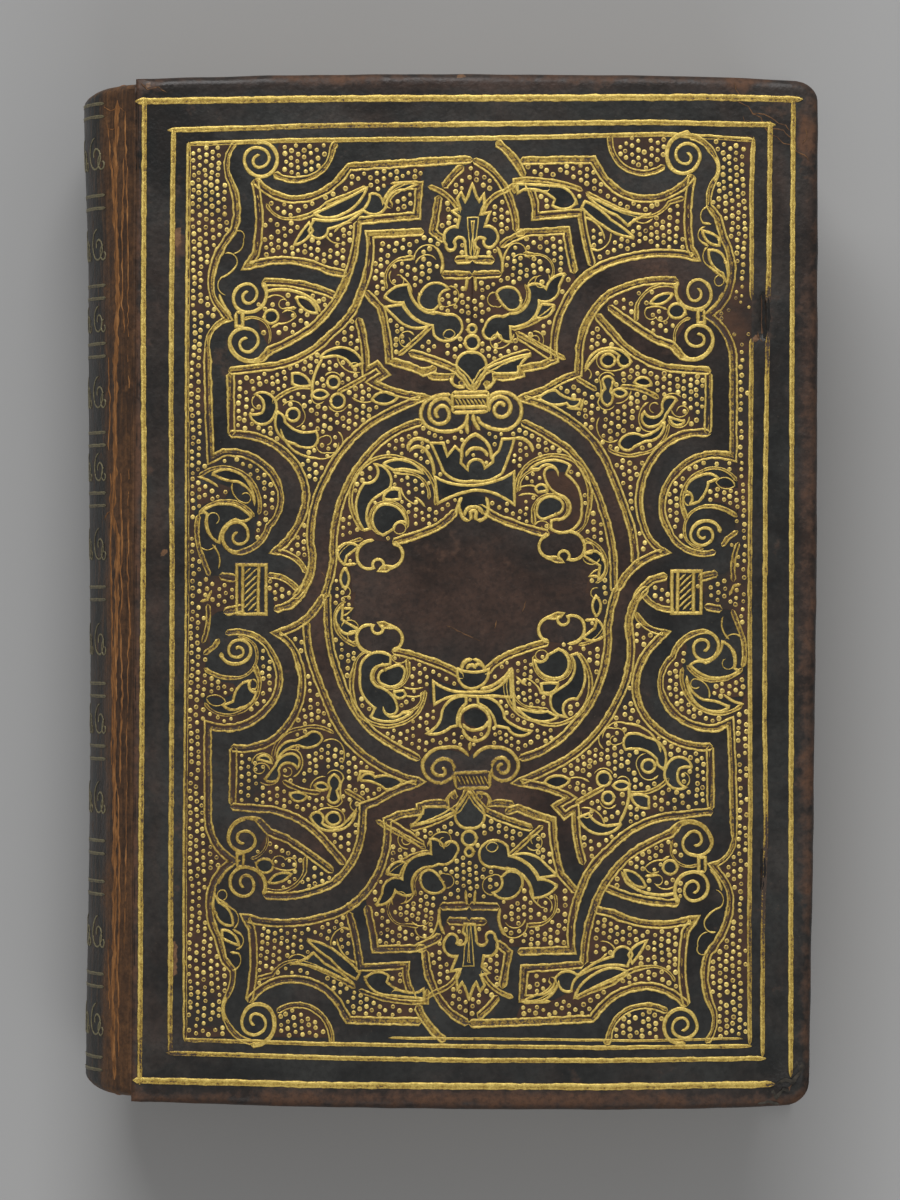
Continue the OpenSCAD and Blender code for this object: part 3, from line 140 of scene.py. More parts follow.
# Smooth dark leaves of that quarter
OVER_LEAVES = [
    [(-26.5, 65.2), (-23, 66.7, 1), (-17.4, 69.5), (-18.6, 67.4, 1), (-21.5, 65.2), (-24, 64.5, 1),
     (-26.5, 65.2)],
    [(-26.4, 64.2), (-23.5, 64, 1), (-19.3, 65.3), (-17.3, 66.8, 1), (-16.9, 68.4),
     (-15.6, 68.4, 1),
     (-14.7, 66.9), (-13.9, 68.6, 1), (-9, 70), (-11, 69.1), (-13.8, 67.7, 1), (-14.2, 66.3),
     (-15.8, 65.2, 1), (-18, 65.9), (-20.5, 64, 1), (-24, 62.6), (-26, 61, 1), (-27.3, 62.3),
     (-26.4, 64.2)],
    [(-27.3, 63.6), (-28.6, 62, 1), (-29.8, 59.9), (-27.6, 61, 1), (-26.6, 62.3)],
    [(-34.9, 47.8), (-33.6, 48.9, 1), (-32.5, 48), (-33.3, 46.7, 1), (-34.9, 47.8)],
    [(-29.4, 51), (-26.9, 50.2, 1), (-25.9, 48.3), (-28, 48.9, 1), (-29.4, 51)],
    [(-37.3, 31), (-35, 29.2, 1), (-33, 31), (-33.4, 34, 1), (-36.4, 34.4), (-34.9, 33, 1),
     (-35.2, 31.2), (-36.2, 30.9, 1), (-37.3, 31)],
    [(-30, 37.9), (-27.8, 37.4, 1), (-26.9, 35.9), (-28.4, 35.7, 1), (-30, 36.2)],
    [(-31, 30.8), (-29.9, 31.9, 1), (-28.8, 30.8), (-29.9, 29.7, 1), (-31, 30.8)],
    [(-32.6, 31.2), (-32.6, 28, 1), (-29.6, 25.8), (-28, 25.1, 1), (-26.4, 25.2), (-25.6, 26.6, 1),
     (-26, 27.9), (-29.6, 28.2, 1), (-31.3, 29.6), (-31.6, 30.6, 1), (-32.6, 31.2)],
    [(-24, 36.3), (-23, 37.3, 1), (-22, 36.3), (-23, 35.3, 1), (-24, 36.3)],
    [(-26.7, 34.2), (-25.3, 35, 1), (-23.9, 34.2), (-25.3, 33.5, 1), (-26.7, 34.2)],
    [(-23.4, 33.2), (-22.3, 34.3, 1), (-21.1, 33), (-22.3, 31.8, 1), (-23.4, 33.2)],
    [(-25.3, 40.6), (-22, 42.3, 1), (-18, 39.6), (-19.7, 38.9), (-21.6, 40.6, 1), (-23, 40.9),
     (-25.3, 40.6)],
    [(-16.4, 33.3), (-14.8, 34.5, 1), (-12.1, 33.6), (-14.3, 32.5, 1), (-16.4, 33.3)],
    [(-8.1, 51.5), (-6, 53.2, 1), (-3.4, 52.2), (-4.9, 51, 1), (-4.8, 49.6), (-5.7, 48.8),
     (-8, 49.2, 1), (-8.1, 51.5)],
    [(-14.3, 51), (-12.4, 52.6, 1), (-10.2, 53), (-9.6, 50.6, 1), (-7, 48.2), (-5.4, 48.2),
     (-3.6, 47.8), (-1.4, 47, 1), (-1.4, 44.6), (-3.4, 43.4, 1), (-5.8, 44.4), (-6.1, 46),
     (-9.7, 47.8, 1), (-11.1, 50), (-12.8, 50.1, 1), (-14.3, 51)],
    [(-14.3, 49.2), (-11.3, 49.6), (-9.8, 47.6, 1), (-6.4, 46.1), (-10, 45.8, 1), (-12.4, 47.4),
     (-14.3, 49.2)],
    [(-15.9, 22.2), (-15.3, 20.3, 1), (-17.6, 19), (-19, 15, 1), (-17.6, 10.9), (-16.6, 11.2),
     (-17.2, 13.8, 1), (-15.8, 16.4), (-13.3, 18.1), (-13.2, 20.2, 1), (-14.6, 21.9)],
    [(-14.4, 22.2), (-11, 22.9, 1), (-7.6, 20.6), (-9.6, 21.2, 1), (-12.6, 21.2), (-14.4, 22.2)],
    [(-14.4, 10.1), (-16.2, 12.4, 1), (-14.8, 15.2), (-12, 14.8, 1), (-10.4, 12.2),
     (-11.6, 12.4, 1),
     (-12.6, 11.2)],
    [(-14.4, 16.3), (-13.2, 17.8, 1), (-11.7, 17.7), (-11.5, 16.3), (-13, 16.1, 1), (-14.4, 16.3)],
    [(-43.6, 20.6), (-40.8, 21.3, 1), (-38, 19.8), (-36.8, 17.8, 1), (-36.4, 15.4),
     (-36.9, 17.2, 1),
     (-39.3, 19.3), (-41.4, 19.6, 1), (-43.6, 20.6)],
    [(-45.2, 14.2), (-41, 15.4, 1), (-37, 13.2), (-38.2, 12.5, 1), (-39.6, 12.8), (-42, 10.8, 1),
     (-42.4, 8.8), (-44.6, 11.4, 1), (-44.4, 13.7)],
    [(-22.2, 7.6), (-19.8, 8.6, 1), (-18.6, 8), (-19.6, 7.2, 1), (-20.6, 6.4), (-21, 4.9),
     (-21.9, 6, 1), (-22.2, 7.6)],
    [(-20.9, 4.2), (-21.6, 2.6, 1), (-20.8, 0.6), (-20.2, 2.4, 1), (-20.9, 4.2)],
]

# Broad stems and bands of that quarter
OVER_STEMS = [
    [(-34.6, 66.8), (-33.2, 65, 1), (-30, 64.3), (-27.3, 64.9, 1), (-24.2, 66.9), (-20, 68.5),
     (-17.4, 69.6)],
    [(-38.5, 47.2), (-35.3, 47.2, 1), (-34.1, 43.2)],
    [(-33.4, 32.8), (-30.6, 35, 1), (-26.5, 35.4)],
    [(-22.4, 34.5), (-17.4, 37.2)],
    [(-13.9, 52.3), (-14, 55.2, 1), (-11.7, 57.4), (-9.2, 57.7)],
    [(-10.1, 53.2), (-9.4, 50.3, 1), (-7.2, 48.5), (-5.3, 48.1)],
    [(-6.2, 46), (-11.9, 40.9)],
    [(-5.5, 15.2), (-6.6, 20.4, 1), (-10.5, 22.9), (-16.2, 22.9, 1), (-19.6, 18.6),
     (-19.7, 14.4, 1),
     (-17.7, 10.8)],
    [(-6.6, 16.2), (-7.2, 19, 1), (-9.6, 20.6), (-12.8, 20.9)],
    [(-14.6, 10.2), (-16.7, 13.2, 1), (-14.8, 15.6), (-11.6, 15.2, 1), (-10.2, 12.6),
     (-10.4, 11.2)],
    [(-45.9, 20.1), (-42.4, 21.7, 1), (-38.6, 20.8), (-36.1, 18, 1), (-35.7, 13.6)],
    [(-45.9, 13.6), (-44.4, 15, 1), (-41.4, 15.9), (-38, 15, 1), (-36.4, 13.2)],
    [(-45.9, 13.6), (-46.2, 10, 1), (-45.2, 6), (-44, 2.9)],
    [(-17.8, 9.4), (-20.8, 8.2, 1), (-22.4, 5.8)],
]

# Fine curls of that quarter
OVER_CURLS = [
    [(-40.2, 61.2), (-39, 62.2, 1), (-38.5, 60.8), (-39.2, 58.8, 1), (-40.2, 58.4)],
    [(-41.6, 58.4), (-40.3, 58.3, 1), (-39.6, 56.6), (-40.6, 55.3, 1), (-42.2, 54.4),
     (-42.8, 52.6, 1), (-41.5, 51.4)],
    [(-42.6, 51.6), (-42, 50, 1), (-40.5, 48)],
    [(-24.4, 61.6), (-23.4, 60.4, 1), (-21.8, 60.1)],
    [(-23, 62), (-22, 63, 1), (-20, 63.7)],
    [(-13.4, 70.1), (-11, 70.3), (-8.5, 70.4)],
    [(-34.4, 50.9), (-32.2, 51.3, 1), (-31, 50.4), (-32.4, 49.8, 1), (-31.4, 49.1), (-29.4, 49.2)],
    [(-34.6, 52), (-29.6, 52, 1), (-26.2, 50.2), (-25.3, 48.4)],
    [(-31.8, 48.4), (-30.6, 48.8, 1), (-29.4, 47.8), (-30.4, 47, 1), (-32.4, 46.6), (-33.6, 45.9)],
    [(-39.7, 48.5), (-38.6, 48.5), (-38.6, 46.1), (-39.7, 46.1), (-39.7, 48.5)],
    [(-36.4, 34.2), (-36.8, 32.5, 1), (-35.8, 31.8)],
    [(-22.2, 27.8), (-21.5, 25.4, 1), (-24, 24.2), (-25.9, 25.6, 1), (-24.6, 27), (-23.3, 26.2, 1),
     (-24.1, 25.5)],
    [(-32, 28.4), (-29.8, 24.7, 1), (-26, 23.3), (-22.6, 24.2, 1), (-22, 25.9)],
    [(-31.6, 32.4), (-30, 33.2, 1), (-28.2, 31.6), (-28, 29.6, 1), (-29.4, 28.6)],
    [(-24.9, 40.4), (-26.3, 37.4, 1), (-26.6, 34.2), (-26.4, 33, 1), (-24.6, 33.1)],
    [(-24.4, 37.4), (-22.8, 38, 1), (-21.6, 36.8)],
    [(-23.8, 32.2), (-22.2, 31.2, 1), (-20.6, 32.2)],
    [(-22.4, 40.8), (-20.8, 38.4, 1), (-18.4, 38)],
    [(-20.4, 39), (-19.2, 39.6, 1), (-18.4, 38.4)],
    [(-19.8, 33.6), (-18.4, 32.9, 1), (-16.4, 33)],
    [(-9.3, 57.2), (-8.2, 59.4, 1), (-5.9, 59.6), (-4.6, 57.4, 1), (-4.6, 55)],
    [(-9, 56.6), (-7.4, 58.1, 1), (-5.5, 57.2)],
    [(-13.2, 55.4), (-13.2, 53.4, 1), (-11.8, 52.8), (-11.2, 54.2, 1), (-12.3, 54.6)],
    [(-11.6, 54.4), (-10.2, 53.2, 1), (-9.6, 51.6)],
    [(-3.4, 52.6), (-1.6, 50.8, 1), (-3.2, 49.4), (-4.6, 49.4, 1), (-5, 50.6)],
    [(-9.2, 44.4), (-11.4, 44.6, 1), (-11, 42.4), (-9.9, 42.9, 1), (-10.2, 44)],
    [(-4.2, 44.2), (-3.4, 45.3, 1), (-2.2, 44.6), (-3, 43.8, 1), (-4.2, 44.2)],
    [(-12.6, 11.2), (-11.5, 12.2, 1), (-10.5, 11.2), (-11.5, 10.3, 1), (-12.6, 11.2)],
    [(-13.2, 18.2), (-11.4, 17.9), (-10.6, 16.4, 1), (-8.8, 15.3)],
    [(-9, 16.6), (-8.2, 16, 1), (-7.2, 14.9)],
    [(-40.2, 19), (-39.9, 16.9, 1), (-37.8, 15.6), (-37.2, 17, 1), (-38.6, 17)],
    [(-42.5, 8.6), (-44.2, 11, 1), (-44.4, 13.2), (-42.6, 13.5, 1), (-43, 12)],
    [(-43.6, 8.4), (-42.6, 7, 1), (-42.5, 4.2)],
    [(-45.6, 8), (-44.4, 7.4, 1), (-43, 8.4)],
    [(-46.2, 20), (-44.2, 19.4, 1), (-42.6, 18.3)],
    [(-20.9, 4.8), (-18.9, 5)],
    [(-21.4, 0.8), (-20, 0.4, 1), (-21.2, -0.8)],
]

# Strap outlines of the quarter with the corner strap under
UNDER_STRAPS = [
    [(-37.6, 77.6), (-40.4, 76.4, 1), (-42.2, 74.2), (-42.8, 72.2, 1), (-42.3, 70.5),
     (-41.2, 67.8, 1), (-41.2, 66), (-42.7, 64.2),
     (-43.8, 60.5), (-45.2, 55, 1), (-44.1, 50.6), (-43, 49.1), (-41.2, 47.6), (-44.2, 44.6, 1),
     (-45.5, 40), (-45.6, 30.8), (-45.6, 23.6), (-40.6, 23.9, 1), (-35.6, 20.7), (-33.5, 16.4, 1),
     (-34.7, 10.9), (-37.4, 7.8, 1), (-42.7, 7.3)],
    [(-43.4, 10.6), (-42.9, 11.9, 1), (-41.3, 12.7), (-39.6, 12.3, 1), (-38.5, 11.1),
     (-38.4, 9.7, 1), (-39.2, 8.7), (-40.3, 8.4, 1), (-41.4, 8.8), (-42.1, 10, 1), (-41.8, 11.1),
     (-40.8, 11.5, 1), (-39.9, 11.2), (-39.6, 10.3, 1), (-40.1, 9.7), (-40.6, 9.7, 1),
     (-40.8, 10.1)],
    [(-38, 78), (-34.4, 76.2, 1), (-34.5, 72.5), (-36.7, 71.4, 1), (-39.3, 73.2), (-38.8, 75.9, 1),
     (-36.2, 75.9), (-35.5, 74.2, 1), (-37, 73), (-38.1, 74, 1), (-37.3, 74.8)],
    [(-33.6, 72.7), (-30.3, 71.4, 1), (-26.4, 72.5), (-24.7, 74.6, 1), (-24.2, 77.4)],
    [(-38.4, 71.2), (-35.3, 68.4, 1), (-30.6, 67.3), (-25.9, 68.4, 1), (-22.4, 71.8), (-21.3, 73.5),
     (-15, 73.6), (-8.8, 73.6)],
    [(-4.7, 76.7), (-7.4, 74.4, 1), (-9.6, 71)],
    [(-38.4, 71.2), (-37.6, 65.4, 1), (-38, 59), (-39.1, 57.3), (-36.9, 57.9), (-30.4, 58, 1),
     (-25, 56.8), (-20.6, 54.6, 1), (-17, 50.4), (-15.2, 46, 1), (-14.9, 40.2), (-12.9, 39.3),
     (-9.2, 38.6), (-9.2, 37.8), (-6.6, 37.2, 1), (-4.7, 37.3), (-4.4, 36.2, 1), (-3.5, 35.5),
     (-3.2, 36.6)],
    [(-21.4, 55.9), (-20.2, 60.2, 1), (-19.4, 65.1), (-15, 64.9), (-11.5, 64.6), (-11.4, 67, 1),
     (-10.5, 69.4), (-14, 69.2)],
    [(-36, 53.4), (-30, 53.2, 1), (-24, 51), (-20.6, 46.8, 1), (-19.2, 42), (-19, 37.8),
     (-16.8, 37),
     (-13.1, 34.9), (-9.2, 33.6), (-14.2, 31.9, 1), (-18.7, 29.1), (-22.4, 25.3, 1), (-24.6, 21.1),
     (-26.8, 15.6, 1), (-28.2, 11.3), (-28.7, 8.2, 1), (-28.8, 5.1)],
    [(-36, 53.4), (-35.8, 50.8, 1), (-38.2, 48.8), (-41.6, 50.6, 1), (-40.4, 53.4),
     (-37.9, 52.9, 1),
     (-37.8, 50.9), (-39.9, 50.8, 1), (-39.2, 52.2)],
    [(-24, 49.2), (-28.4, 46, 1), (-32, 43.7), (-35, 42.6), (-36.7, 40.7), (-40.8, 41.1, 1),
     (-42, 43.6), (-39.8, 46, 1), (-37.6, 45), (-37.9, 42.9, 1), (-39.8, 42.6), (-40.4, 44, 1),
     (-39.2, 44.5)],
    [(-41.7, 38.3), (-34.9, 38.7), (-29.8, 40.4, 1), (-26, 43.2), (-22, 47.8)],
    [(-41.3, 38.1), (-41.2, 27.6)],
    [(-41.7, 27.7), (-36.2, 27.2, 1), (-31.7, 23.3), (-29.6, 18, 1), (-30.2, 12), (-31.7, 9, 1),
     (-34.1, 7.2), (-29.7, 5.4, 1), (-26.4, 1.4), (-25.6, 0.5)],
    [(-18.3, 54.7), (-17.4, 58.6, 1), (-16.8, 62.1), (-9.8, 61.8), (-6.6, 60.3), (-5.5, 59.4)],
    [(-9.8, 61.8), (-8, 61.8)],
    [(-0.7, 73.8), (-4.4, 71.6, 1), (-6.7, 68.3), (-7.9, 65, 1), (-8.2, 62)],
    [(-10.9, 41.5), (-6.4, 40.1, 1), (-2.6, 38), (-1.6, 36.4), (-0.9, 35)],
    [(-15, 40.2), (-11.3, 42.6), (-8.5, 44.5)],
    [(-28.8, -1.5), (-29.7, 0.3), (-31.6, 2.2), (-34.4, 3.1)],
    [(-39.6, 2.6), (-43, 3.5)],
    [(-9.2, 29.6), (-13.1, 27.6, 1), (-17.4, 24.8), (-21.2, 19.6, 1), (-23.1, 15), (-24.8, 8.6, 1),
     (-25.2, 3.3), (-25.3, 0)],
    [(-14.2, 10.4), (-11.5, 11, 1), (-7.6, 12.3), (-4.8, 13.4, 1), (-1.9, 15.2)],
    [(-14.2, 10.4), (-12.4, 8.4, 1), (-14.6, 6.1), (-16.1, 5.7), (-16.7, 7.4, 1), (-17.4, 5.9),
     (-18.8, 5.9, 1), (-20.2, 7.6), (-19.8, 9.6, 1), (-17.3, 10.8)],
    [(-0.7, 54.5), (-5.8, 54.7)],
    [(-0.7, 57.2), (-4.6, 57.1)],
]

# Dotted grounds of that quarter; where one follows a strap, it takes the strap's points
UNDER_GROUNDS = [
    [(-50, 78), (-37.8, 78), (-40.6, 76.6, 1), *UNDER_STRAPS[0][2:17], (-46.4, 16, 1), (-45.2, 9),
     (-46, 5), (-44, 3.4), (-39.6, 2.6), (-39.6, 0), (-50, 0)],
    [(-33.8, 77.2), (-34.4, 74.4, 1), (-33.6, 72.7), (-30.3, 71.4, 1), (-26.4, 72.5),
     (-24.7, 74.6, 1), (-24.2, 77.3)],
    [*UNDER_STRAPS[4][:5], (-21.3, 73.3), (-8.8, 73.3), (-9.6, 71), (-14, 69.2), (-19.8, 67.4),
     (-19.4, 65.1), (-20.2, 60.2, 1), (-21.4, 55.2), *UNDER_STRAPS[6][6:0:-1]],
    [(-19.4, 65.1), (-11.5, 64.6), (-11.4, 67, 1), (-10.5, 69.4), (-14, 69.2)],
    [(-36, 53.4), (-30, 53.2, 1), (-24, 51), (-24, 49.2), (-28.4, 46, 1), (-32, 43.7), (-35, 42.6),
     (-37, 45.6), (-37.6, 48.8), (-35.8, 50.8, 1)],
    [(-41.3, 38.3), (-34.9, 38.7), (-29.8, 40.4, 1), (-26, 43.2), (-22, 47.8), (-20.2, 45.2, 1),
     *UNDER_STRAPS[8][4:15], (-28.8, 5.1), (-31, 6.2), *UNDER_STRAPS[13][6::-1]],
    [(-16.9, 61.8), (-9.8, 61.8), (-6.6, 60.3), (-5.8, 54.7), (-0.7, 54.5), (-0.7, 42), (-2, 41, 1),
     (-2.8, 38.4), (-6.4, 40.1, 1), (-10.9, 41.5), (-14.9, 40.2), (-15.2, 46, 1), (-17, 50.4),
     (-18.4, 54), (-17.4, 58.6, 1)],
    [(-0.7, 73.4), (-4.4, 71.6, 1), (-6.7, 68.3), (-7.9, 65, 1), (-8.2, 62), (-5.5, 59.4),
     (-4.6, 57.1), (-0.7, 57.2)],
    [(-34.4, 2.6), (-31, 1.6, 1), (-29.6, 0), (-34.4, 0)],
    [*UNDER_STRAPS[0][16:21], (-35.6, 9.2), (-37.5, 8.1), (-37, 10.4), (-37.3, 12.6),
     (-36.8, 15.4, 1), (-37.4, 18.8), (-40.2, 21.3), (-43.4, 21.7, 1), (-46.2, 19.6)],
    [(-46.4, 14.2), (-44.2, 15.6), (-41.2, 16.2), (-40.6, 17.6), (-43, 18.8), (-46.4, 18.4)],
    [*UNDER_STRAPS[21], (-20.4, 0), (-21.4, 6), (-20.2, 7.6), (-19.8, 9.6, 1), (-17.3, 10.8),
     *UNDER_STRAPS[22], (-3, 16.9), (-7.8, 15.2), (-7.7, 19.8), (-4.6, 18.9, 1), (-0.7, 18.7),
     (-0.7, 29.3), (-4.3, 28, 1), (-7.2, 28.4)],
]

# Smooth dark leaves of that quarter
UNDER_LEAVES = [
    [(-31.4, 64.7), (-28.4, 64.9, 1), (-24.6, 66), (-20.4, 67.8), (-22.4, 66.2, 1), (-25.4, 64.6),
     (-27.3, 62.9), (-28.6, 63.8, 1), (-31.4, 64.7)],
    [(-28.4, 60.8), (-26.6, 62.4, 1), (-24.4, 63.8), (-21.9, 66, 1), (-20, 67), (-19.4, 66),
     (-21, 64.4, 1), (-23.2, 62.8), (-25.6, 61.4, 1), (-28.4, 60.8)],
    [(-18.5, 66.8), (-17.4, 68.5, 1), (-14.8, 69.5), (-9.6, 69.9), (-8.4, 70), (-8.5, 68.5),
     (-9.4, 69), (-12.4, 68.8, 1), (-14.8, 67.4), (-14.4, 66.4), (-16.4, 65.8, 1), (-18.5, 66.8)],
    [(-37.2, 48), (-35.6, 49.6, 1), (-34.3, 48.2), (-35.4, 47.2, 1), (-37.2, 48)],
    [(-35, 51.3), (-33, 51.1, 1), (-31.2, 49.7), (-33.4, 49.7, 1), (-35, 51.3)],
    [(-43, 60.6), (-41.6, 61.4, 1), (-40.1, 61.9), (-40.6, 60.6, 1), (-43, 59.4), (-43, 60.6)],
    [(-44, 56.8), (-42.8, 58.4, 1), (-41.2, 58.6), (-41.4, 57, 1), (-43.6, 54.8), (-44.3, 53.2),
     (-44.5, 55, 1), (-44, 56.8)],
    [(-35.8, 33.5), (-34.4, 33.9, 1), (-33.5, 31.8), (-32.4, 30.5, 1), (-30.3, 31.3),
     (-30, 29.6, 1),
     (-31.6, 28.8), (-33.4, 29.8, 1), (-34, 31), (-34.9, 32.2, 1), (-35.8, 33.5)],
    [(-37.2, 29.8), (-36, 29.1, 1), (-34.7, 30.4), (-35.8, 30.1, 1), (-37.2, 29.8)],
    [(-33.7, 29.8), (-33.2, 27.6, 1), (-30.6, 26.4), (-28.6, 25.4), (-27.2, 24.8, 1), (-26, 26),
     (-27, 27.2, 1), (-30, 27.2), (-32.4, 28.2, 1), (-33.7, 29.8)],
    [(-31.5, 36), (-30, 37.2, 1), (-28.6, 36.3), (-30, 35.7, 1), (-31.5, 36)],
    [(-28, 39.9), (-26, 41.8, 1), (-23.6, 42), (-21, 40.6, 1), (-20.2, 38.4), (-21.4, 40, 1),
     (-22.6, 41.2), (-24.4, 41.6, 1), (-26, 40.8), (-27.2, 39, 1), (-28, 39.9)],
    [(-25.3, 40.1), (-24, 41.1, 1), (-22.8, 40.1), (-24, 38.9, 1), (-25.3, 40.1)],
    [(-25, 36.5), (-24.2, 37.3, 1), (-23.1, 36.5), (-23.6, 35.2), (-23, 33.4, 1), (-24, 32.4),
     (-24.8, 33.2, 1), (-24.5, 34.8), (-25, 36.5)],
    [(-27.3, 34.5), (-26, 35.2, 1), (-24.9, 34.8), (-25.8, 33.9, 1), (-27.3, 34.5)],
    [(-19.4, 33.4), (-17.4, 33.6, 1), (-15.2, 34.9), (-13.4, 34.6, 1), (-12.3, 33.6),
     (-15, 32.5, 1),
     (-17, 32.8), (-19.2, 32.7, 1), (-19.4, 33.4)],
    [(-16.6, 54.7), (-14.8, 54.2, 1), (-13.4, 52.2), (-11.4, 53, 1), (-10.2, 52.6), (-10, 49.2, 1),
     (-7.2, 48), (-6, 47.5), (-4.4, 47.4, 1), (-3, 45.8), (-3.8, 43.7, 1), (-5.1, 44.7),
     (-6.1, 43.5, 1), (-7.5, 43.3), (-7.3, 45.8), (-10.4, 46.5, 1), (-12.2, 50.2), (-14.6, 50.4, 1),
     (-15.6, 52.6), (-16.6, 54.7)],
    [(-9.1, 50.4), (-7.2, 52.5, 1), (-4.9, 51.5), (-5.8, 49.8, 1), (-6.8, 48.8), (-8.6, 48.9, 1),
     (-9.1, 50.4)],
    [(-14.7, 49.4), (-12.7, 49.6), (-11.6, 47.4), (-12.4, 47.2, 1), (-14.7, 49.4)],
    [(-17.7, 22.2), (-14.4, 23, 1), (-10.8, 21.4), (-12.4, 21.5), (-14.2, 22.2, 1), (-15.6, 20.6),
     (-14.6, 21.8, 1), (-13.2, 20.6), (-13.8, 18.8, 1), (-16.6, 16.8), (-17.7, 14.6, 1),
     (-15.4, 12.9), (-14.5, 12.7), (-14.4, 11.3), (-18.2, 11.2, 1), (-19.6, 14.6), (-19, 18.4, 1),
     (-17, 20.6), (-17.7, 22.2)],
    [(-15.4, 13.8), (-16.5, 15.2, 1), (-15.4, 16.5), (-13, 16.4, 1), (-12, 14.6), (-12.4, 13.2, 1),
     (-13.4, 13), (-15.4, 13.8)],
    [(-13.8, 17.7), (-12.6, 18.8, 1), (-11.8, 18.1), (-12.2, 17.5), (-13.8, 17.7)],
    [(-23.4, 6), (-21.8, 7.4, 1), (-20, 6.6), (-21.6, 5.6, 1), (-22.8, 4.8), (-22.6, 2.4),
     (-23.6, 3.6, 1), (-23.4, 6)],
    [(-37.4, 17.8), (-38.2, 19.5, 1), (-40, 20.5), (-41.6, 20.8, 1), (-43, 20.1), (-41.3, 19.4),
     (-40.8, 17.6, 1), (-39.6, 16), (-38.3, 15.6), (-38.6, 16.8, 1), (-37.4, 17.8)],
    [(-10.9, 41.1), (-9, 39.2, 1), (-8.6, 37.9), (-5, 37.8), (-2.8, 38.3, 1), (-6.4, 40, 1),
     (-10.9, 41.1)],
]

# Broad stems and bands of that quarter
UNDER_STEMS = [
    [(-37, 67.4), (-34.4, 66.6), (-32.6, 64.9, 1), (-29.4, 64.4), (-26.4, 65.4, 1), (-20.1, 68.4)],
    [(-19.6, 68.7), (-14.6, 70.2, 1), (-8, 70.5), (-7.9, 68.4)],
    [(-38.2, 47.2), (-35.9, 45.8, 1), (-35.5, 43)],
    [(-35.6, 52.4), (-31, 51.9, 1), (-28.9, 49.2), (-28.8, 46.6)],
    [(-32.8, 33.6), (-30.4, 34.9, 1), (-26.2, 35.6)],
    [(-34.4, 29.4), (-33, 25.8, 1), (-29.6, 24.2), (-26.4, 24, 1), (-24, 25.1)],
    [(-22.2, 35), (-18.6, 37)],
    [(-14.3, 53.8), (-14.4, 56.4, 1), (-11.4, 58), (-9.4, 58.2)],
    [(-9.8, 53), (-9.6, 49.4, 1), (-7, 48)],
    [(-15, 49.2), (-11.4, 46.7, 1), (-7.5, 45.4)],
    [(-16.8, 40.2), (-8.2, 44.9)],
    [(-8.5, 17.4), (-9.4, 21, 1), (-12.6, 23.4), (-16.4, 23.7, 1), (-19.6, 21.8), (-21, 17.8, 1),
     (-20.6, 13.4), (-19.6, 11.2, 1), (-18.2, 10.4)],
    [(-12.6, 21.4), (-10.4, 20.8, 1), (-9, 19.2), (-8.8, 17.6)],
    [(-15.2, 12.8), (-17.3, 14.6, 1), (-15.6, 16.9), (-12.6, 16.6, 1), (-11.3, 14.4), (-11.5, 12)],
    [(-20.2, 9.5), (-23.2, 7.4, 1), (-24, 4.2), (-23.4, 2.6, 1), (-22, 1.7)],
    [(-46.2, 19.6), (-43.4, 21.7, 1), (-40.2, 21.3), (-37.4, 18.8, 1), (-36.8, 15.4),
     (-37.7, 12.6)],
    [(-46.3, 13.4), (-43.9, 14.8, 1), (-41.3, 15.2), (-38.8, 14.4, 1), (-37.5, 12.8),
     (-37.2, 11.1, 1), (-37.6, 9.4), (-38.8, 8.3, 1), (-40.6, 7.8)],
    [(-46.4, 11), (-44.6, 9.6), (-43.7, 8.2)],
    [(-46.6, 9), (-45.7, 5.6, 1), (-45.7, 2)],
]

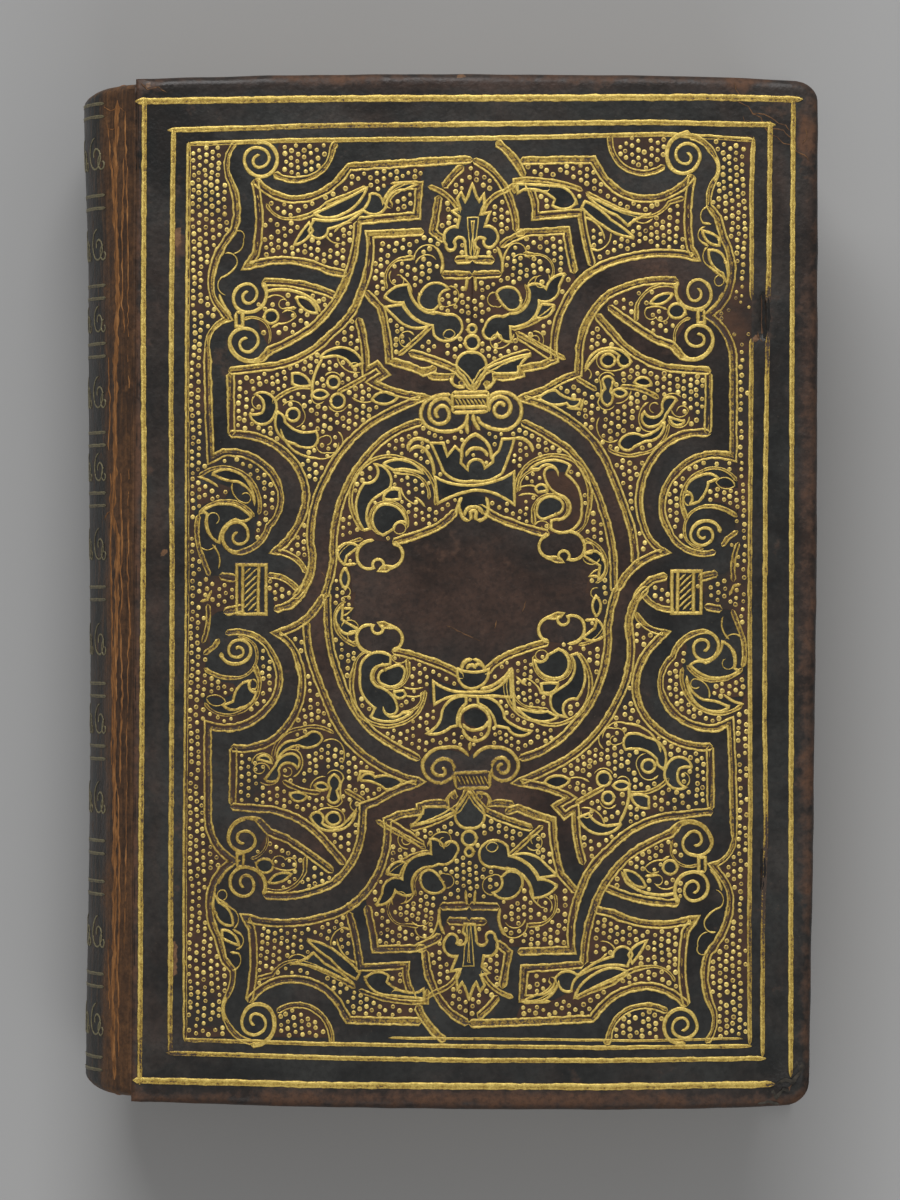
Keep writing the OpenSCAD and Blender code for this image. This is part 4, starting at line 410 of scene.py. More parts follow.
# Fine curls of that quarter
UNDER_CURLS = [
    [(-31.6, 64), (-29.4, 63.3, 1), (-28.4, 63.9), (-27.3, 62.6)],
    [(-24.4, 61.6), (-23.9, 59.7, 1), (-22.2, 58.6), (-21, 58.9)],
    [(-19.9, 64.3), (-22.4, 62.7, 1), (-23.4, 60.4)],
    [(-41.2, 66), (-39.9, 65, 1), (-40.2, 63.2), (-41.6, 63)],
    [(-40.6, 62.6), (-39.4, 61.6, 1), (-39.9, 60), (-41.2, 59.3)],
    [(-41, 59.2), (-40.2, 57.8, 1), (-41.4, 55.8), (-43.2, 54.4), (-43.8, 53.2, 1), (-42.8, 52.6),
     (-42.2, 53.6, 1), (-43, 54.4)],
    [(-43.6, 51.6), (-42.6, 49.8, 1), (-41, 48.4)],
    [(-40.5, 48.6), (-39.4, 48.6), (-39.4, 46.4), (-40.5, 46.4), (-40.5, 48.6)],
    [(-34.2, 48.6), (-32.6, 49.1, 1), (-30.6, 48.8), (-30.4, 47.6, 1), (-32.2, 47.3),
     (-34, 46.9, 1),
     (-34.2, 48.6)],
    [(-34.9, 31.7), (-36.3, 30.5, 1), (-37.8, 31.6), (-36.6, 32.4, 1), (-35.8, 31.4)],
    [(-38, 30.6), (-36, 28.7, 1), (-34.3, 30.2)],
    [(-36.6, 33.9), (-34.8, 34.5, 1), (-33.3, 33.2)],
    [(-32.7, 32.6), (-31.2, 32.2, 1), (-32, 31.2)],
    [(-31, 33), (-29.4, 30.8, 1), (-29.8, 28.6), (-31, 28, 1), (-33.2, 29.4)],
    [(-25.8, 26.6), (-24, 26.2, 1), (-22.8, 27), (-22.2, 28.6, 1), (-22.6, 30.4)],
    [(-22.5, 41.2), (-22.2, 39.4, 1), (-23.8, 38.3), (-26, 38.4, 1), (-27.6, 39.6)],
    [(-25.2, 37.4), (-24, 38, 1), (-22.5, 37), (-22.9, 35, 1), (-22.3, 33), (-23.4, 31.7, 1),
     (-25.2, 32.4)],
    [(-28, 35), (-27.4, 33.5, 1), (-25.4, 32.8)],
    [(-20.8, 36.8), (-20.8, 38.4, 1), (-19.8, 38.6)],
    [(-19.9, 33.6), (-19.4, 31.8), (-17, 32)],
    [(-13.8, 54.6), (-13.6, 52.8, 1), (-12.3, 52.4), (-11.5, 53.6, 1), (-12.6, 54.4)],
    [(-11.9, 54.3), (-10.6, 53.4, 1), (-10.1, 52)],
    [(-10, 58.4), (-9, 59.9, 1), (-7, 59.4), (-6.1, 57.4, 1), (-6, 55.2)],
    [(-10.6, 57.4), (-9, 58.1, 1), (-7.6, 57.2)],
    [(-4.7, 51.6), (-3.4, 50.2, 1), (-4.8, 49.2), (-5.9, 49.9, 1), (-4.9, 50.4)],
    [(-11.2, 45), (-13, 43.7, 1), (-12.2, 42.1)],
    [(-12.2, 43.2), (-11.6, 44.3, 1), (-11.6, 42.8)],
    [(-7.9, 44.6), (-6.6, 42.5, 1), (-4.6, 42.2), (-3.9, 43.5, 1), (-5, 44.6), (-5.9, 43.7, 1),
     (-5.1, 43)],
    [(-11.5, 11.7), (-13.2, 12.6, 1), (-14.2, 11.8), (-13.5, 11.1, 1), (-12.8, 11.8)],
    [(-12.2, 16.8), (-10.6, 17.2, 1), (-8.8, 16.9)],
    [(-11.8, 18.4), (-10.2, 18.6, 1), (-8.9, 18.2)],
    [(-19.9, 8.3), (-21.6, 8.4, 1), (-21.4, 7), (-19.8, 7)],
    [(-22.8, 6.1), (-21.2, 5, 1), (-19.9, 6.2)],
    [(-22.6, 4.2), (-21.8, 3.8, 1), (-21, 2.9), (-22.6, 2.9)],
    [(-38, 15.3), (-37.2, 16.2, 1), (-37.6, 17.2), (-38.2, 17.1)],
    [(-45.9, 18.8), (-44, 20.2, 1), (-42.6, 19.4), (-43.6, 18.4, 1), (-45.9, 18.8)],
    [(-47, 1.6), (-45.8, 1.3), (-45, -0.4)],
]

# Leaves on the strapwork's axis, head half
AXIS_LEAVES = [
    [(0.9, 35.2), (-0.7, 37.5), (-1.7, 39.6, 1), (0.8, 41.4), (3.3, 39.6, 1), (2.5, 37.5),
     (0.9, 35.2)],
    [(-0.3, 43.1), (0.9, 44.3, 1), (2.1, 43.1), (0.9, 41.9, 1), (-0.3, 43.1)],
    [(0.2, 45.4), (0.9, 46.1, 1), (1.6, 45.4), (0.9, 44.7, 1), (0.2, 45.4)],
    [(-0.1, 57.6), (-0.4, 60), (-1.4, 61.1, 1), (-2.3, 60.2), (-2.2, 59.2, 1), (-3.6, 59.8),
     (-3.8, 62, 1), (-1.7, 62.8), (-1.3, 64.6), (-2.6, 65.6), (-1.2, 66), (-1.8, 67.6),
     (-1.1, 68.6),
     (-0.4, 67.2), (0.1, 68), (0.8, 69.9), (1.5, 68), (2, 67.2), (2.8, 68.4), (2.9, 66.4),
     (2.2, 65), (3.9, 65.4), (2.9, 62.9), (5, 62, 1), (4.6, 59.8), (3.3, 59.4, 1), (3, 60.8),
     (2, 61, 1), (1.9, 59), (1.6, 57.6)],
]

# Broad lines on the axis
AXIS_STEMS = [
    [(0.9, 57.6), (0.3, 64.2), (1.5, 64.2), (0.9, 57.6)],
    [(-6.8, 69.6), (-3.6, 68.2, 1), (-1.3, 65.2)],
    [(8.3, 70), (6.4, 68.8), (3.6, 67.2, 1), (2.4, 65)],
]

# Fine lines on the axis
AXIS_CURLS = [
    [(-4.5, 54.8), (-4.3, 57.2, 1), (-5.3, 59.4)],
    [(5.9, 54.8), (5.9, 57.4, 1), (5, 59.4)],
    [(-0.2, 51.8), (0, 54.3)],
    [(1.5, 51.8), (1.3, 54.3)],
]

# Dark leaves inside the oval, above and below the cartouche, from the middle of the axis
CENTRE_LEAVES = [
    [(-7, 25.4), (-4.8, 25.4), (-4.1, 23.1), (-2.8, 24.8), (-1.7, 23.8), (-1.8, 22),
     (-0.6, 20.8), (1, 22.6, 1), (2.3, 21.1), (3.7, 22.2), (3.7, 23.1), (4.7, 24.1),
     (5.3, 26.1), (7.3, 26.2), (6.5, 23.4, 1), (5.3, 20.3), (3, 19.1, 1), (0.2, 18.9),
     (-3.1, 19.3, 1), (-4.8, 20.5), (-5.8, 23, 1), (-7, 25.4)],
    [(-6.2, 19.6), (-3.1, 18.4, 1), (-0, 18.2), (4.1, 18.9, 1), (7.3, 20.5), (7.4, 14.9),
     (4.1, 16.8, 1), (0.7, 17.4), (-2.5, 16.6, 1), (-5.7, 15), (-6.2, 19.6)],
    [(-2.1, -13.3), (-1.6, -15.7, 1), (0.4, -16.6), (2.5, -15.5, 1), (3.1, -13.3),
     (0.4, -13.8, 1), (-2.1, -13.3)],
    [(-6.3, -15.4), (-3.8, -16.8, 1), (-1, -17.2), (1.3, -17.2), (4.2, -16.7, 1), (6.8, -13.8),
     (7, -18), (4.2, -17.8), (1.1, -17.9), (-0.7, -17.8), (-3.8, -18.1, 1), (-6.1, -19.3),
     (-6.3, -15.4)],
    [(-0.7, -18), (-3.3, -18.5, 1), (-4.8, -20.6), (-5.4, -22.6, 1), (-7.4, -24.3),
     (-5.4, -24.3, 1), (-3.3, -23.2), (-2.1, -22.9), (-1.9, -20.6, 1), (-0.7, -19.1), (-0.7, -18)],
    [(1.3, -18), (4.2, -18.7, 1), (5.9, -21.6), (7.9, -23.1, 1), (10.5, -23.8), (8.9, -24.6, 1),
     (6.5, -23.3), (4.4, -22.9), (3.2, -20.3, 1), (1.4, -19.1), (1.3, -18)],
]

# Dark fields there that other lines enclose
CENTRE_FIELDS = [
    [(-0.7, 24.4), (-0.4, 25.4, 1), (0.7, 26), (1.9, 25.4, 1), (2.4, 24.4), (0.8, 25, 1),
     (-0.7, 24.4)],
    [(-1.5, 16.2), (-1.8, 14.8, 1), (-1.3, 13.6), (-0.7, 14.3, 1), (0.5, 14.7), (1.6, 14.5, 1),
     (2.1, 13.6), (2.7, 14.9, 1), (2.4, 16.2), (0.4, 16.4, 1), (-1.5, 16.2)],
    [(-1, -20.8), (0.4, -20.1, 1), (2.4, -20.8), (2.8, -22.2, 1), (0.5, -23), (-0.8, -22.3, 1),
     (-1, -20.8)],
]

# Volutes, clasp and curls above the cartouche
HEAD_CENTRE_LINES = [
    [(-3.5, 33.7), (-5.7, 33.5, 1), (-7.9, 32.4), (-8.7, 30.4, 1), (-7.7, 28.3),
     (-4.6, 27.3, 1), (-1.9, 27.9), (-1.1, 28.8, 1), (-0.7, 30)],
    [(-3.5, 31.7), (-3.9, 32.7, 1), (-5.3, 33), (-6.7, 32.2, 1), (-7.3, 30.4), (-6.7, 29.1, 1),
     (-5.1, 28.7), (-3.9, 29.6, 1), (-4.1, 31.1), (-4.8, 31.7, 1), (-5.9, 31.2),
     (-6.1, 30.3, 1), (-5.5, 29.8)],
    [(2.9, 32.9), (3.8, 33.8, 1), (5.6, 34.1), (7.5, 33.3, 1), (8.5, 31.5), (8.2, 29.4, 1),
     (6.3, 27.8), (3.2, 28, 1), (1.4, 29), (0.9, 30)],
    [(3.1, 30.8), (3.1, 32.2, 1), (4, 33.2), (5.7, 33.2, 1), (6.6, 31.9), (6.2, 30.4, 1),
     (4.9, 29.9), (3.9, 30.8, 1), (4.3, 31.9), (5.2, 32.2, 1), (5.6, 31.6)],
    [(-3.3, 34), (2.9, 34.2)],
    [(2.9, 34.2), (2.8, 30.8)],
    [(2.8, 30.8), (-3.2, 30.6)],
    [(-3.2, 30.6), (-3.3, 34)],
    [(-3.2, 33.3), (2.9, 33.5)],
    [(-3.2, 31.5), (2.8, 31.6)],
    [(-0.6, 30.5), (-0.8, 28.4, 1), (-0.6, 26.9)],
    [(0.3, 30.5), (0.7, 28.6, 1), (1.5, 27.6)],
    [(-1.5, 22.6), (-1.4, 25, 1), (0.7, 26.9), (2.8, 25.2, 1), (3.4, 22.6)],
    [(-0.9, 23.1), (-0.6, 23.9, 1), (0.9, 24.5), (2.3, 24, 1), (2.8, 23.1)],
    [(-10.8, 24), (-10.3, 25.6, 1), (-8.7, 26.1), (-7.7, 25.8, 1), (-7, 25.4)],
    [(-10.6, 23.8), (-9.1, 24.8, 1), (-7.8, 24.2), (-6.7, 22.1, 1), (-6.4, 19.7)],
    [(7.3, 26.2), (9.2, 26, 1), (10.5, 23.9)],
    [(-1.7, 16.2), (-2.1, 14.8, 1), (-1.7, 13.3), (-1, 12.3, 1), (-0.2, 12.1)],
    [(-0.2, 12.1), (-0, 12.9, 1), (-0.1, 13.3), (0.4, 13.9, 1), (0.9, 13.3), (0.8, 12.7, 1),
     (1, 12.2)],
    [(1, 12.2), (2.2, 12.5, 1), (2.9, 13.7), (2.9, 14.9, 1), (2.5, 16.2)],
    [(-1, 12.9), (-0.7, 14.1, 1), (0.5, 14.5), (1.6, 14.2, 1), (1.9, 13.2)],
    [(-2.6, 13.3), (-2.2, 14.8, 1), (-1.5, 16.1)],
]

# Volutes, clasp and curls below the cartouche
TAIL_CENTRE_LINES = [
    [(-1.5, -13.4), (-0.8, -11.9, 1), (0.4, -11.6)],
    [(0.4, -11.6), (1.6, -12, 1), (2.4, -13.4)],
    [(-0.6, -13.3), (0.1, -12.6, 1), (0.9, -13.2)],
    [(0.9, -13), (1.6, -12.4, 1), (2.1, -13)],
    [(-1.3, -23.4), (-1.8, -21.4, 1), (-0.5, -19.9), (0.4, -19.5, 1), (1.8, -19.8),
     (3.1, -21, 1), (3.3, -23.2), (2.6, -24.8, 1), (0.9, -25.6), (-0.5, -24.9, 1), (-1.3, -23.4)],
    [(-1.3, -22.6), (-0.3, -23.5, 1), (1.4, -23.6), (2.7, -22.9, 1), (3.2, -21.9)],
    [(0.1, -25.7), (-0.1, -27.2)],
    [(-0.2, -28.2), (-1.4, -27, 1), (-4.2, -26.7), (-6.8, -27.5, 1), (-8.1, -29.4),
     (-7.5, -31.5, 1), (-5.1, -32.8), (-3.3, -32, 1), (-2.4, -30.8)],
    [(-2.7, -30.8), (-2.9, -29.4, 1), (-4.2, -28.6), (-5.7, -29, 1), (-6.4, -30.1),
     (-5.9, -31.3, 1), (-4.8, -31.5), (-4.2, -30.7, 1), (-4.8, -30.2)],
    [(0.6, -28.5), (1.8, -27.1, 1), (4.2, -26.6), (6.8, -27.2, 1), (8.2, -28.9),
     (7.8, -31.2, 1), (5.9, -32.3), (4.2, -31.7, 1), (3.8, -30.1)],
    [(3.8, -30.1), (4.2, -28.9, 1), (5.4, -28.4), (6.5, -29.1, 1), (6.6, -30.3), (5.7, -31, 1),
     (4.9, -30.5), (5, -29.7, 1), (5.7, -29.6)],
    [(-2.8, -31.1), (3.4, -30.8)],
    [(3.4, -30.8), (3.4, -33.5)],
    [(3.4, -33.5), (-2.2, -33.7)],
    [(-2.2, -33.7), (-2.8, -31.1)],
    [(1.7, -16.7), (4.6, -15.6, 1), (7.1, -12.9)],
    [(7.1, -12.9), (7.3, -16.7), (7.6, -20.5)],
]

# Hatches of the two clasps
CLASP_HATCHES = [
    [(-2.9, 33), (-2.1, 31.8)],
    [(-2.3, 33), (-1.4, 31.8)],
    [(-1.6, 33), (-0.8, 31.8)],
    [(-0.9, 33), (-0.1, 31.8)],
    [(-0.3, 33), (0.6, 31.8)],
    [(0.4, 33), (1.2, 31.8)],
    [(1, 33), (1.9, 31.8)],
    [(1.7, 33), (2.5, 31.8)],
    [(-2.2, -31.5), (-1.4, -33)],
    [(-1.5, -31.5), (-0.7, -33)],
    [(-0.8, -31.5), (-0.1, -33)],
    [(-0.2, -31.5), (0.6, -33)],
    [(0.5, -31.5), (1.2, -33)],
    [(1.1, -31.5), (1.9, -33)],
    [(1.8, -31.5), (2.5, -33)],
    [(2.4, -31.5), (3.2, -33)],
]


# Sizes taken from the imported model, in millimetres
def mm_box(node):
    low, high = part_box(node)
    return np.array(low) / MM, np.array(high) / MM


COVER_LOW, COVER_HIGH = mm_box("front_leather")
BACK_HIGH = mm_box("back_leather")[1]
SPINE_LOW, SPINE_HIGH = mm_box("spine_leather")
PAGES_LOW, PAGES_HIGH = mm_box("pages")

TOP = COVER_HIGH[2]
BOARD_LEFT = COVER_LOW[0]
RIGHT = COVER_HIGH[0]
HALF_HEIGHT = BACK_HIGH[1]
# The height that all places on the covers were drawn for
DRAWN_HEIGHT = 175
MIDDLE_Z = TOP / 2
SPINE_LEFT = SPINE_LOW[0]

# The tooled frame on the cover: its middle and the half sizes of its three lines
FRAME_X = BOARD_LEFT + 57
OUTER_HALF = (55.5, 84.2)
MIDDLE_HALF = (50.7, 79.4)
INNER_HALF = (48.5, 77.2)
# How far from there the axis of the strapwork stands, and each kind of quarter from it
DRAWN_AXIS = 0.7
OVER_SHIFT = -0.65
UNDER_SHIFT = 0.75
AXIS_SHIFT = -0.85

# The round of the spine
SPINE_DEPTH = SPINE_HIGH[0] - SPINE_LEFT
SPINE_HALF = (SPINE_HIGH[2] - SPINE_LOW[2]) / 2
SPINE_RADIUS = (SPINE_HALF**2 + SPINE_DEPTH**2) / (2 * SPINE_DEPTH)
SPINE_CENTRE = SPINE_LEFT + SPINE_RADIUS


# Curves
# Radius noted for points on a straight line
STRAIGHT = 50.0
# An arc with less bend than this, in mm, is drawn as two straight lines
LEAST_BEND = 0.02
# Largest turn between two points of an arc, in radians
ARC_STEP = 0.35
# Least cosine that a mitre at a corner is reckoned with
LEAST_MITRE = 0.6


def arc_through(a, m, b, spacing):
    """Points after a along the arc from a through m to b, and the arc's radius."""
    a, m, b = (np.array(p[:2], float) for p in (a, m, b))
    bend = (m[0] - a[0]) * (b[1] - m[1]) - (m[1] - a[1]) * (b[0] - m[0])
    if abs(bend) < LEAST_BEND * np.linalg.norm(b - a):
        return [*straight(a, m, spacing), *straight(m, b, spacing)], STRAIGHT
    d = 2 * (a[0] * (m[1] - b[1]) + m[0] * (b[1] - a[1]) + b[0] * (a[1] - m[1]))
    aa, mm, bb = a @ a, m @ m, b @ b
    centre = np.array([
        (aa * (m[1] - b[1]) + mm * (b[1] - a[1]) + bb * (a[1] - m[1])) / d,
        (aa * (b[0] - m[0]) + mm * (a[0] - b[0]) + bb * (m[0] - a[0])) / d,
    ])
    u, v = a - m, b - m
    at_m = math.acos(np.clip(u @ v / (np.linalg.norm(u) * np.linalg.norm(v)), -1, 1))
    sweep = math.copysign(2 * math.pi - 2 * at_m, bend)
    radius = np.linalg.norm(a - centre)
    count = max(2, math.ceil(abs(sweep) * radius / spacing),
                math.ceil(abs(sweep) / ARC_STEP))
    angles = sweep * np.arange(1, count + 1) / count
    x, y = a - centre
    turned = np.stack([x * np.cos(angles) - y * np.sin(angles),
                       x * np.sin(angles) + y * np.cos(angles)], 1)
    return list(turned + centre), radius


def straight(a, b, spacing):
    """Points after a along the straight line to b."""
    a, b = np.array(a[:2], float), np.array(b[:2], float)
    count = max(1, math.ceil(np.linalg.norm(b - a) / spacing))
    return [a + (b - a) * i / count for i in range(1, count + 1)]


def trace(path, spacing=0.5):
    """The path as an array of x, y and local radius."""
    out = [(*path[0][:2], STRAIGHT)]
    for i in range(1, len(path)):
        if len(path[i]) == 3:
            continue
        if len(path[i - 1]) == 3:
            points, radius = arc_through(path[i - 2], path[i - 1], path[i], spacing)
        else:
            points, radius = straight(path[i - 1], path[i], spacing), STRAIGHT
        out += [(p[0], p[1], radius) for p in points]
    return np.array(out)


def traced_loop(path):
    """The path traced back to its first point."""
    return trace([*path, path[0]])


def normals(points, closed):
    """Unit normals of a polyline, lengthened at its corners as a mitre is."""
    if closed:
        before, after = np.roll(points, 1, 0), np.roll(points, -1, 0)
    else:
        before = np.vstack([2 * points[0] - points[1], points[:-1]])
        after = np.vstack([points[1:], 2 * points[-1] - points[-2]])
    back = points - before
    ahead = after - points
    back /= np.maximum(np.linalg.norm(back, axis=1, keepdims=True), 1e-6)
    ahead /= np.maximum(np.linalg.norm(ahead, axis=1, keepdims=True), 1e-6)
    along = back + ahead
    along /= np.maximum(np.linalg.norm(along, axis=1, keepdims=True), 1e-6)
    mitre = np.maximum((along * ahead).sum(1, keepdims=True), LEAST_MITRE)
    return np.stack([-along[:, 1], along[:, 0]], 1) / mitre


def smoothstep(low, high, value):
    """A soft step from 0 at low to 1 at high."""
    t = np.clip((value - low) / (high - low), 0, 1)
    return t * t * (3 - 2 * t)


def rough(points, size, seed=0.0):
    """Smooth noise from -1 to 1 at each point, with features of about the given size."""
    points = np.asarray(points, float)
    if points.shape[1] == 2:
        points = np.column_stack([points, np.zeros(len(points))])
    return np.array([noise.noise(Vector(p / size) + Vector((seed, seed * 0.7, -seed)))
                     for p in points])


# Lifts of the tooling at places on the cover, in mm: a row for each y, a lift for each x
SETTLED_X = [-38, -16, 5, 27, 38]
SETTLED_Y = [-77, -69, -58, -47, -35, -24, -13, -2, 10, 21, 32, 43, 55, 66, 77]
SETTLED_BY = [
    [0.3, -0.2, -0.3, -0.5, 0.1],
    [0.9, 0.5, 0.3, 0.1, 0.2],
    [1.4, 1.0, 0.65, 0.45, 0.4],
    [1.35, 1.0, 0.8, 0.75, 0.8],
    [1.3, 1.0, 1.1, 1.2, 1.1],
    [0.6, 0.75, 0.85, 0.9, 1.1],
    [0.1, 0.3, 0.4, 0.6, 0.8],
    [-0.3, -0.1, 0, 0, 0],
    [-0.6, -0.5, -0.5, -0.45, -0.35],
    [-0.65, -0.45, -0.4, -0.5, -0.5],
    [-0.8, -0.5, -0.5, -0.45, -0.5],
    [-1.0, -0.6, -0.5, -0.3, -0.3],
    [-0.85, -0.6, -0.35, -0.15, -0.1],
    [-0.6, -0.7, -0.5, -0.1, 0.1],
    [-0.5, 0, 0.3, 0.8, 0.5],
]


# Placing what is drawn for the upper left quarter of the strapwork
def in_quarter(points, over, half):
    """Quarter points in the frame of the book: the quarters of one kind lie opposite."""
    x = points[:, 0] + (OVER_SHIFT if over else UNDER_SHIFT)
    y = points[:, 1]
    if not over:
        x = -x
    if half:
        x, y = -x, -y
    return settled(np.column_stack([x + DRAWN_AXIS + FRAME_X, y]))


def on_axis(points, half):
    """Points drawn round the strapwork's axis in the frame of the book."""
    x, y = points[:, 0] + AXIS_SHIFT, points[:, 1]
    if half:
        x, y = -x, -y
    return settled(np.column_stack([x + DRAWN_AXIS + FRAME_X, y]))


def settled(points):
    """Moves the tooling up or down a little, as the hand of the tooler did."""
    x = np.clip(points[:, 0] - FRAME_X, SETTLED_X[0], SETTLED_X[-1])
    y = np.clip(points[:, 1], SETTLED_Y[0], SETTLED_Y[-1])
    columns = np.array([np.interp(y, SETTLED_Y, column) for column in zip(*SETTLED_BY)])
    at = np.clip(np.searchsorted(SETTLED_X, x) - 1, 0, len(SETTLED_X) - 2)
    share = smoothstep(np.array(SETTLED_X)[at], np.array(SETTLED_X)[at + 1], x)
    index = np.arange(len(x))
    lift = columns[at, index] * (1 - share) + columns[at + 1, index] * share
    return np.column_stack([points[:, 0], points[:, 1] + lift])


# Meshes
class Pile:
    """Collects the points and faces of one piece, with a tone at each point."""

    def __init__(self):
        self.points = []
        self.faces = []
        self.tones = []
        self.count = 0

    def add(self, points, faces, tone):
        points = np.asarray(points, float)
        self.points.append(points)
        self.faces += [tuple(i + self.count for i in f) for f in faces]
        self.tones.append(np.broadcast_to(np.asarray(tone, float), len(points)))
        self.count += len(points)

    def make(self, name, body, material, smooth=True, slot=None, **attributes):
        return piece(name, body, material, np.concatenate(self.points), self.faces, smooth,
                     slot, tone=np.concatenate(self.tones), **attributes)


def piece(name, body, material, points, faces, smooth=True, slot=None, **attributes):
    """A mesh object from points in millimetres, riding on a body if one is named."""
    mesh = bpy.data.meshes.new(name)
    mesh.from_pydata((np.asarray(points) * MM).tolist(), [], faces)
    for key, values in attributes.items():
        layer = mesh.attributes.new(key, "FLOAT", "POINT")
        layer.data.foreach_set("value", np.asarray(values, np.float32))
    mesh.validate()
    mesh.polygons.foreach_set("use_smooth", [smooth] * len(mesh.polygons))
    mesh.materials.append(material)
    obj = bpy.data.objects.new(name, mesh)
    bpy.context.scene.collection.objects.link(obj)
    if body:
        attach(obj, body)
    return obj


def grid_faces(rows, columns, closed=False):
    """Quads between rows of points; closed joins each row's end to its start."""
    span = columns if closed else columns - 1
    return [
        (r * columns + c, r * columns + (c + 1) % columns,
         (r + 1) * columns + (c + 1) % columns, (r + 1) * columns + c)
        for r in range(rows - 1) for c in range(span)
    ]


def turned_over(faces):
    return [tuple(reversed(f)) for f in faces]


def rim_of(rows, columns):
    """Numbers of the points round a grid, from the first point along its first row."""
    last = (rows - 1) * columns
    return ([*range(columns)] + [r * columns + columns - 1 for r in range(1, rows)]
            + [last + c for c in range(columns - 2, -1, -1)]
            + [r * columns for r in range(rows - 2, 0, -1)])


def flat_tree(places):
    """A tree that finds the nearest of many flat places."""
    tree = KDTree(len(places))
    for i, place in enumerate(places):
        tree.insert((place[0], place[1], 0), i)
    tree.balance()
    return tree


# Profiles across a tooled line: share of the half width, height in mm, and tone
STRAP_PROFILE = [(-1, 0.01, 0.05), (-0.85, 0.13, 0.92), (-0.62, 0.11, 0.88), (-0.42, 0.03, 0.2),
                 (-0.15, 0.045, 0.32), (0.15, 0.05, 0.38), (0.4, 0.03, 0.2),
                 (0.62, 0.12, 0.92), (0.85, 0.14, 1), (1, 0.01, 0.05)]
# The same where a strap line curls tightly: one broad ridge, point for point beside the other
TIGHT_PROFILE = [(-1, 0.01, 0.1), (-0.85, 0.08, 0.65), (-0.62, 0.12, 0.95), (-0.42, 0.14, 1),
                 (-0.15, 0.13, 0.95), (0.15, 0.13, 0.95), (0.4, 0.14, 1), (0.62, 0.12, 0.95),
                 (0.85, 0.08, 0.65), (1, 0.01, 0.1)]
STEM_PROFILE = [(-1, 0.01, 0.1), (-0.75, 0.13, 0.95), (-0.36, 0.06, 0.5), (0, 0.045, 0.32),
                (0.36, 0.06, 0.5), (0.75, 0.14, 1), (1, 0.01, 0.1)]
CURL_PROFILE = [(-1, 0.01, 0.1), (-0.6, 0.1, 0.75), (0, 0.14, 1), (0.6, 0.11, 0.85),
                (1, 0.01, 0.1)]
FRAME_PROFILE = [(-1, 0.01, 0.1), (-0.8, 0.09, 0.8), (-0.5, 0.05, 0.5), (-0.1, 0.05, 0.5),
                 (0.3, 0.08, 0.85), (0.75, 0.13, 1), (1, 0.01, 0.15)]

# Places where the gold is worn thin: x and y from the middle of the frame, half sizes and
# strength
FADED = [
    (46.6, 47.4, 3.4, 4.0, 1.1), (51, 47.6, 0.9, 4.6, 1.1), (51, -47.5, 0.9, 8.5, 1.0),
    (51, 39.8, 1.0, 3.0, 0.45), (43.6, -40.6, 2.0, 3.4, 0.6), (54.0, 82.5, 2.6, 3.0, 0.5),
    (54.8, -84.0, 3.0, 2.0, 0.9),
    (-38, -48, 16, 28, 0.3), (-42, 5, 8, 25, 0.3), (0, -31, 9, 6, 0.45),
    (0, -52, 12, 14, 0.22), (-15, -62, 18, 14, 0.18), (-30, -30, 14, 10, 0.18),
    (40, -38, 6, 10, 0.15), (49, -60, 3, 14, 0.3), (44, 0, 6, 8, 0.2), (-50, -78, 8, 5, 0.35),
    (-20, 79, 14, 1.2, 0.35), (47, 20, 2, 20, 0.2),
]


def spots(points, places):
    """Sum of soft spots at places measured from the middle of the frame."""
    out = np.zeros(len(points))
    for x, y, rx, ry, strength in places:
        away = ((points[:, 0] - FRAME_X - x) / rx) ** 2 + ((points[:, 1] - y) / ry) ** 2
        out += strength * np.exp(-away)
    return out


def tooled_line(pile, points, half_width, profile, closed=False, taper=0.0, seed=0.0,
                base=None, surface=None, worn=False, tight=0.0):
    """Lays one tooled line along the points: a ribbon with the profile as its section. Where
    tight is 1 the section is the one of a tight curl. The line thins out over taper mm at
    both ends."""
    flat = points[:, :2].copy()
    if closed and np.linalg.norm(flat[0] - flat[-1]) < 0.05:
        flat = flat[:-1]
    across = normals(flat, closed)
    wander = rough(flat, 2.2, seed)
    swell = rough(flat, 1.1, seed + 9)
    width = np.broadcast_to(half_width, len(points))[:len(flat)] * (1 + 0.18 * swell)
    width = width * (1 + 0.16 * rough(flat, 0.4, seed + 2))
    tight = np.broadcast_to(tight, len(points))[:len(flat)]
    if taper and not closed:
        steps = np.linalg.norm(np.diff(flat, axis=0), axis=1)
        run = np.concatenate([[0], np.cumsum(steps)])
        width = width * np.clip(np.minimum(run, run[-1] - run) / taper + 0.15, 0, 1)
    flat += across * (0.07 * wander)[:, None]
    lift = 1 + 0.3 * rough(flat, 0.7, seed + 4)
    thin = spots(flat, FADED) if surface is None or worn else 0
    lift = lift * (1 - 0.6 * np.clip(thin, 0, 1))
    rows = []
    tones = []
    for k, (share, height, tone) in enumerate(profile):
        if tight.any():
            height = height + (TIGHT_PROFILE[k][1] - height) * tight
            tone = tone + (TIGHT_PROFILE[k][2] - tone) * tight
        side = flat + across * (share * width)[:, None]
        rows.append(surface(side, height * lift) if surface else
                    np.column_stack([side, np.full(len(side), base) + height * lift]))
        ragged = 0.28 * rough(side, 0.4, seed + share)
        tones.append(tone + ragged - thin)
    rings = np.array(rows)
    count, length = rings.shape[:2]
    faces = grid_faces(count, length, closed)
    pile.add(rings.reshape(-1, 3), faces, np.concatenate(tones))


# A line's share of its full width by its radius in mm, the least share, and the number of
# points that the width is evened out over
WIDTH_AT_NOUGHT = 0.2
WIDTH_PER_MM = 0.09
LEAST_WIDTH = 0.36
EVENED_OVER = 5
# Radii between which a strap line turns from the tight profile to its own
TIGHT_RADII = (3.0, 5.5)


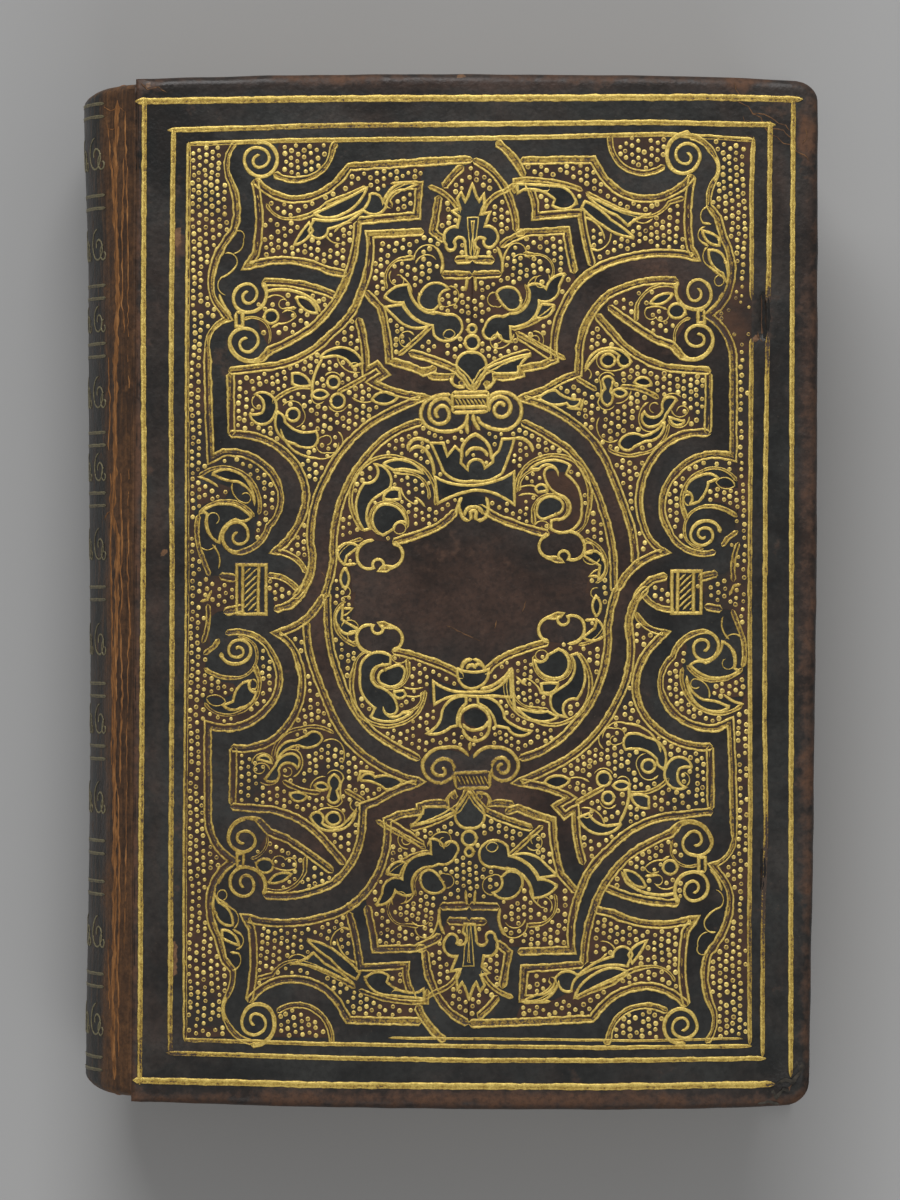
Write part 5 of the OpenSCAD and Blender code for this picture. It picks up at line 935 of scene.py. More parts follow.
def line_widths(points, half_width):
    """Half widths along a strap line, narrower where it curls tightly."""
    share = np.clip(WIDTH_AT_NOUGHT + WIDTH_PER_MM * points[:, 2], LEAST_WIDTH, 1)
    window = np.ones(EVENED_OVER) / EVENED_OVER
    beyond = EVENED_OVER // 2
    padded = np.concatenate([[share[0]] * beyond, share, [share[-1]] * beyond])
    return half_width * np.convolve(padded, window, "valid")


# Materials
# Sockets of a mix node that take and give colours
COLOUR_A, COLOUR_B = 6, 7
COLOUR_OUT = 2


class Nodes:
    """Short calls for building one procedural material."""

    def __init__(self, name):
        self.material = bpy.data.materials.new(name)
        self.material.use_nodes = True
        self.tree = self.material.node_tree
        self.shader = self.tree.nodes["Principled BSDF"]
        self.place = self.tree.nodes.new("ShaderNodeTexCoord").outputs["Object"]

    def node(self, kind, **settings):
        made = self.tree.nodes.new(kind)
        for key, value in settings.items():
            setattr(made, key, value)
        return made

    def link(self, source, target):
        if isinstance(source, (int, float, tuple)):
            target.default_value = source
        else:
            self.tree.links.new(source, target)

    def stretched(self, x, y, z):
        made = self.node("ShaderNodeMapping")
        made.inputs["Scale"].default_value = (x, y, z)
        self.link(self.place, made.inputs["Vector"])
        return made.outputs[0]

    def noise(self, scale, detail=4.0, roughness=0.55, distortion=0.0, place=None):
        made = self.node("ShaderNodeTexNoise")
        self.link(place or self.place, made.inputs["Vector"])
        made.inputs["Scale"].default_value = scale
        made.inputs["Detail"].default_value = detail
        made.inputs["Roughness"].default_value = roughness
        made.inputs["Distortion"].default_value = distortion
        return made.outputs["Fac"]

    def cells(self, scale):
        made = self.node("ShaderNodeTexVoronoi")
        self.link(self.place, made.inputs["Vector"])
        made.inputs["Scale"].default_value = scale
        return made.outputs["Distance"]

    def ramp(self, fac, stops):
        made = self.node("ShaderNodeValToRGB")
        elements = made.color_ramp.elements
        while len(elements) < len(stops):
            elements.new(0.5)
        for element, (position, colour) in zip(elements, stops):
            element.position = position
            element.color = (*colour, 1) if isinstance(colour, tuple) else (colour,) * 3 + (1,)
        self.link(fac, made.inputs["Fac"])
        return made.outputs["Color"]

    def mix(self, fac, a, b):
        made = self.node("ShaderNodeMix", data_type="RGBA")
        self.link(fac, made.inputs["Factor"])
        for value, socket in ((a, COLOUR_A), (b, COLOUR_B)):
            self.link((*value, 1) if isinstance(value, tuple) else value, made.inputs[socket])
        return made.outputs[COLOUR_OUT]

    def sum(self, a, b, operation="ADD"):
        made = self.node("ShaderNodeMath", operation=operation)
        self.link(a, made.inputs[0])
        self.link(b, made.inputs[1])
        return made.outputs[0]

    def times(self, a, b):
        return self.sum(a, b, "MULTIPLY")

    def centred(self, fac):
        """Moves values from 0 to 1 so that they lie round nought."""
        return self.sum(fac, 0.5, "SUBTRACT")

    def attribute(self, name):
        return self.node("ShaderNodeAttribute", attribute_name=name).outputs["Fac"]

    def bump(self, height, distance, strength=1.0, under=None):
        made = self.node("ShaderNodeBump")
        made.inputs["Strength"].default_value = strength
        made.inputs["Distance"].default_value = distance
        self.link(height, made.inputs["Height"])
        if under:
            self.link(under, made.inputs["Normal"])
        return made.outputs["Normal"]

    def finish(self, colour, roughness, normal=None, metallic=0.0, specular=0.5):
        colour = (*colour, 1) if isinstance(colour, tuple) else colour
        self.link(colour, self.shader.inputs["Base Color"])
        self.link(roughness, self.shader.inputs["Roughness"])
        self.link(metallic, self.shader.inputs["Metallic"])
        self.shader.inputs["Specular IOR Level"].default_value = specular
        if normal:
            self.link(normal, self.shader.inputs["Normal"])
        return self.material


def leather_material(name, cool, warm, worn, raw, grain=1.0, gloss=0.42, streaks=0.0):
    """Old polished leather: nearly black or warm brown where sound, brown where rubbed, raw
    where chipped. Each of cool and warm is a pair of a darker and a lighter colour."""
    n = Nodes(name)
    broad = n.noise(45, 5, 0.6, 0.6)
    fine = n.noise(420, 5, 0.62)
    mottle = n.sum(n.times(broad, 0.7), n.times(fine, 0.3))
    cool_colour = n.ramp(mottle, [(0.4, cool[0]), (0.6, cool[1])])
    warm_colour = n.ramp(mottle, [(0.38, warm[0]), (0.62, warm[1])])
    tint = n.sum(n.attribute("tint"), n.centred(n.noise(70, 5, 0.65, 0.8)))
    colour = n.mix(n.ramp(tint, [(0.05, 0.0), (0.75, 1.0)]), cool_colour, warm_colour)
    if streaks:
        burnt = tuple(c * 0.35 for c in warm[0])
        for across, along, full, streak_colour in ((1500, 90, 0.68, worn),
                                                   (1100, 60, 0.66, burnt)):
            streak = n.noise(1.0, 5, 0.7, 0.3, n.stretched(across, along, across))
            colour = n.mix(n.ramp(streak, [(0.5, 0.0), (full, streaks)]), colour,
                           streak_colour)
    rub = n.sum(n.attribute("wear"), n.times(n.centred(fine), 1.3))
    rub = n.sum(rub, n.centred(n.noise(110, 5, 0.65)))
    rub_mask = n.ramp(rub, [(0.22, 0.0), (0.75, 1.0)])
    colour = n.mix(rub_mask, colour, worn)
    chip = n.sum(n.attribute("chip"), n.centred(n.noise(700, 4, 0.7)))
    chip_mask = n.ramp(chip, [(0.42, 0.0), (0.56, 1.0)])
    colour = n.mix(chip_mask, colour, raw)
    colour = n.mix(n.ramp(n.noise(1100, 4, 0.7), [(0.36, 0.45), (0.55, 0.0)]), colour,
                   (0.004, 0.0035, 0.003))
    dust = n.noise(1900, 3, 0.7)
    colour = n.mix(n.ramp(dust, [(0.66, 0.0), (0.78, 0.35)]), colour, (0.16, 0.12, 0.08))
    pores = n.cells(1500 * grain)
    normal = n.bump(pores, 0.00006, 0.5)
    normal = n.bump(n.noise(900 * grain, 5, 0.65), 0.00015, 0.65, normal)
    normal = n.bump(n.noise(90, 5, 0.6), 0.0006, 0.5, normal)
    roughness = n.ramp(n.sum(n.times(rub_mask, 0.6), broad),
                       [(0.35, gloss - 0.06), (1.0, gloss + 0.3)])
    return n.finish(colour, roughness, normal, specular=0.3)


def gold_material(name, bright, deep, leather, loss=0.0, rough_at=0.42):
    """Tooled gold leaf: bright on the crests, thin and brown in the grooves."""
    n = Nodes(name)
    cover = n.attribute("tone")
    for scale, detail, fineness, strength in ((2800, 4, 0.8, 2.1), (55, 5, 0.65, 0.9),
                                              (900, 4, 0.65, 1.1)):
        cover = n.sum(cover, n.times(n.centred(n.noise(scale, detail, fineness)), strength))
    cover = n.times(n.sum(cover, loss, "SUBTRACT"), 0.8)
    middle = tuple(0.4 * a + 0.6 * b for a, b in zip(bright, deep))
    colour = n.ramp(cover, [(0.08, leather), (0.24, deep), (0.5, middle), (0.96, bright)])
    normal = n.bump(n.noise(2800, 4, 0.8), 0.00012, 0.8)
    normal = n.bump(n.noise(900, 4, 0.65), 0.00018, 0.6, normal)
    metallic = n.ramp(cover, [(0.1, 0.0), (0.4, 0.74)])
    return n.finish(colour, rough_at, normal, metallic)


def ground_material(name, dark, brown, cool):
    """Leather between the dots, matted and rubbed, brown or blackened."""
    n = Nodes(name)
    colour = n.ramp(n.noise(260, 5, 0.65), [(0.35, dark), (0.62, brown)])
    colour = n.mix(n.ramp(n.noise(75, 4, 0.6, 0.5), [(0.5, 0.0), (0.62, 0.9)]), colour, cool)
    normal = n.bump(n.noise(1400, 5, 0.7), 0.00014, 0.7)
    return n.finish(colour, 0.6, normal, specular=0.3)


def paper_material(name, light, dark, across=None):
    """Aged paper; across gives the stretch that draws the edges of the leaves, with painted shade
    in the gaps between them.
    """
    n = Nodes(name)
    stain = n.noise(22, 7, 0.62, 0.15)
    colour = n.ramp(stain, [(0.25, dark), (0.6, light)])
    foxing = n.ramp(n.noise(340, 2, 0.5), [(0.70, 0.0), (0.76, 0.5)])
    colour = n.mix(foxing, colour, tuple(c * 0.6 for c in dark))
    fibre = n.noise(1800, 3, 0.6)
    normal = n.bump(fibre, 0.00005, 0.4)
    if across:
        leaves = n.noise(1.0, 3, 0.7, 0.0, n.stretched(*across))
        # Dark lines between the leaf edges: painted shade in the gaps between the leaves
        colour = n.mix(n.ramp(leaves, [(0.35, 0.7), (0.6, 0.0)]), colour,
                       tuple(c * 0.35 for c in dark))
        normal = n.bump(leaves, 0.00025, 0.8, normal)
    return n.finish(colour, 0.88, normal, specular=0.2)


COOL_LEATHER = ((0.0092, 0.0096, 0.0092), (0.027, 0.0272, 0.0248))
WARM_LEATHER = ((0.022, 0.0125, 0.009), (0.058, 0.030, 0.020))
LEAF_LEATHER = ((0.0090, 0.0098, 0.0096), (0.025, 0.026, 0.0235))
BROWN_LEATHER = (0.086, 0.041, 0.022)
RAW_LEATHER = (0.15, 0.078, 0.038)

cover_leather = leather_material("cover_leather", COOL_LEATHER, WARM_LEATHER,
                                 BROWN_LEATHER, RAW_LEATHER)
leaf_leather = leather_material("leaf_leather", LEAF_LEATHER, COOL_LEATHER,
                                BROWN_LEATHER, RAW_LEATHER, gloss=0.36)
back_leather = leather_material("back_cover_leather", COOL_LEATHER, WARM_LEATHER,
                                BROWN_LEATHER, RAW_LEATHER, gloss=0.5)
gold_bright = gold_material("tooled_gold", (0.75, 0.565, 0.16), (0.27, 0.165, 0.023),
                            (0.034, 0.017, 0.008))
gold_dots = gold_material("stippled_gold", (0.80, 0.62, 0.20), (0.34, 0.22, 0.044),
                          (0.04, 0.018, 0.010), -0.18)
gold_dull = gold_material("worn_gold", (0.34, 0.31, 0.18), (0.16, 0.13, 0.07),
                          (0.018, 0.016, 0.012), 0.2, 0.5)
ground_leather = ground_material("stippled_leather", (0.022, 0.0105, 0.006),
                                 (0.054, 0.024, 0.012), (0.016, 0.013, 0.010))


# Outlines of the covers: how far the edges at head and tail and the fore edge bow out, and the
# radii of the corners, in mm
EDGE_BOW = 1.1
FORE_BOW = 0.6
HEAD_CORNER = 3.2
TAIL_CORNER = 3.6
PLAIN_CORNER = 1.0
# How far the fore edge bulges at shares of the half height
FORE_SHARES = [-1, -0.5, 0, 0.5, 1]
FORE_BULGE = [0.6, 1.15, 1.55, 1.5, 1.35]
# The bulge grows towards the fore edge with this power of the share of the width
BULGE_POWER = 24
# Radii that the leather is rounded with beside the spine and at the other three edges
SPINE_SIDE_ROUND = 0.8
BOARD_ROUND = 1.5
# Width of the strip that counts as beside the spine
SPINE_SIDE = 2.5


def board_limits(x, worn):
    """Lowest and highest y of a board at each x, with its bowed edges and corners."""
    right = RIGHT - FORE_BOW
    width = right - BOARD_LEFT
    share = (x - BOARD_LEFT) / width
    side = np.abs(2 * share - 1)
    bow = EDGE_BOW * (1 - side ** np.where(share < 0.5, 2, 4)) if worn else 0 * x
    head, tail = (HEAD_CORNER, TAIL_CORNER) if worn else (PLAIN_CORNER, PLAIN_CORNER)
    def corner(radius):
        into = np.clip(x - (right - radius), 0, radius)
        return radius - np.sqrt(np.maximum(radius**2 - into**2, 0))
    return -HALF_HEIGHT - bow + corner(tail), HALF_HEIGHT + bow - corner(head)


def spread(low, high, step, edges, extra=()):
    """Places from low to high about a step apart, closer at both ends."""
    inner = np.arange(low + edges[-1], high - edges[-1] + 1e-6, step)
    inner = inner + (high - edges[-1] - inner[-1]) * (inner - inner[0]) / (inner[-1] - inner[0])
    near = [low + e for e in edges[:-1]]
    far = [high - e for e in edges[:-1]]
    return np.unique(np.round(np.concatenate([near, inner, far, list(extra)]), 4))


# Distances from an edge at which the mesh has points, and the step between the others
EDGE_STEPS = [0, 0.12, 0.3, 0.55, 0.9, 1.4, 2.0]
BOARD_STEP = 1.05


def board_shell(name, body, material, slot, low_z, high_z, outer_up, worn, wear, tints,
                chips, slits=(), crumble=()):
    """The leather of one cover as a closed shell with rounded, worn edges."""
    slit_columns = [x + d for x, *_ in slits for d in (-0.5, -0.3, 0, 0.3, 0.5)]
    xs = spread(BOARD_LEFT, RIGHT - FORE_BOW, BOARD_STEP, EDGE_STEPS, slit_columns)
    shares = spread(0, 1, BOARD_STEP / DRAWN_HEIGHT, [e / DRAWN_HEIGHT for e in EDGE_STEPS])
    low, high = board_limits(xs, worn)
    rows = []
    ragged = np.column_stack([xs, xs * 0])
    low = low + 0.1 * rough(ragged, 6, 1)
    high = high + 0.1 * rough(ragged, 7, 4)
    for t in shares:
        y = low + (high - low) * t
        bow = (np.interp(y / HALF_HEIGHT, FORE_SHARES, FORE_BULGE) + 0.1 * rough(
            np.column_stack([y * 0 + RIGHT, y]), 5, 3) if worn else 0)
        x = xs + bow * ((xs - BOARD_LEFT) / (RIGHT - FORE_BOW - BOARD_LEFT)) ** BULGE_POWER
        rows.append(np.column_stack([x, y]))
    plan = np.array(rows)
    count_y, count_x = plan.shape[:2]
    flat = plan.reshape(-1, 2)
    rim_ids = rim_of(count_y, count_x)
    rim = flat[rim_ids]
    following = np.roll(rim, -1, 0)
    tree = flat_tree(np.vstack([rim + (following - rim) * k / 4 for k in range(4)]))
    inward = np.array([tree.find((p[0], p[1], 0))[2] for p in flat])
    spine_side = flat[:, 0] - BOARD_LEFT < SPINE_SIDE
    radius = np.where(spine_side, SPINE_SIDE_ROUND, BOARD_ROUND)
    fall = np.where(inward < radius, radius - np.sqrt(np.maximum(radius**2
                    - (radius - inward) ** 2, 0)), 0)
    swell = 0.03 * rough(flat, 14, 3) + 0.015 * rough(flat, 4, 5)
    near_edge = 1 - smoothstep(0.5, 6, inward)
    top = -fall - near_edge * 0.18 * np.maximum(rough(flat, 5, 8), 0) + swell - 0.045
    chip = np.zeros(len(flat))
    for x, y, rx, ry, depth in chips:
        reach = np.hypot((flat[:, 0] - FRAME_X - x) / rx, (flat[:, 1] - y) / ry)
        inside = 1 - smoothstep(0.75, 1.15, reach)
        chip = np.maximum(chip, inside)
        top -= depth * inside
    for x, y, reach_mm, depth in crumble:
        away = np.hypot(flat[:, 0] - x, flat[:, 1] - y)
        near = 1 - smoothstep(0.2, 1, away / reach_mm)
        top -= depth * near * (0.3 + 1.8 * np.abs(rough(flat, 1.7, 2)))
    tint = spots(flat, tints) + 0.08
    rubbed = spots(flat, wear)
    rubbed += 0.3 * (1 - smoothstep(0.0, 2.0, inward + 0.9 * rough(flat, 6, 1)))
    for x, y, half_w, half_l, depth in slits:
        across = np.abs(flat[:, 0] - x) / half_w
        along = np.abs(flat[:, 1] - y) / half_l
        inside = (across < 1.05) & (along < 1)
        top = np.where(inside, top - depth, top)
    thick = high_z - low_z
    upper = np.column_stack([flat, high_z + np.clip(top, -thick * 0.45, 0)])
    lower = np.column_stack([flat, low_z + fall * 0.6])
    if not outer_up:
        upper[:, 2] = low_z - (upper[:, 2] - high_z)
        lower[:, 2] = high_z - fall * 0.6
    points = np.vstack([upper, lower])
    faces = grid_faces(count_y, count_x)
    faces += [tuple(i + len(flat) for i in reversed(f)) for f in faces]
    for i, j in zip(rim_ids, [*rim_ids[1:], rim_ids[0]]):
        faces.append((i, i + len(flat), j + len(flat), j))
    if not outer_up:
        faces = turned_over(faces)
    return piece(name, body, material, points, faces, True, slot,
                 wear=np.concatenate([rubbed, rubbed * 0 + 0.2]),
                 chip=np.concatenate([chip, chip * 0]), tint=np.concatenate([tint, tint]))


# Worn places on the front cover, from the middle of the frame: x, y, half sizes, strength
FRONT_WEAR = [
    (47.0, 47.4, 2.4, 4.4, 0.5), (51.6, 47.0, 0.7, 4.4, 0.35), (-49.6, 59, 1.2, 3.2, 0.7),
    (-42, 38, 2.2, 4, 0.3),
    (58.0, 20, 1.3, 60, 0.3), (58.0, -50, 1.1, 40, 0.3), (0, -86.6, 62, 1.3, 0.62),
    (-54, 86, 3.4, 2.0, 0.5), (-24, 87.4, 9, 1.1, 0.55), (24, 87.6, 30, 0.9, 0.28),
    (46, 86.5, 2.4, 2.6, 0.55), (57.6, 78, 1.4, 4.6, 0.75), (51.8, 82.6, 2.6, 1.6, 0.45),
    (-56.4, 40, 0.9, 50, 0.4), (-56.4, -40, 0.9, 50, 0.45), (33, 54, 3.4, 2.6, 0.42),
    (-44, -62, 3, 8, 0.25), (0, 6, 10, 7, 0.2), (10, -6, 8, 5, 0.15), (-49, -30, 1, 30, 0.2),
    (46.5, -47, 2.0, 3.0, 0.35), (-49.4, 70, 1.0, 6, 0.3),
]
# Places where the leather has turned from black to brown, given in the same way
FRONT_TINTS = [
    (0, 0, 19, 12, 0.9), (25, 8, 6, 24, 0.6), (-24, 0, 5, 24, 0.5), (30, 50, 14, 14, 0.6),
    (-20, -42, 14, 9, 0.6), (-7, -36, 16, 7, 0.6), (14, -38, 14, 7, 0.6), (-10, 38, 14, 6, 0.6),
    (12, 38, 14, 6, 0.5), (53, 70, 2.0, 14, 0.35), (0, 82, 60, 2, 0.1),
    (58.3, 20, 1.6, 60, 0.6), (0, -87, 60, 2, 0.7), (22, -30, 12, 10, 0.5), (-53, 0, 1.5, 80, 0.3),
    (0, 62, 10, 8, 0.4), (0, 87, 60, 1.6, 0.5), (26, 30, 10, 8, 0.4), (-28, 26, 10, 8, 0.3),
]
# Chips of the leather: x, y, half sizes and depth in mm
FRONT_CHIPS = [
    (-52, 6.2, 0.75, 0.75, 0.12), (-49.7, 60, 0.6, 1.8, 0.08), (-49.6, -63, 0.45, 3.2, 0.06),
    (-54.6, 86.4, 0.7, 0.4, 0.1),
    (49.4, 43.5, 0.5, 0.3, 0.1), (52.9, 47.4, 0.26, 0.26, 0.0),
    (-1.2, 88.2, 0.9, 0.4, 0.1), (-29.8, -63.6, 0.7, 0.5, 0.05),
]
# Slits that the lost ties went through: x, y, half sizes and depth
SLIT_X = RIGHT - 8.4
TIE_SLITS = [(SLIT_X, 47.6, 0.3, 3.6, 0.9), (SLIT_X + 0.3, -47.4, 0.3, 3.4, 0.9)]
# Crumbled corners: x, y, reach and depth
CRUMBLE = [(RIGHT - 1.2, -HALF_HEIGHT + 1.5, 7.5, 0.9), (RIGHT - 1, HALF_HEIGHT - 1.5, 4, 0.2),
           (BOARD_LEFT + 1, HALF_HEIGHT, 2.5, 0.3)]

# The leather's inner face stands off the pages by this much
FACE_LOW = 0.05
front_cover = board_shell("front_cover_leather", "front_cover", cover_leather,
                          "front_leather", PAGES_HIGH[2] + FACE_LOW, TOP, True, True,
                          FRONT_WEAR, FRONT_TINTS, FRONT_CHIPS, TIE_SLITS, CRUMBLE)
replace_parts(front_cover, "front_leather")

# Height of the back cover's outer face over the ground
BACK_FACE = 0.06
BACK_WEAR = [(0, 0, 40, 50, 0.25), (57, 0, 2, 80, 0.5), (-57, 0, 1.5, 80, 0.5)]
back_cover = board_shell("back_cover_leather", "back_cover", back_leather, "back_leather",
                         BACK_FACE, PAGES_LOW[2] - FACE_LOW, False, False, BACK_WEAR,
                         [(0, 0, 40, 60, 0.6)], [], TIE_SLITS)
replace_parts(back_cover, "back_leather")


# Gold tooling of the front cover: half widths of its lines, and how long their ends are
STRAP_HALF = 0.78
STEM_HALF = 0.5
CURL_HALF = 0.34
LEAF_HALF = 0.32
CENTRE_HALF = 0.38
HATCH_HALF = 0.2
LINE_TAPER = 0.25
TOOL_BASE = TOP - 0.05
barriers = []


def remember(points, half_width):
    """Keeps a line's points, so that no dot is stamped on it."""
    barriers.append(np.column_stack([points[:, :2], np.broadcast_to(half_width, len(points))]))


def tool(pile, placed, half_width, profile, closed=False, **settings):
    """Tools a line on the front cover and remembers it."""
    tooled_line(pile, placed, half_width, profile, closed, base=TOOL_BASE, **settings)
    remember(placed, half_width)


def quarter_tooling(over, half):
    """The straps, stems, curls and leaf outlines of one quarter."""
    kind = "over" if over else "under"
    pile = Pile()
    straps, stems, curls, leaves = (
        (OVER_STRAPS, OVER_STEMS, OVER_CURLS, OVER_LEAVES) if over
        else (UNDER_STRAPS, UNDER_STEMS, UNDER_CURLS, UNDER_LEAVES))
    seed = (1 if over else 2) + (4 if half else 0)
    for paths, half_width, profile in ((straps, STRAP_HALF, STRAP_PROFILE),
                                       (stems, STEM_HALF, STEM_PROFILE),
                                       (curls, CURL_HALF, CURL_PROFILE)):
        for path in paths:
            points = trace(path)
            width = line_widths(points, half_width)
            placed = in_quarter(points, over, half)
            tight = 0.0
            if profile is STRAP_PROFILE:
                tight = 1 - smoothstep(*TIGHT_RADII, points[:, 2])
            tool(pile, placed, width, profile, taper=LINE_TAPER, seed=seed, tight=tight)
    for path in leaves:
        placed = in_quarter(traced_loop(path), over, half)
        tooled_line(pile, placed, CURL_HALF * 0.9, CURL_PROFILE, True, seed=seed,
                    base=TOOL_BASE)
        remember(placed, CURL_HALF)
    name = f"gold_{kind}_{'tail' if half else 'head'}"
    return pile.make(name, "front_cover", gold_bright, slot="front_gilding")


def axis_tooling():
    """What stands on the axis of the strapwork, and the ornament in the middle."""
    pile = Pile()
    for half in (False, True):
        for paths, half_width, profile in ((AXIS_STEMS, STEM_HALF, STEM_PROFILE),
                                           (AXIS_CURLS, CURL_HALF, CURL_PROFILE)):
            for path in paths:
                tool(pile, on_axis(trace(path), half), half_width, profile,
                     taper=LINE_TAPER, seed=3)
        for path in AXIS_LEAVES:
            tool(pile, on_axis(traced_loop(path), half), CURL_HALF, CURL_PROFILE, True,
                 seed=3)
    for path in CENTRE_LEAVES:
        tool(pile, to_book(path), LEAF_HALF, CURL_PROFILE, True, seed=3)
    for paths, half_width in ((HEAD_CENTRE_LINES + TAIL_CENTRE_LINES, CENTRE_HALF),
                              (CLASP_HATCHES, HATCH_HALF)):
        for path in paths:
            tool(pile, to_book(path), half_width, CURL_PROFILE, taper=LINE_TAPER, seed=6)
    return pile.make("gold_axis", "front_cover", gold_bright, slot="front_gilding")


# Buckles that the side bands run through: place, half sizes
BUCKLES = [(-37.5, 0.2, 2.5, 4.2), (36.9, 0.1, 2.5, 3.6)]
# Places of a buckle's two bars, and what its hatches keep to: half width, step and middle
BUCKLE_BARS = (-1.5, 1.2)
HATCHED_HALF = 1.1
HATCH_STEP = 1.15
HATCHED_MIDDLE = -0.15
# Hatches that would be shorter than this are left out
LEAST_HATCH = 0.35


def rectangle(x, y, half_x, half_y):
    return [(x - half_x, y - half_y), (x + half_x, y - half_y), (x + half_x, y + half_y),
            (x - half_x, y + half_y)]


def to_book(path):
    """The path of an ornament in the middle, traced in the frame of the book."""
    points = trace(path)
    return np.column_stack([points[:, 0] + DRAWN_AXIS + FRAME_X, points[:, 1]])


def hatched_plates():
    """The hatched plates of the buckles and clasps."""
    pile = Pile()
    for x, y, half_x, half_y in BUCKLES:
        # The outer edge, with an upright bar inside it on each side of the hatched field
        corners = rectangle(x, y, half_x, half_y)
        edge = to_book([*corners, corners[0]])
        bars = [to_book([(x + d, y - half_y), (x + d, y + half_y)]) for d in BUCKLE_BARS]
        for k, line in enumerate([edge, *bars]):
            tool(pile, line, CURL_HALF, CURL_PROFILE, k == 0, seed=k)
        offset = -half_x - half_y
        while offset < half_x + half_y:
            ends = hatch_line(offset, HATCHED_HALF, half_y - 0.5)
            offset += HATCH_STEP
            if ends is None:
                continue
            line = to_book([(x + HATCHED_MIDDLE + u, y + v) for u, v in ends])
            tool(pile, line, HATCH_HALF, CURL_PROFILE, taper=0.3, seed=5)
    return pile.make("gold_plates", "front_cover", gold_bright, slot="front_gilding")


def hatch_line(offset, half_x, half_y):
    """Ends of the slanting line y = x + offset inside a rectangle, if long enough."""
    x_low = max(-half_x, -half_y - offset)
    x_high = min(half_x, half_y - offset)
    if x_high - x_low < LEAST_HATCH:
        return None
    return (x_low, x_low + offset), (x_high, x_high + offset)


# Lines of the frame, each side as it was ruled: places from the middle of the frame, half
# width and how far the tool overran the corner
FRAME_SIDES = [
    ([(-55.5, -84.0), (-55.5, -40), (-55.35, 0), (-55.25, 18), (-55.5, 40), (-55.5, 83.7)],
     0.46, 0.6),
    ([(55.85, -82.8), (55.7, -50), (55.55, 0), (55.45, 40), (55.5, 84.6)], 0.44, 0.0),
    ([(-55.5, 83.6), (-24, 84.2), (0, 84.4), (39, 84.75), (55.5, 84.5)], 0.6, 1.6),
    ([(-55.5, -83.85), (-24, -84.5), (0, -84.6), (24, -84.6), (52, -84.0)], 0.58, 1.2),
    ([(-50.35, -79.1), (-50.35, 0), (-50.7, 33), (-50.7, 52), (-50.5, 78.7)], 0.46, 0.4),
    ([(51.0, -79.4), (50.9, -58), (51.4, -41), (51.05, -20), (51.0, 20), (51.3, 44.4)],
     0.42, 0.0),
    ([(51.35, 49.6), (51.5, 66), (51.55, 80.3)], 0.46, 0.4),
    ([(-50.5, 78.7), (-24, 79.6), (0, 79.95), (31, 80.4), (51.5, 80.1)], 0.48, 1.0),
    ([(-50.4, -79.15), (-24, -79.85), (0, -80.15), (24, -80.1), (51.0, -79.6)], 0.44, 0.6),
    ([(-47.8, -76.9), (-48.0, -50), (-47.8, 0), (-48.0, 40), (-47.9, 76.4)], 0.42, 0.3),
    ([(48.8, -77.4), (48.6, -60), (48.7, -35), (48.4, 0), (48.5, 43.6)], 0.42, 0.0),
    ([(48.5, 50.4), (48.4, 70), (48.7, 77.7)], 0.42, 0.3),
    ([(-47.9, 76.3), (-31, 77.0), (0, 77.5), (16, 77.9), (33, 78.4), (48.7, 77.5)], 0.44, 0.3),
    ([(-47.8, -76.85), (-24, -77.5), (0, -77.75), (24, -77.9), (48.8, -77.5)], 0.38, 0.3),
    ([(-13, -76.4), (10, -76.5), (30, -76.7), (47.6, -76.2)], 0.24, 0.0),
]


def lengthened(path, overrun):
    """The path with both ends drawn out by overrun."""
    path = [np.array(p, float) for p in path]
    for end, beside in ((0, 1), (-1, -2)):
        away = path[end] - path[beside]
        path[end] = path[end] + away * overrun / np.linalg.norm(away)
    return path


def frame_tooling(name, body, material, slot, surface_z, up, sides):
    """The ruled lines round one cover; up says that the face looks up."""
    pile = Pile()
    sign = 1 if up else -1
    def surface(points, height):
        return np.column_stack([points, surface_z + sign * height])
    for path, half_width, overrun in sides:
        points = trace([tuple(p) for p in lengthened(path, overrun)], 0.7)
        placed = np.column_stack([points[:, 0] + FRAME_X, points[:, 1]])
        tooled_line(pile, placed, half_width, FRAME_PROFILE, taper=1.0,
                    seed=half_width * 9 + path[0][0], surface=surface, worn=up)
        if up:
            remember(placed, half_width)
    if not up:
        pile.faces = turned_over(pile.faces)
    return pile.make(name, body, material, slot=slot)


tooling = [quarter_tooling(over, half) for over in (True, False) for half in (False, True)]
tooling += [axis_tooling(), hatched_plates()]
tooling.append(frame_tooling("gold_frame", "front_cover", gold_bright, "front_gilding",
                             TOOL_BASE, True, FRAME_SIDES))
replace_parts(tooling[0], "front_gilding")
# The back cover has the same three lines, ruled plainly: half width and overrun
BACK_LINE = (0.48, 0.8)
back_sides = [([(a * half_x, b * half_y), (c * half_x, d * half_y)], *BACK_LINE)
              for half_x, half_y in (OUTER_HALF, MIDDLE_HALF, INNER_HALF)
              for a, b, c, d in ((-1, -1, -1, 1), (1, -1, 1, 1), (-1, -1, 1, -1), (-1, 1, 1, 1))]
back_gold = frame_tooling("back_gold_frame", "back_cover", gold_dull, "spine_gilding",
                          BACK_FACE + 0.03, False, back_sides)
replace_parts(back_gold, "back_gilding")


# Grounds, leaves and dots
# How far the leaves stand over the grounds
LEAF_LIFT = 0.025
DOT_RADIUS = 0.45
DOT_HEIGHT = 0.12
DOT_SIDES = 9
# Steps of the dots down a column and from column to column
DOT_PITCH = 1.24
DOT_COLUMN = 1.12
# How far the columns wander, how far single dots stray, and the share that is missing
DOT_DRIFT = 0.8
DOT_STRAY = 0.15
DOT_MISSING = 0.025
# Reach in which lines are looked for, and the share of its radius that a dot keeps off them
DOT_REACH = 1.3
DOT_CLEAR = 0.45
# Where the gold is worn thinner than this, dots begin to be lost
DOT_WORN = 0.35
# Half sizes of the oval, where the dots are smaller
OVAL_HALF = (23, 29)
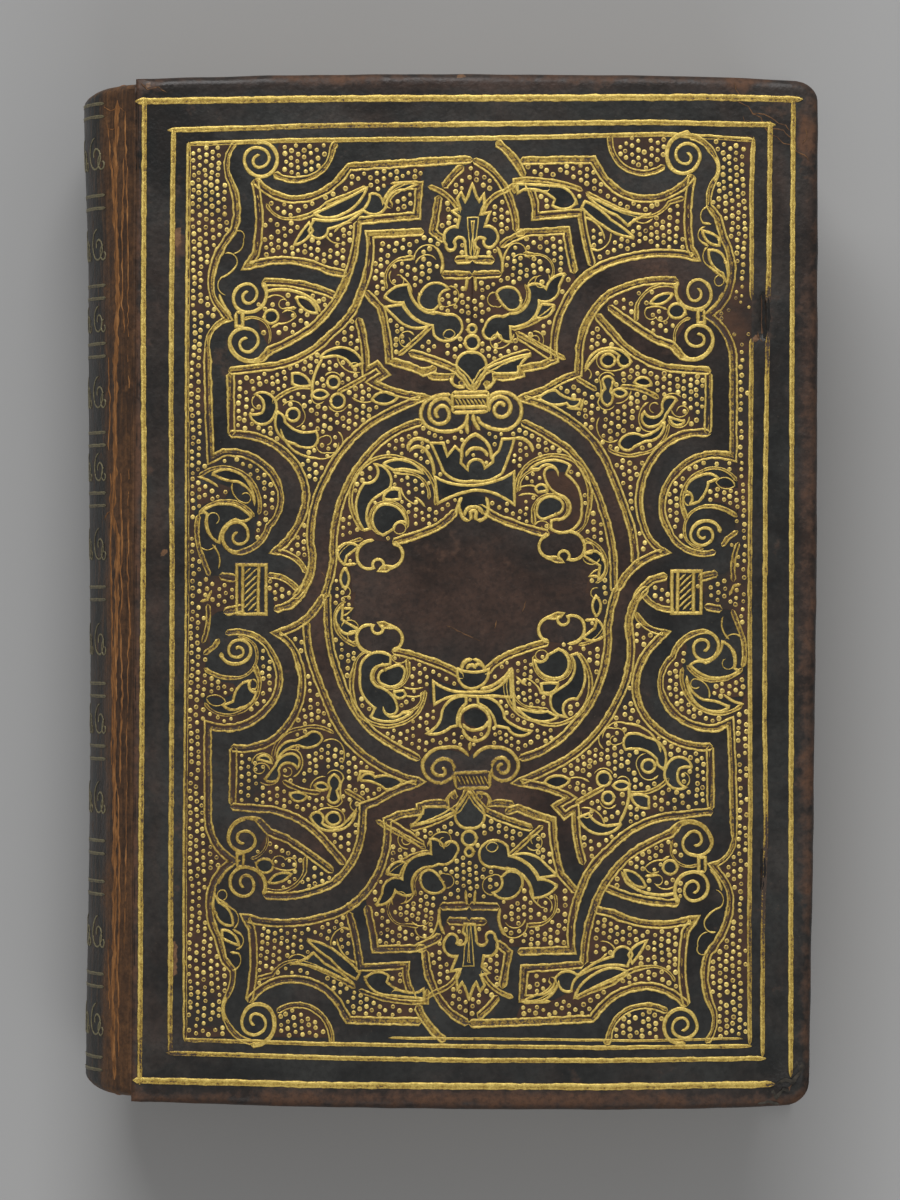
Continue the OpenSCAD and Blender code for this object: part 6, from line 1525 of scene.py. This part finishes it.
# The field inside the frame's inner line, from the middle of the frame: left, right, tail, and
# the head edge as y at a few places
FIELD_LEFT, FIELD_RIGHT, FIELD_TAIL = -47.9, 48.5, -76.4
FIELD_HEAD = ([-48, 0, 35], [76.4, 77.4, 78.2])
# Volutes that carry no dots: whether the strap is over, middle and radius
SMOOTH_ROUNDS = ((True, -39.4, 9.6, 2.9), (False, -40.8, 11.3, 3.5))
ROUND_SIDES = 24


def filled(pile, outline, z):
    """Fills an outline with triangles that look up."""
    points = np.column_stack([outline, np.full(len(outline), z)])
    triangles = geometry.tessellate_polygon([[Vector(p) for p in points]])
    faces = []
    for t in triangles:
        a, b, c = (points[i] for i in t)
        turn = (b[0] - a[0]) * (c[1] - a[1]) - (b[1] - a[1]) * (c[0] - a[0])
        faces.append(t if turn > 0 else (t[0], t[2], t[1]))
    pile.add(points, faces, 0.0)


def clipped(outline):
    """Keeps a field inside the inner line of the frame."""
    x = np.clip(outline[:, 0], FRAME_X + FIELD_LEFT, FRAME_X + FIELD_RIGHT)
    y = np.clip(outline[:, 1], FIELD_TAIL, np.interp(x - FRAME_X, *FIELD_HEAD))
    return np.column_stack([x, y])


def inside(points, outline):
    """Which of the points lie inside the outline."""
    x, y = points[:, 0], points[:, 1]
    hit = np.zeros(len(points), bool)
    x0, y0 = outline[-1]
    for x1, y1 in outline:
        crosses = (y0 > y) != (y1 > y)
        if y1 != y0:
            hit ^= crosses & (x < (x1 - x0) * (y - y0) / (y1 - y0) + x0)
        x0, y0 = x1, y1
    return hit


grounds = []
leaf_outlines = []
for over in (True, False):
    for half in (False, True):
        for path in OVER_GROUNDS if over else UNDER_GROUNDS:
            grounds.append(clipped(in_quarter(trace(path, 1.0), over, half)))
        for path in OVER_LEAVES if over else UNDER_LEAVES:
            leaf_outlines.append(in_quarter(traced_loop(path)[:-1], over, half))
for half in (False, True):
    for path in AXIS_LEAVES:
        leaf_outlines.append(on_axis(traced_loop(path)[:-1], half))
for path in CENTRE_LEAVES + CENTRE_FIELDS:
    leaf_outlines.append(to_book(path)[:-1])
smooth_rounds = []
for over, x, y, radius in SMOOTH_ROUNDS:
    angles = np.arange(ROUND_SIDES) * math.pi / (ROUND_SIDES / 2)
    ring = np.column_stack([x + radius * np.cos(angles), y + radius * np.sin(angles)])
    smooth_rounds += [in_quarter(ring, over, half) for half in (False, True)]

ground_pile = Pile()
for outline in grounds:
    filled(ground_pile, outline, TOP)
ground = ground_pile.make("stippled_ground", "front_cover", ground_leather, False,
                          "front_dotted_ground")
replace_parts(ground, "front_dotted_ground")
leaf_pile = Pile()
for outline in leaf_outlines:
    filled(leaf_pile, outline, TOP + LEAF_LIFT)
leaf_pile.make("smooth_leaves", "front_cover", leaf_leather, False, "front_leather",
               wear=np.zeros(leaf_pile.count), chip=np.zeros(leaf_pile.count),
               tint=np.full(leaf_pile.count, 0.05))


def dot_places():
    """Middles of the dots: columns inside the grounds, clear of every line and leaf."""
    columns = []
    x = -INNER_HALF[0] + 0.4
    odd = False
    while x < INNER_HALF[0] + 1:
        first = -INNER_HALF[1] + (DOT_PITCH / 2 if odd else 0)
        y = np.arange(first, INNER_HALF[1] + 1, DOT_PITCH)
        columns.append(np.column_stack([np.full(len(y), x + FRAME_X), y]))
        x += DOT_COLUMN
        odd = not odd
    places = np.vstack(columns)
    drift = np.column_stack([rough(places, 11, 2), rough(places, 9, 7)])
    places += DOT_DRIFT * drift + RNG.uniform(-DOT_STRAY, DOT_STRAY, places.shape)
    places = places[RNG.random(len(places)) > DOT_MISSING]
    keep = np.zeros(len(places), bool)
    for outline in grounds:
        keep |= inside(places, outline)
    for outline in leaf_outlines + smooth_rounds:
        keep &= ~inside(places, outline)
    places = places[keep]
    lines = np.vstack(barriers)
    tree = flat_tree(lines)
    clear = []
    for p in places:
        near = tree.find_range((p[0], p[1], 0), DOT_REACH)
        clear.append(all(d > lines[i][2] + DOT_RADIUS * DOT_CLEAR for _, i, d in near))
    return places[np.array(clear)]


def stamp_dots(name, places):
    """Domed dots, each a little different in size, height and brightness."""
    pile = Pile()
    sides = DOT_SIDES
    angles = np.arange(sides) * 2 * math.pi / sides
    last = 2 * sides
    faces = grid_faces(3, sides, True) + [(last + i, last + (i + 1) % sides, 3 * sides)
                                          for i in range(sides)]
    wornness = spots(places, FADED)
    for (x, y), thin in zip(places, wornness):
        if RNG.random() < (thin - DOT_WORN) * 1.6:
            continue
        oval = ((x - FRAME_X) / OVAL_HALF[0]) ** 2 + (y / OVAL_HALF[1]) ** 2 < 1
        size = DOT_RADIUS * RNG.uniform(0.82, 1.1) * (1 - 0.35 * min(thin, 1))
        size *= 0.88 if oval else 1.0
        height = DOT_HEIGHT * RNG.uniform(0.55, 1.0)
        bright = RNG.uniform(-0.4, 0.05) - 0.5 * thin
        sunk = RNG.random() < 0.6
        # Rings from the foot to the crown: share of the size, share of the height, and tone
        rings = [(1.0, 0.0, 0.3), (0.8, 0.75, 1.0), (0.42, 0.8 if sunk else 1.0,
                                                     0.55 if sunk else 0.9)]
        crown = (0.45, 0.2) if sunk else (1.02, 0.8)
        points = []
        tones = []
        for share, rise, tone in rings:
            points += [(x + size * share * math.cos(a), y + size * share * math.sin(a),
                        TOP - 0.02 + height * rise) for a in angles]
            tones += [tone + bright] * sides
        points.append((x, y, TOP - 0.02 + height * crown[0]))
        tones.append(crown[1] + bright)
        pile.add(points, faces, tones)
    return pile.make(name, "front_cover", gold_dots, slot="front_dotted_ground")


dots = dot_places()
print("dots:", len(dots))

# Cracks in the leather at the corners and in the border: thin raised edges of raw leather
CRACK_PROFILE = [(-1, 0.0, 0.2), (-0.4, 0.06, 0.8), (0.4, 0.06, 0.8), (1, 0.0, 0.2)]
CRACKS = [
    [(45.4, 87.4), (45.6, 86.2), (46.4, 84.9), (46.2, 83.9), (47.8, 83.2), (48.6, 82.0),
     (50.0, 81.2), (50.3, 80.2), (52.0, 79.4), (53.8, 79.2), (54.6, 78.2), (55.9, 77.6)],
    [(48.6, 82.0), (50.4, 81.9), (51.8, 81.3), (53.0, 80.3), (54.2, 80.0), (55.0, 79.0)],
    [(50.3, 80.2), (51.4, 78.6), (52.8, 77.9), (53.9, 76.9), (55.2, 76.6), (56.2, 75.4),
     (57.4, 75.0), (58.2, 74.0)],
    [(46.9, 81.6), (47.2, 80.6), (48.4, 80.9)],
    [(57.0, 76.8), (57.9, 77.9), (57.6, 79.6)],
    [(49.6, 44.8), (49.8, 43.7), (50.4, 43.0)],
    [(-56.2, 86.8), (-55.0, 85.6), (-53.2, 86.0), (-51.6, 85.0)],
    [(-25, 3.6), (-24, 2.0)], [(-15.6, -11.2), (-15.0, -12.6)], [(-3.4, -5.8), (2.6, -8.6)],
    [(4.8, -6.4), (5.2, -4.8)], [(9.6, -3.4), (10.2, -1.6)], [(-12, -11.6), (-11.2, -9.4)],
]
# Painted shade in the tie slits: dark strips along them
SLIT_SHADE_STRIPS = [
    [(50.5, 51.4), (50.6, 49), (50.5, 46.4), (50.8, 44.0), (51.4, 43.4)],
    [(51.3, 50.6), (51.5, 47.2), (51.3, 44.8)],
    [(50.7, -43.8), (50.9, -47.4), (50.9, -50.8)],
    [(51.1, -45.2), (51.2, -48.8)],
]
# Flaking leather at the lower corner
FLAKES = [
    [(51.6, -86.2), (52.8, -85.5), (53.4, -86.3), (54.6, -84.9), (55.9, -85.2)],
    [(53.6, -83.9), (55.0, -83.1), (56.2, -83.6), (57.4, -82.0), (57.8, -80.2)],
    [(56.0, -81.6), (56.9, -80.4), (56.4, -78.8)],
    [(50.2, -87.4), (52.0, -86.9), (53.9, -87.5)],
]


def cracked_leather(name, paths, half_width, height, material):
    """Ragged edges of leather along the paths, height over the face of the cover."""
    pile = Pile()
    for k, path in enumerate(paths):
        points = trace(path, 0.25)
        points[:, 0] += FRAME_X + 0.12 * rough(points[:, :2], 0.9, k)
        points[:, 1] += 0.12 * rough(points[:, :2], 0.8, k + 3)
        tooled_line(pile, points, half_width * (1 + 0.6 * rough(points[:, :2], 1.1, k)),
                    CRACK_PROFILE, taper=0.8, seed=k, base=TOP + height)
    return pile.make(name, "front_cover", material, slot="front_leather")


def crack_material(name, dark, light):
    n = Nodes(name)
    colour = n.ramp(n.noise(900, 5, 0.7), [(0.35, dark), (0.65, light)])
    return n.finish(colour, 0.75, n.bump(n.noise(2200, 4, 0.7), 0.0001, 0.7), specular=0.25)


crack_edge = crack_material("crack_edge", (0.035, 0.020, 0.012), (0.17, 0.085, 0.035))
flake_edge = crack_material("flake_edge", (0.012, 0.011, 0.009), (0.055, 0.047, 0.036))
cracked_leather("leather_cracks", CRACKS, 0.1, -0.06, crack_edge)
cracked_leather("leather_flakes", FLAKES, 0.3, -0.25, flake_edge)
# Nearly black strips along the tie slits: painted shade inside the slits
slit_shade = crack_material("slit_shade", (0.004, 0.004, 0.004), (0.012, 0.010, 0.008))
cracked_leather("slit_edges", SLIT_SHADE_STRIPS, 0.26, -0.03, slit_shade)
stamp_dots("gold_dots_head", dots[dots[:, 1] >= 0])
stamp_dots("gold_dots_tail", dots[dots[:, 1] < 0])


# Pages
# How deep the fore edge is hollowed, how many rings the block has, and how far leaves stand back
HOLLOW = 2.5
PAGE_LEVELS = 110
LEAF_BACK = 0.16


def page_block():
    """The block of leaves: its three open edges are ribbed as the leaf edges are."""
    low_z, high_z = PAGES_LOW[2], PAGES_HIGH[2]
    left, right = PAGES_LOW[0], PAGES_HIGH[0]
    half = PAGES_HIGH[1]
    middle = (low_z + high_z) / 2
    half_z = (high_z - low_z) / 2
    zs = np.linspace(low_z, high_z, PAGE_LEVELS)
    spine_depth = BOARD_LEFT - 0.4 - left
    spine_radius = (half_z**2 + spine_depth**2) / (2 * spine_depth)
    rows = []
    jitter, jitter_head, jitter_tail = (RNG.uniform(-LEAF_BACK, 0.0, PAGE_LEVELS)
                                        for _ in range(3))
    for k, z in enumerate(zs):
        spine_x = left + spine_radius - math.sqrt(spine_radius**2 - (z - middle) ** 2)
        fore = right - HOLLOW * (1 - ((z - middle) / half_z) ** 2) + jitter[k]
        head = half + jitter_head[k]
        tail = -half - jitter_tail[k]
        bottom = [(spine_x + (fore - spine_x) * s, tail) for s in np.linspace(0, 1, 60)]
        edge = [(fore, tail + (head - tail) * s) for s in np.linspace(0, 1, 90)[1:]]
        top = [(fore + (spine_x - fore) * s, head) for s in np.linspace(0, 1, 60)[1:]]
        back = [(spine_x, head + (tail - head) * s) for s in np.linspace(0, 1, 12)[1:-1]]
        loop = np.array(bottom + edge + top + back)
        wave = 0.1 * rough(np.column_stack([loop, np.full(len(loop), z)]), 9, 2)
        loop[:, 0] += np.where(loop[:, 0] > spine_x + 0.5, -np.abs(wave), 0)
        rows.append(np.column_stack([loop, np.full(len(loop), z)]))
    rings = np.array(rows)
    count = rings.shape[1]
    points = rings.reshape(-1, 3)
    faces = grid_faces(PAGE_LEVELS, count, True)
    cap_low = tuple(range(count - 1, -1, -1))
    cap_high = tuple((PAGE_LEVELS - 1) * count + i for i in range(count))
    return piece("page_leaves", "text_block", page_edges, points, [*faces, cap_low, cap_high],
                 False, "pages")


page_edges = paper_material("page_edges", (0.56, 0.43, 0.26), (0.30, 0.19, 0.10),
                            (60.0, 60.0, 4200.0))
leaves = page_block()
# Its two flat faces are the first and the last leaf
leaves.data.materials.append(paper_material("end_leaves", (0.60, 0.47, 0.29),
                                            (0.44, 0.31, 0.17)))
for face in leaves.data.polygons:
    if len(face.vertices) > 4:
        face.material_index = 1
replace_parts(leaves, "pages")


# Endbands: thread wound over a cord, in bands of four turns
THREAD_PITCH = 0.62
THREAD_TURNS = 4
THREAD_RINGS = 340
THREAD_SIDES = 20


def endband(node):
    low, high = mm_box(node)
    along = np.linspace(low[2] + 0.3, high[2] - 0.3, THREAD_RINGS)
    x_mid = (low[0] + high[0]) / 2
    y_mid = (low[1] + high[1]) / 2
    radius = min(high[0] - low[0], high[1] - low[1]) / 2
    sides = THREAD_SIDES
    angles = np.arange(sides) * 2 * math.pi / sides
    rings = []
    for z in along:
        wound = 0.12 * abs(math.sin(z * math.pi / THREAD_PITCH + 0.4 * math.sin(z)))
        r = radius - 0.14 + wound
        rings.append([(x_mid + r * math.cos(a), y_mid + r * math.sin(a), z + 0.1 * math.cos(a))
                      for a in angles])
    points = np.array(rings).reshape(-1, 3)
    faces = grid_faces(len(along), sides, True)
    faces.append(tuple(range(sides - 1, -1, -1)))
    faces.append(tuple((len(along) - 1) * sides + i for i in range(sides)))
    winding = np.repeat(np.floor(along / (THREAD_TURNS * THREAD_PITCH)) % 2, sides)
    return piece(f"{node}_thread", "text_block", band_thread, points, faces, True, "endbands",
                 tone=winding)


def thread_material():
    n = Nodes("endband_thread")
    colour = n.mix(n.attribute("tone"), (0.42, 0.33, 0.2), (0.20, 0.09, 0.04))
    colour = n.mix(n.ramp(n.noise(300, 4), [(0.4, 0.0), (0.7, 0.6)]), colour, (0.1, 0.06, 0.03))
    normal = n.bump(n.noise(2400, 3), 0.00008, 0.6)
    return n.finish(colour, 0.85, normal, specular=0.2)


band_thread = thread_material()


# The spine
def spine_sink(points):
    """How far the leather has sunk under the round of the spine."""
    outer = smoothstep(SPINE_CENTRE - 18, SPINE_CENTRE - 22, points[:, 0])
    sag = 0.75 * np.exp(-((points[:, 1] + 25) / 52) ** 2) * outer
    flare = 0.85 * smoothstep(52, 84, points[:, 1]) * outer
    return 0.06 + sag - flare + 0.1 * np.maximum(rough(points, 22, 3), 0) + 0.06 * np.abs(
        rough(points, 4, 7))


# Places of the pairs of gold lines across the spine, for a book of the drawn height
SPINE_PAIRS = [-81.5, -67.2, -51.3, -44.3, -28, -17.2, -0.6, 15.6, 26, 41.3, 51.3, 66.8, 82.5]
# Long cracks in the leather of the joint: x at a few places down the spine, and half width
JOINT_CRACKS = [
    ([(-56.9, 84), (-57.2, 66), (-56.6, 50), (-57.1, 34), (-57.0, 20), (-57.5, 13), (-56.4, 9),
      (-56.7, -8), (-56.9, -30), (-56.7, -52), (-57.0, -70), (-56.6, -84)], 0.36),
    ([(-55.4, 82), (-54.9, 60), (-54.7, 40), (-54.4, 18), (-54.5, 4), (-54.2, -6), (-54.6, -22),
      (-54.5, -44), (-54.8, -62)], 0.14),
    ([(-57.9, 20), (-57.6, 10), (-57.8, 0), (-57.3, -12), (-57.5, -30)], 0.16),
    ([(-55.7, 74), (-55.9, 56), (-55.6, 44)], 0.12),
    ([(-56.0, 20), (-55.7, 8), (-55.8, -6), (-55.5, -18), (-55.9, -34)], 0.14),
    ([(-58.4, 80), (-57.8, 72), (-57.4, 66)], 0.12), ([(-57.4, 66), (-56.9, 62)], 0.12),
    ([(-56.2, -34), (-55.8, -50), (-56.1, -66), (-55.8, -80)], 0.15),
    ([(-58.9, 83), (-57.8, 82.2), (-56.6, 82.9), (-55.6, 82.0)], 0.1),
    ([(-58.6, 79.4), (-57.6, 79.0), (-56.4, 79.8)], 0.1),
    ([(-58.3, 40), (-58.0, 30), (-58.4, 24)], 0.1), ([(-58.0, -60), (-57.6, -72)], 0.12),
    ([(-57.6, 13.6), (-58.6, 13.2), (-59.2, 12)], 0.1),
]


# The spine leather: points round and along it, its thickness, the round at head and tail
SPINE_COLUMNS = 110
SPINE_STEP = 0.9
SPINE_STEPS = [0, 0.15, 0.4, 0.8, 1.3, 2.0]
SPINE_LEATHER = 1.2
END_ROUND = 1.4
# How deep the outer face may sink into the leather, and how far the ends slope
LARGEST_SINK = 1.1
END_SLOPE = 1.5


def spine_end(x):
    """Half the height of the spine leather at x: its capped ends slope to the outer side."""
    out = np.clip((BOARD_LEFT - x) / SPINE_DEPTH, 0, 1)
    return SPINE_HIGH[1] - END_SLOPE * out**3


def spine_shell():
    """The leather of the spine: an arc from joint to joint, worn brown towards the covers."""
    half_angle = math.asin(SPINE_HALF / SPINE_RADIUS)
    angles = np.linspace(-half_angle, half_angle, SPINE_COLUMNS)
    half_y = SPINE_HIGH[1]
    ys = spread(-half_y, half_y, SPINE_STEP, SPINE_STEPS)
    x = SPINE_CENTRE - SPINE_RADIUS * np.cos(angles)
    z = MIDDLE_Z + SPINE_RADIUS * np.sin(angles)
    points = np.vstack([np.column_stack([x, y / half_y * spine_end(x), z]) for y in ys])
    brown = smoothstep(SPINE_CENTRE - 21.3, SPINE_CENTRE - 19.1,
                       points[:, 0] + 0.7 * rough(points, 9, 4))
    unit = np.column_stack([points[:, 0] - SPINE_CENTRE, np.zeros(len(points)),
                            points[:, 2] - MIDDLE_Z]) / SPINE_RADIUS
    sink = spine_sink(points)
    half_out = np.abs(points[:, 1]) - (spine_end(points[:, 0]) - END_ROUND)
    edge_fall = np.where(half_out > 0, END_ROUND - np.sqrt(
        np.maximum(END_ROUND**2 - half_out**2, 0)), 0)
    sink += np.clip(edge_fall, 0, LARGEST_SINK)
    outer = points - unit * np.minimum(sink, LARGEST_SINK)[:, None]
    inner = points - unit * SPINE_LEATHER
    count = len(points)
    rows, columns = len(ys), len(angles)
    faces = turned_over(grid_faces(rows, columns))
    under = [tuple(i + count for i in reversed(f)) for f in faces]
    rim = rim_of(rows, columns)
    sides = [(j, j + count, i + count, i) for i, j in zip(rim, [*rim[1:], rim[0]])]
    brown = np.concatenate([brown, brown])
    ends = np.concatenate([edge_fall, edge_fall]) > 0.05
    return piece("spine_cover", "text_block", spine_leather, np.vstack([outer, inner]),
                 faces + under + sides, True, "spine_leather", wear=0.12 * brown + 0.3 * ends,
                 chip=brown * 0, tint=brown * 1.3)


spine_leather = leather_material("spine_cover_leather", ((0.008, 0.009, 0.0085),
                                 (0.022, 0.023, 0.021)), ((0.032, 0.017, 0.010),
                                 (0.098, 0.045, 0.018)), (0.155, 0.070, 0.024),
                                 (0.30, 0.14, 0.055), gloss=0.42, streaks=0.55)
spine = spine_shell()
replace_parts(spine, "spine_leather")


def over_joint(points, height):
    """Lays flat points on the upper side of the spine."""
    rise = np.sqrt(np.maximum(SPINE_RADIUS**2 - (SPINE_CENTRE - points[:, 0]) ** 2, 0))
    nominal = np.column_stack([points, MIDDLE_Z + rise])
    unit = np.column_stack([points[:, 0] - SPINE_CENTRE, points[:, 1] * 0, rise]) / SPINE_RADIUS
    return nominal + unit * (height - spine_sink(nominal))[:, None]


def joint_cracks():
    """The cracks in the leather of the front joint."""
    pile = Pile()
    for k, (path, half_width) in enumerate(JOINT_CRACKS):
        points = trace(path, 0.35)
        points[:, 0] += 0.28 * rough(points[:, :2], 4.0, k) + 0.16 * rough(points[:, :2], 1.2, k)
        tooled_line(pile, points, half_width * (1 + 0.7 * rough(points[:, :2], 2.2, k + 5)),
                    CRACK_PROFILE, taper=2.0, seed=k, surface=over_joint)
    return pile.make("joint_cracks", "text_block", crack_tan, slot="spine_leather")


def crack_tan_material():
    n = Nodes("crack_tan")
    streak = n.noise(1.0, 5, 0.7, 0.4, n.stretched(2200, 260, 2200))
    colour = n.ramp(streak, [(0.34, (0.055, 0.026, 0.012)), (0.5, (0.19, 0.078, 0.021)),
                             (0.72, (0.36, 0.172, 0.058))])
    return n.finish(colour, 0.7, n.bump(streak, 0.0002, 0.7), specular=0.3)


crack_tan = crack_tan_material()
joint_cracks()


def on_spine(points, height):
    """Wraps flat points, arc length and y, on the round of the spine."""
    angle = points[:, 0] / SPINE_RADIUS
    nominal = np.column_stack([SPINE_CENTRE - SPINE_RADIUS * np.cos(angle), points[:, 1],
                               MIDDLE_Z + SPINE_RADIUS * np.sin(angle)])
    radius = SPINE_RADIUS + height - spine_sink(nominal)
    return np.column_stack([SPINE_CENTRE - radius * np.cos(angle), points[:, 1],
                            MIDDLE_Z + radius * np.sin(angle)])


# Tooling of the spine: how far its lines reach from the middle, half the distance of a pair,
# places of the curls and the largest and the least size that they are drawn at
SPINE_REACH = 13.6
PAIR_HALF = 1.1
CURL_PLACES = (-10.5, -3.5, 3.5, 10.5)
CURL_POINTS = 26
LARGEST_CURL = 3.2
LEAST_CURL = 1.2
# Room that a curl leaves to the pairs of lines
CURL_MARGIN = 2.4


def curl(x, y, size, hand, turns=1.3):
    """A small spiral leaf of the spine's tooling."""
    steps = np.linspace(0, 1, CURL_POINTS)
    angle = hand * (turns * 2 * math.pi * steps) + math.pi / 2
    radius = size * (1 - 0.8 * steps)
    return np.column_stack([x + radius * np.cos(angle) * hand, y + radius * np.sin(angle),
                            np.full(CURL_POINTS, STRAIGHT)])


def spine_tooling():
    """Pairs of lines across the spine, with small curls between them."""
    pile = Pile()
    scale = HALF_HEIGHT / (DRAWN_HEIGHT / 2)
    for middle in SPINE_PAIRS:
        for side in (-PAIR_HALF, PAIR_HALF):
            y = middle * scale + side
            line = trace([(-SPINE_REACH, y), (SPINE_REACH, y)], 0.8)
            tooled_line(pile, line, 0.3, FRAME_PROFILE, taper=1.0, seed=y, surface=on_spine)
    for k, (a, b) in enumerate(zip(SPINE_PAIRS, SPINE_PAIRS[1:])):
        y = (a + b) / 2 * scale
        size = min((b - a) / 2 * scale - CURL_MARGIN, LARGEST_CURL)
        if size < LEAST_CURL:
            continue
        for u in CURL_PLACES:
            hand = 1 if u > 0 else -1
            tooled_line(pile, curl(u, y, size, hand), 0.2, CURL_PROFILE, taper=0.5, seed=k,
                        surface=on_spine)
            tooled_line(pile, curl(u + hand * 2.2, y - size * 0.4, size * 0.5, -hand, 1.0),
                        0.18, CURL_PROFILE, taper=0.4, seed=k + 2, surface=on_spine)
    pile.faces = turned_over(pile.faces)
    return pile.make("spine_gold", "text_block", gold_dull, slot="spine_gilding")


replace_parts(spine_tooling(), "spine_gilding")


# The joints: thin worn skins that bridge the hinge on each side, blended between spine and cover
def joint_skin(name, z_at, up):
    ys = np.linspace(-SPINE_HIGH[1] + 0.8, SPINE_HIGH[1] - 0.8, 190)
    xs = np.array([-1.3, -1.0, -0.75, -0.5, -0.3, -0.1, 0.1, 0.25, 0.4, 0.55])
    points = np.array([(BOARD_LEFT + d, y, 0) for y in ys for d in xs])
    drop = np.where(points[:, 0] < BOARD_LEFT, (BOARD_LEFT - points[:, 0]) * 0.9 + 0.3,
                    0.3 - (points[:, 0] - BOARD_LEFT) * 0.4)
    crease = 0.3 * np.exp(-((points[:, 0] - BOARD_LEFT - 0.1) / 0.2) ** 2)
    ripple = 0.06 * np.abs(rough(points, 1.8, 5))
    points[:, 2] = z_at - (drop + crease + ripple) if up else z_at + drop + crease + ripple
    faces = grid_faces(len(ys), len(xs))
    if not up:
        faces = turned_over(faces)
    obj = piece(name, None, spine_leather, points, faces, True, "spine_leather",
                wear=np.full(len(points), 0.1), chip=points[:, 0] * 0,
                tint=np.where(points[:, 0] < BOARD_LEFT + 0.15, 1.2, 0.3))
    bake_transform(obj)
    return obj


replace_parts(endband("head_endband"), "head_endband")
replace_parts(endband("tail_endband"), "tail_endband")
joint_skin("front_joint", TOP, True)
joint_skin("back_joint", 0, False)


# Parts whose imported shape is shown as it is
def board_material():
    n = Nodes("board")
    colour = n.ramp(n.noise(120, 5, 0.6), [(0.35, (0.07, 0.035, 0.02)),
                                           (0.65, (0.15, 0.085, 0.05))])
    return n.finish(colour, 0.85, n.bump(n.noise(900, 4, 0.6), 0.0002, 0.7), specular=0.2)


def lining_material():
    n = Nodes("spine_lining")
    colour = n.ramp(n.noise(90, 5, 0.6), [(0.35, (0.16, 0.11, 0.07)),
                                          (0.65, (0.3, 0.22, 0.14))])
    return n.finish(colour, 0.9, n.bump(n.noise(1200, 3), 0.0001, 0.6), specular=0.2)


def cord_material():
    n = Nodes("sewing_cord")
    twist = n.node("ShaderNodeTexWave", bands_direction="DIAGONAL")
    n.link(n.place, twist.inputs["Vector"])
    twist.inputs["Scale"].default_value = 900
    twist.inputs["Distortion"].default_value = 2
    colour = n.mix(twist.outputs["Fac"], (0.24, 0.17, 0.1), (0.42, 0.33, 0.2))
    return n.finish(colour, 0.85, n.bump(twist.outputs["Fac"], 0.0002, 0.7), specular=0.2)


paste_paper = paper_material("pastedown_paper", (0.60, 0.47, 0.30), (0.46, 0.33, 0.19))
board_fibre = board_material()
for nodes, material in ((("front_board", "back_board"), board_fibre),
                        (("front_pastedown", "back_pastedown"), paste_paper),
                        (("spine_lining",), lining_material()),
                        (("sewing_supports",), cord_material())):
    for node in nodes:
        for slot in bpy.data.objects[node].material_slots:
            slot.material = material


# The room: floor, lamps and camera, in metres and watts
FLOOR_SIZE = 6
FLOOR_Z = -0.0002
KEY_POWER = 15
FILL_POWER = 4.6
ROOM_LIGHT = 0.35


def floor_material():
    n = Nodes("floor")
    parts = n.node("ShaderNodeSeparateXYZ")
    n.link(n.place, parts.inputs[0])
    # Painted light: the floor's grey rises towards the right and the bottom, lifting the shadows
    # that the book casts there
    slope = n.sum(parts.outputs[0], parts.outputs[1], "SUBTRACT")
    slope = n.sum(slope, n.sum(n.noise(6, 3), 0.05, "MULTIPLY"))
    colour = n.ramp(n.sum(slope, 0.15), [(0.05, (0.30, 0.30, 0.30)), (0.36, (0.37, 0.37, 0.37))])
    return n.finish(colour, 0.9, specular=0.1)


bpy.ops.mesh.primitive_plane_add(size=FLOOR_SIZE, location=(0, 0, FLOOR_Z))
floor = bpy.context.object
floor.name = "floor"
floor.data.materials.append(floor_material())


def lamp(name, place, size, power, aim=(0, 0, 0.02)):
    light = bpy.data.lights.new(name, "AREA")
    light.shape = "RECTANGLE"
    light.size, light.size_y = size
    light.energy = power
    obj = bpy.data.objects.new(name, light)
    obj.location = place
    obj.rotation_euler = (Vector(aim) - Vector(place)).to_track_quat("-Z", "Y").to_euler()
    bpy.context.scene.collection.objects.link(obj)


lamp("key", (-0.12, 0.95, 0.85), (0.9, 0.5), KEY_POWER)
lamp("fill", (0.2, -0.9, 1.1), (1.0, 0.8), FILL_POWER)

world = bpy.data.worlds.new("room")
world.use_nodes = True
background = world.node_tree.nodes["Background"]
background.inputs["Color"].default_value = (1, 1, 1, 1)
background.inputs["Strength"].default_value = ROOM_LIGHT
bpy.context.scene.world = world

# The camera looks straight down on the cover; what it shows is turned a little clockwise
CAMERA_DISTANCE = 1.2
CAMERA_AT = (0.00067, -0.00145)
CAMERA_TURN = math.radians(0.272)
PIXELS_PER_MM = 5.847
PHOTO_HEIGHT = 1200
SENSOR = 36
camera_data = bpy.data.cameras.new("camera")
camera_data.sensor_width = SENSOR
camera_data.lens = PIXELS_PER_MM / MM * CAMERA_DISTANCE / PHOTO_HEIGHT * SENSOR
camera = bpy.data.objects.new("camera", camera_data)
camera.location = (*CAMERA_AT, TOP * MM + CAMERA_DISTANCE)
camera.rotation_euler = (0, 0, CAMERA_TURN)
bpy.context.scene.collection.objects.link(camera)
bpy.context.scene.camera = camera
bpy.context.scene.view_settings.view_transform = "Standard"
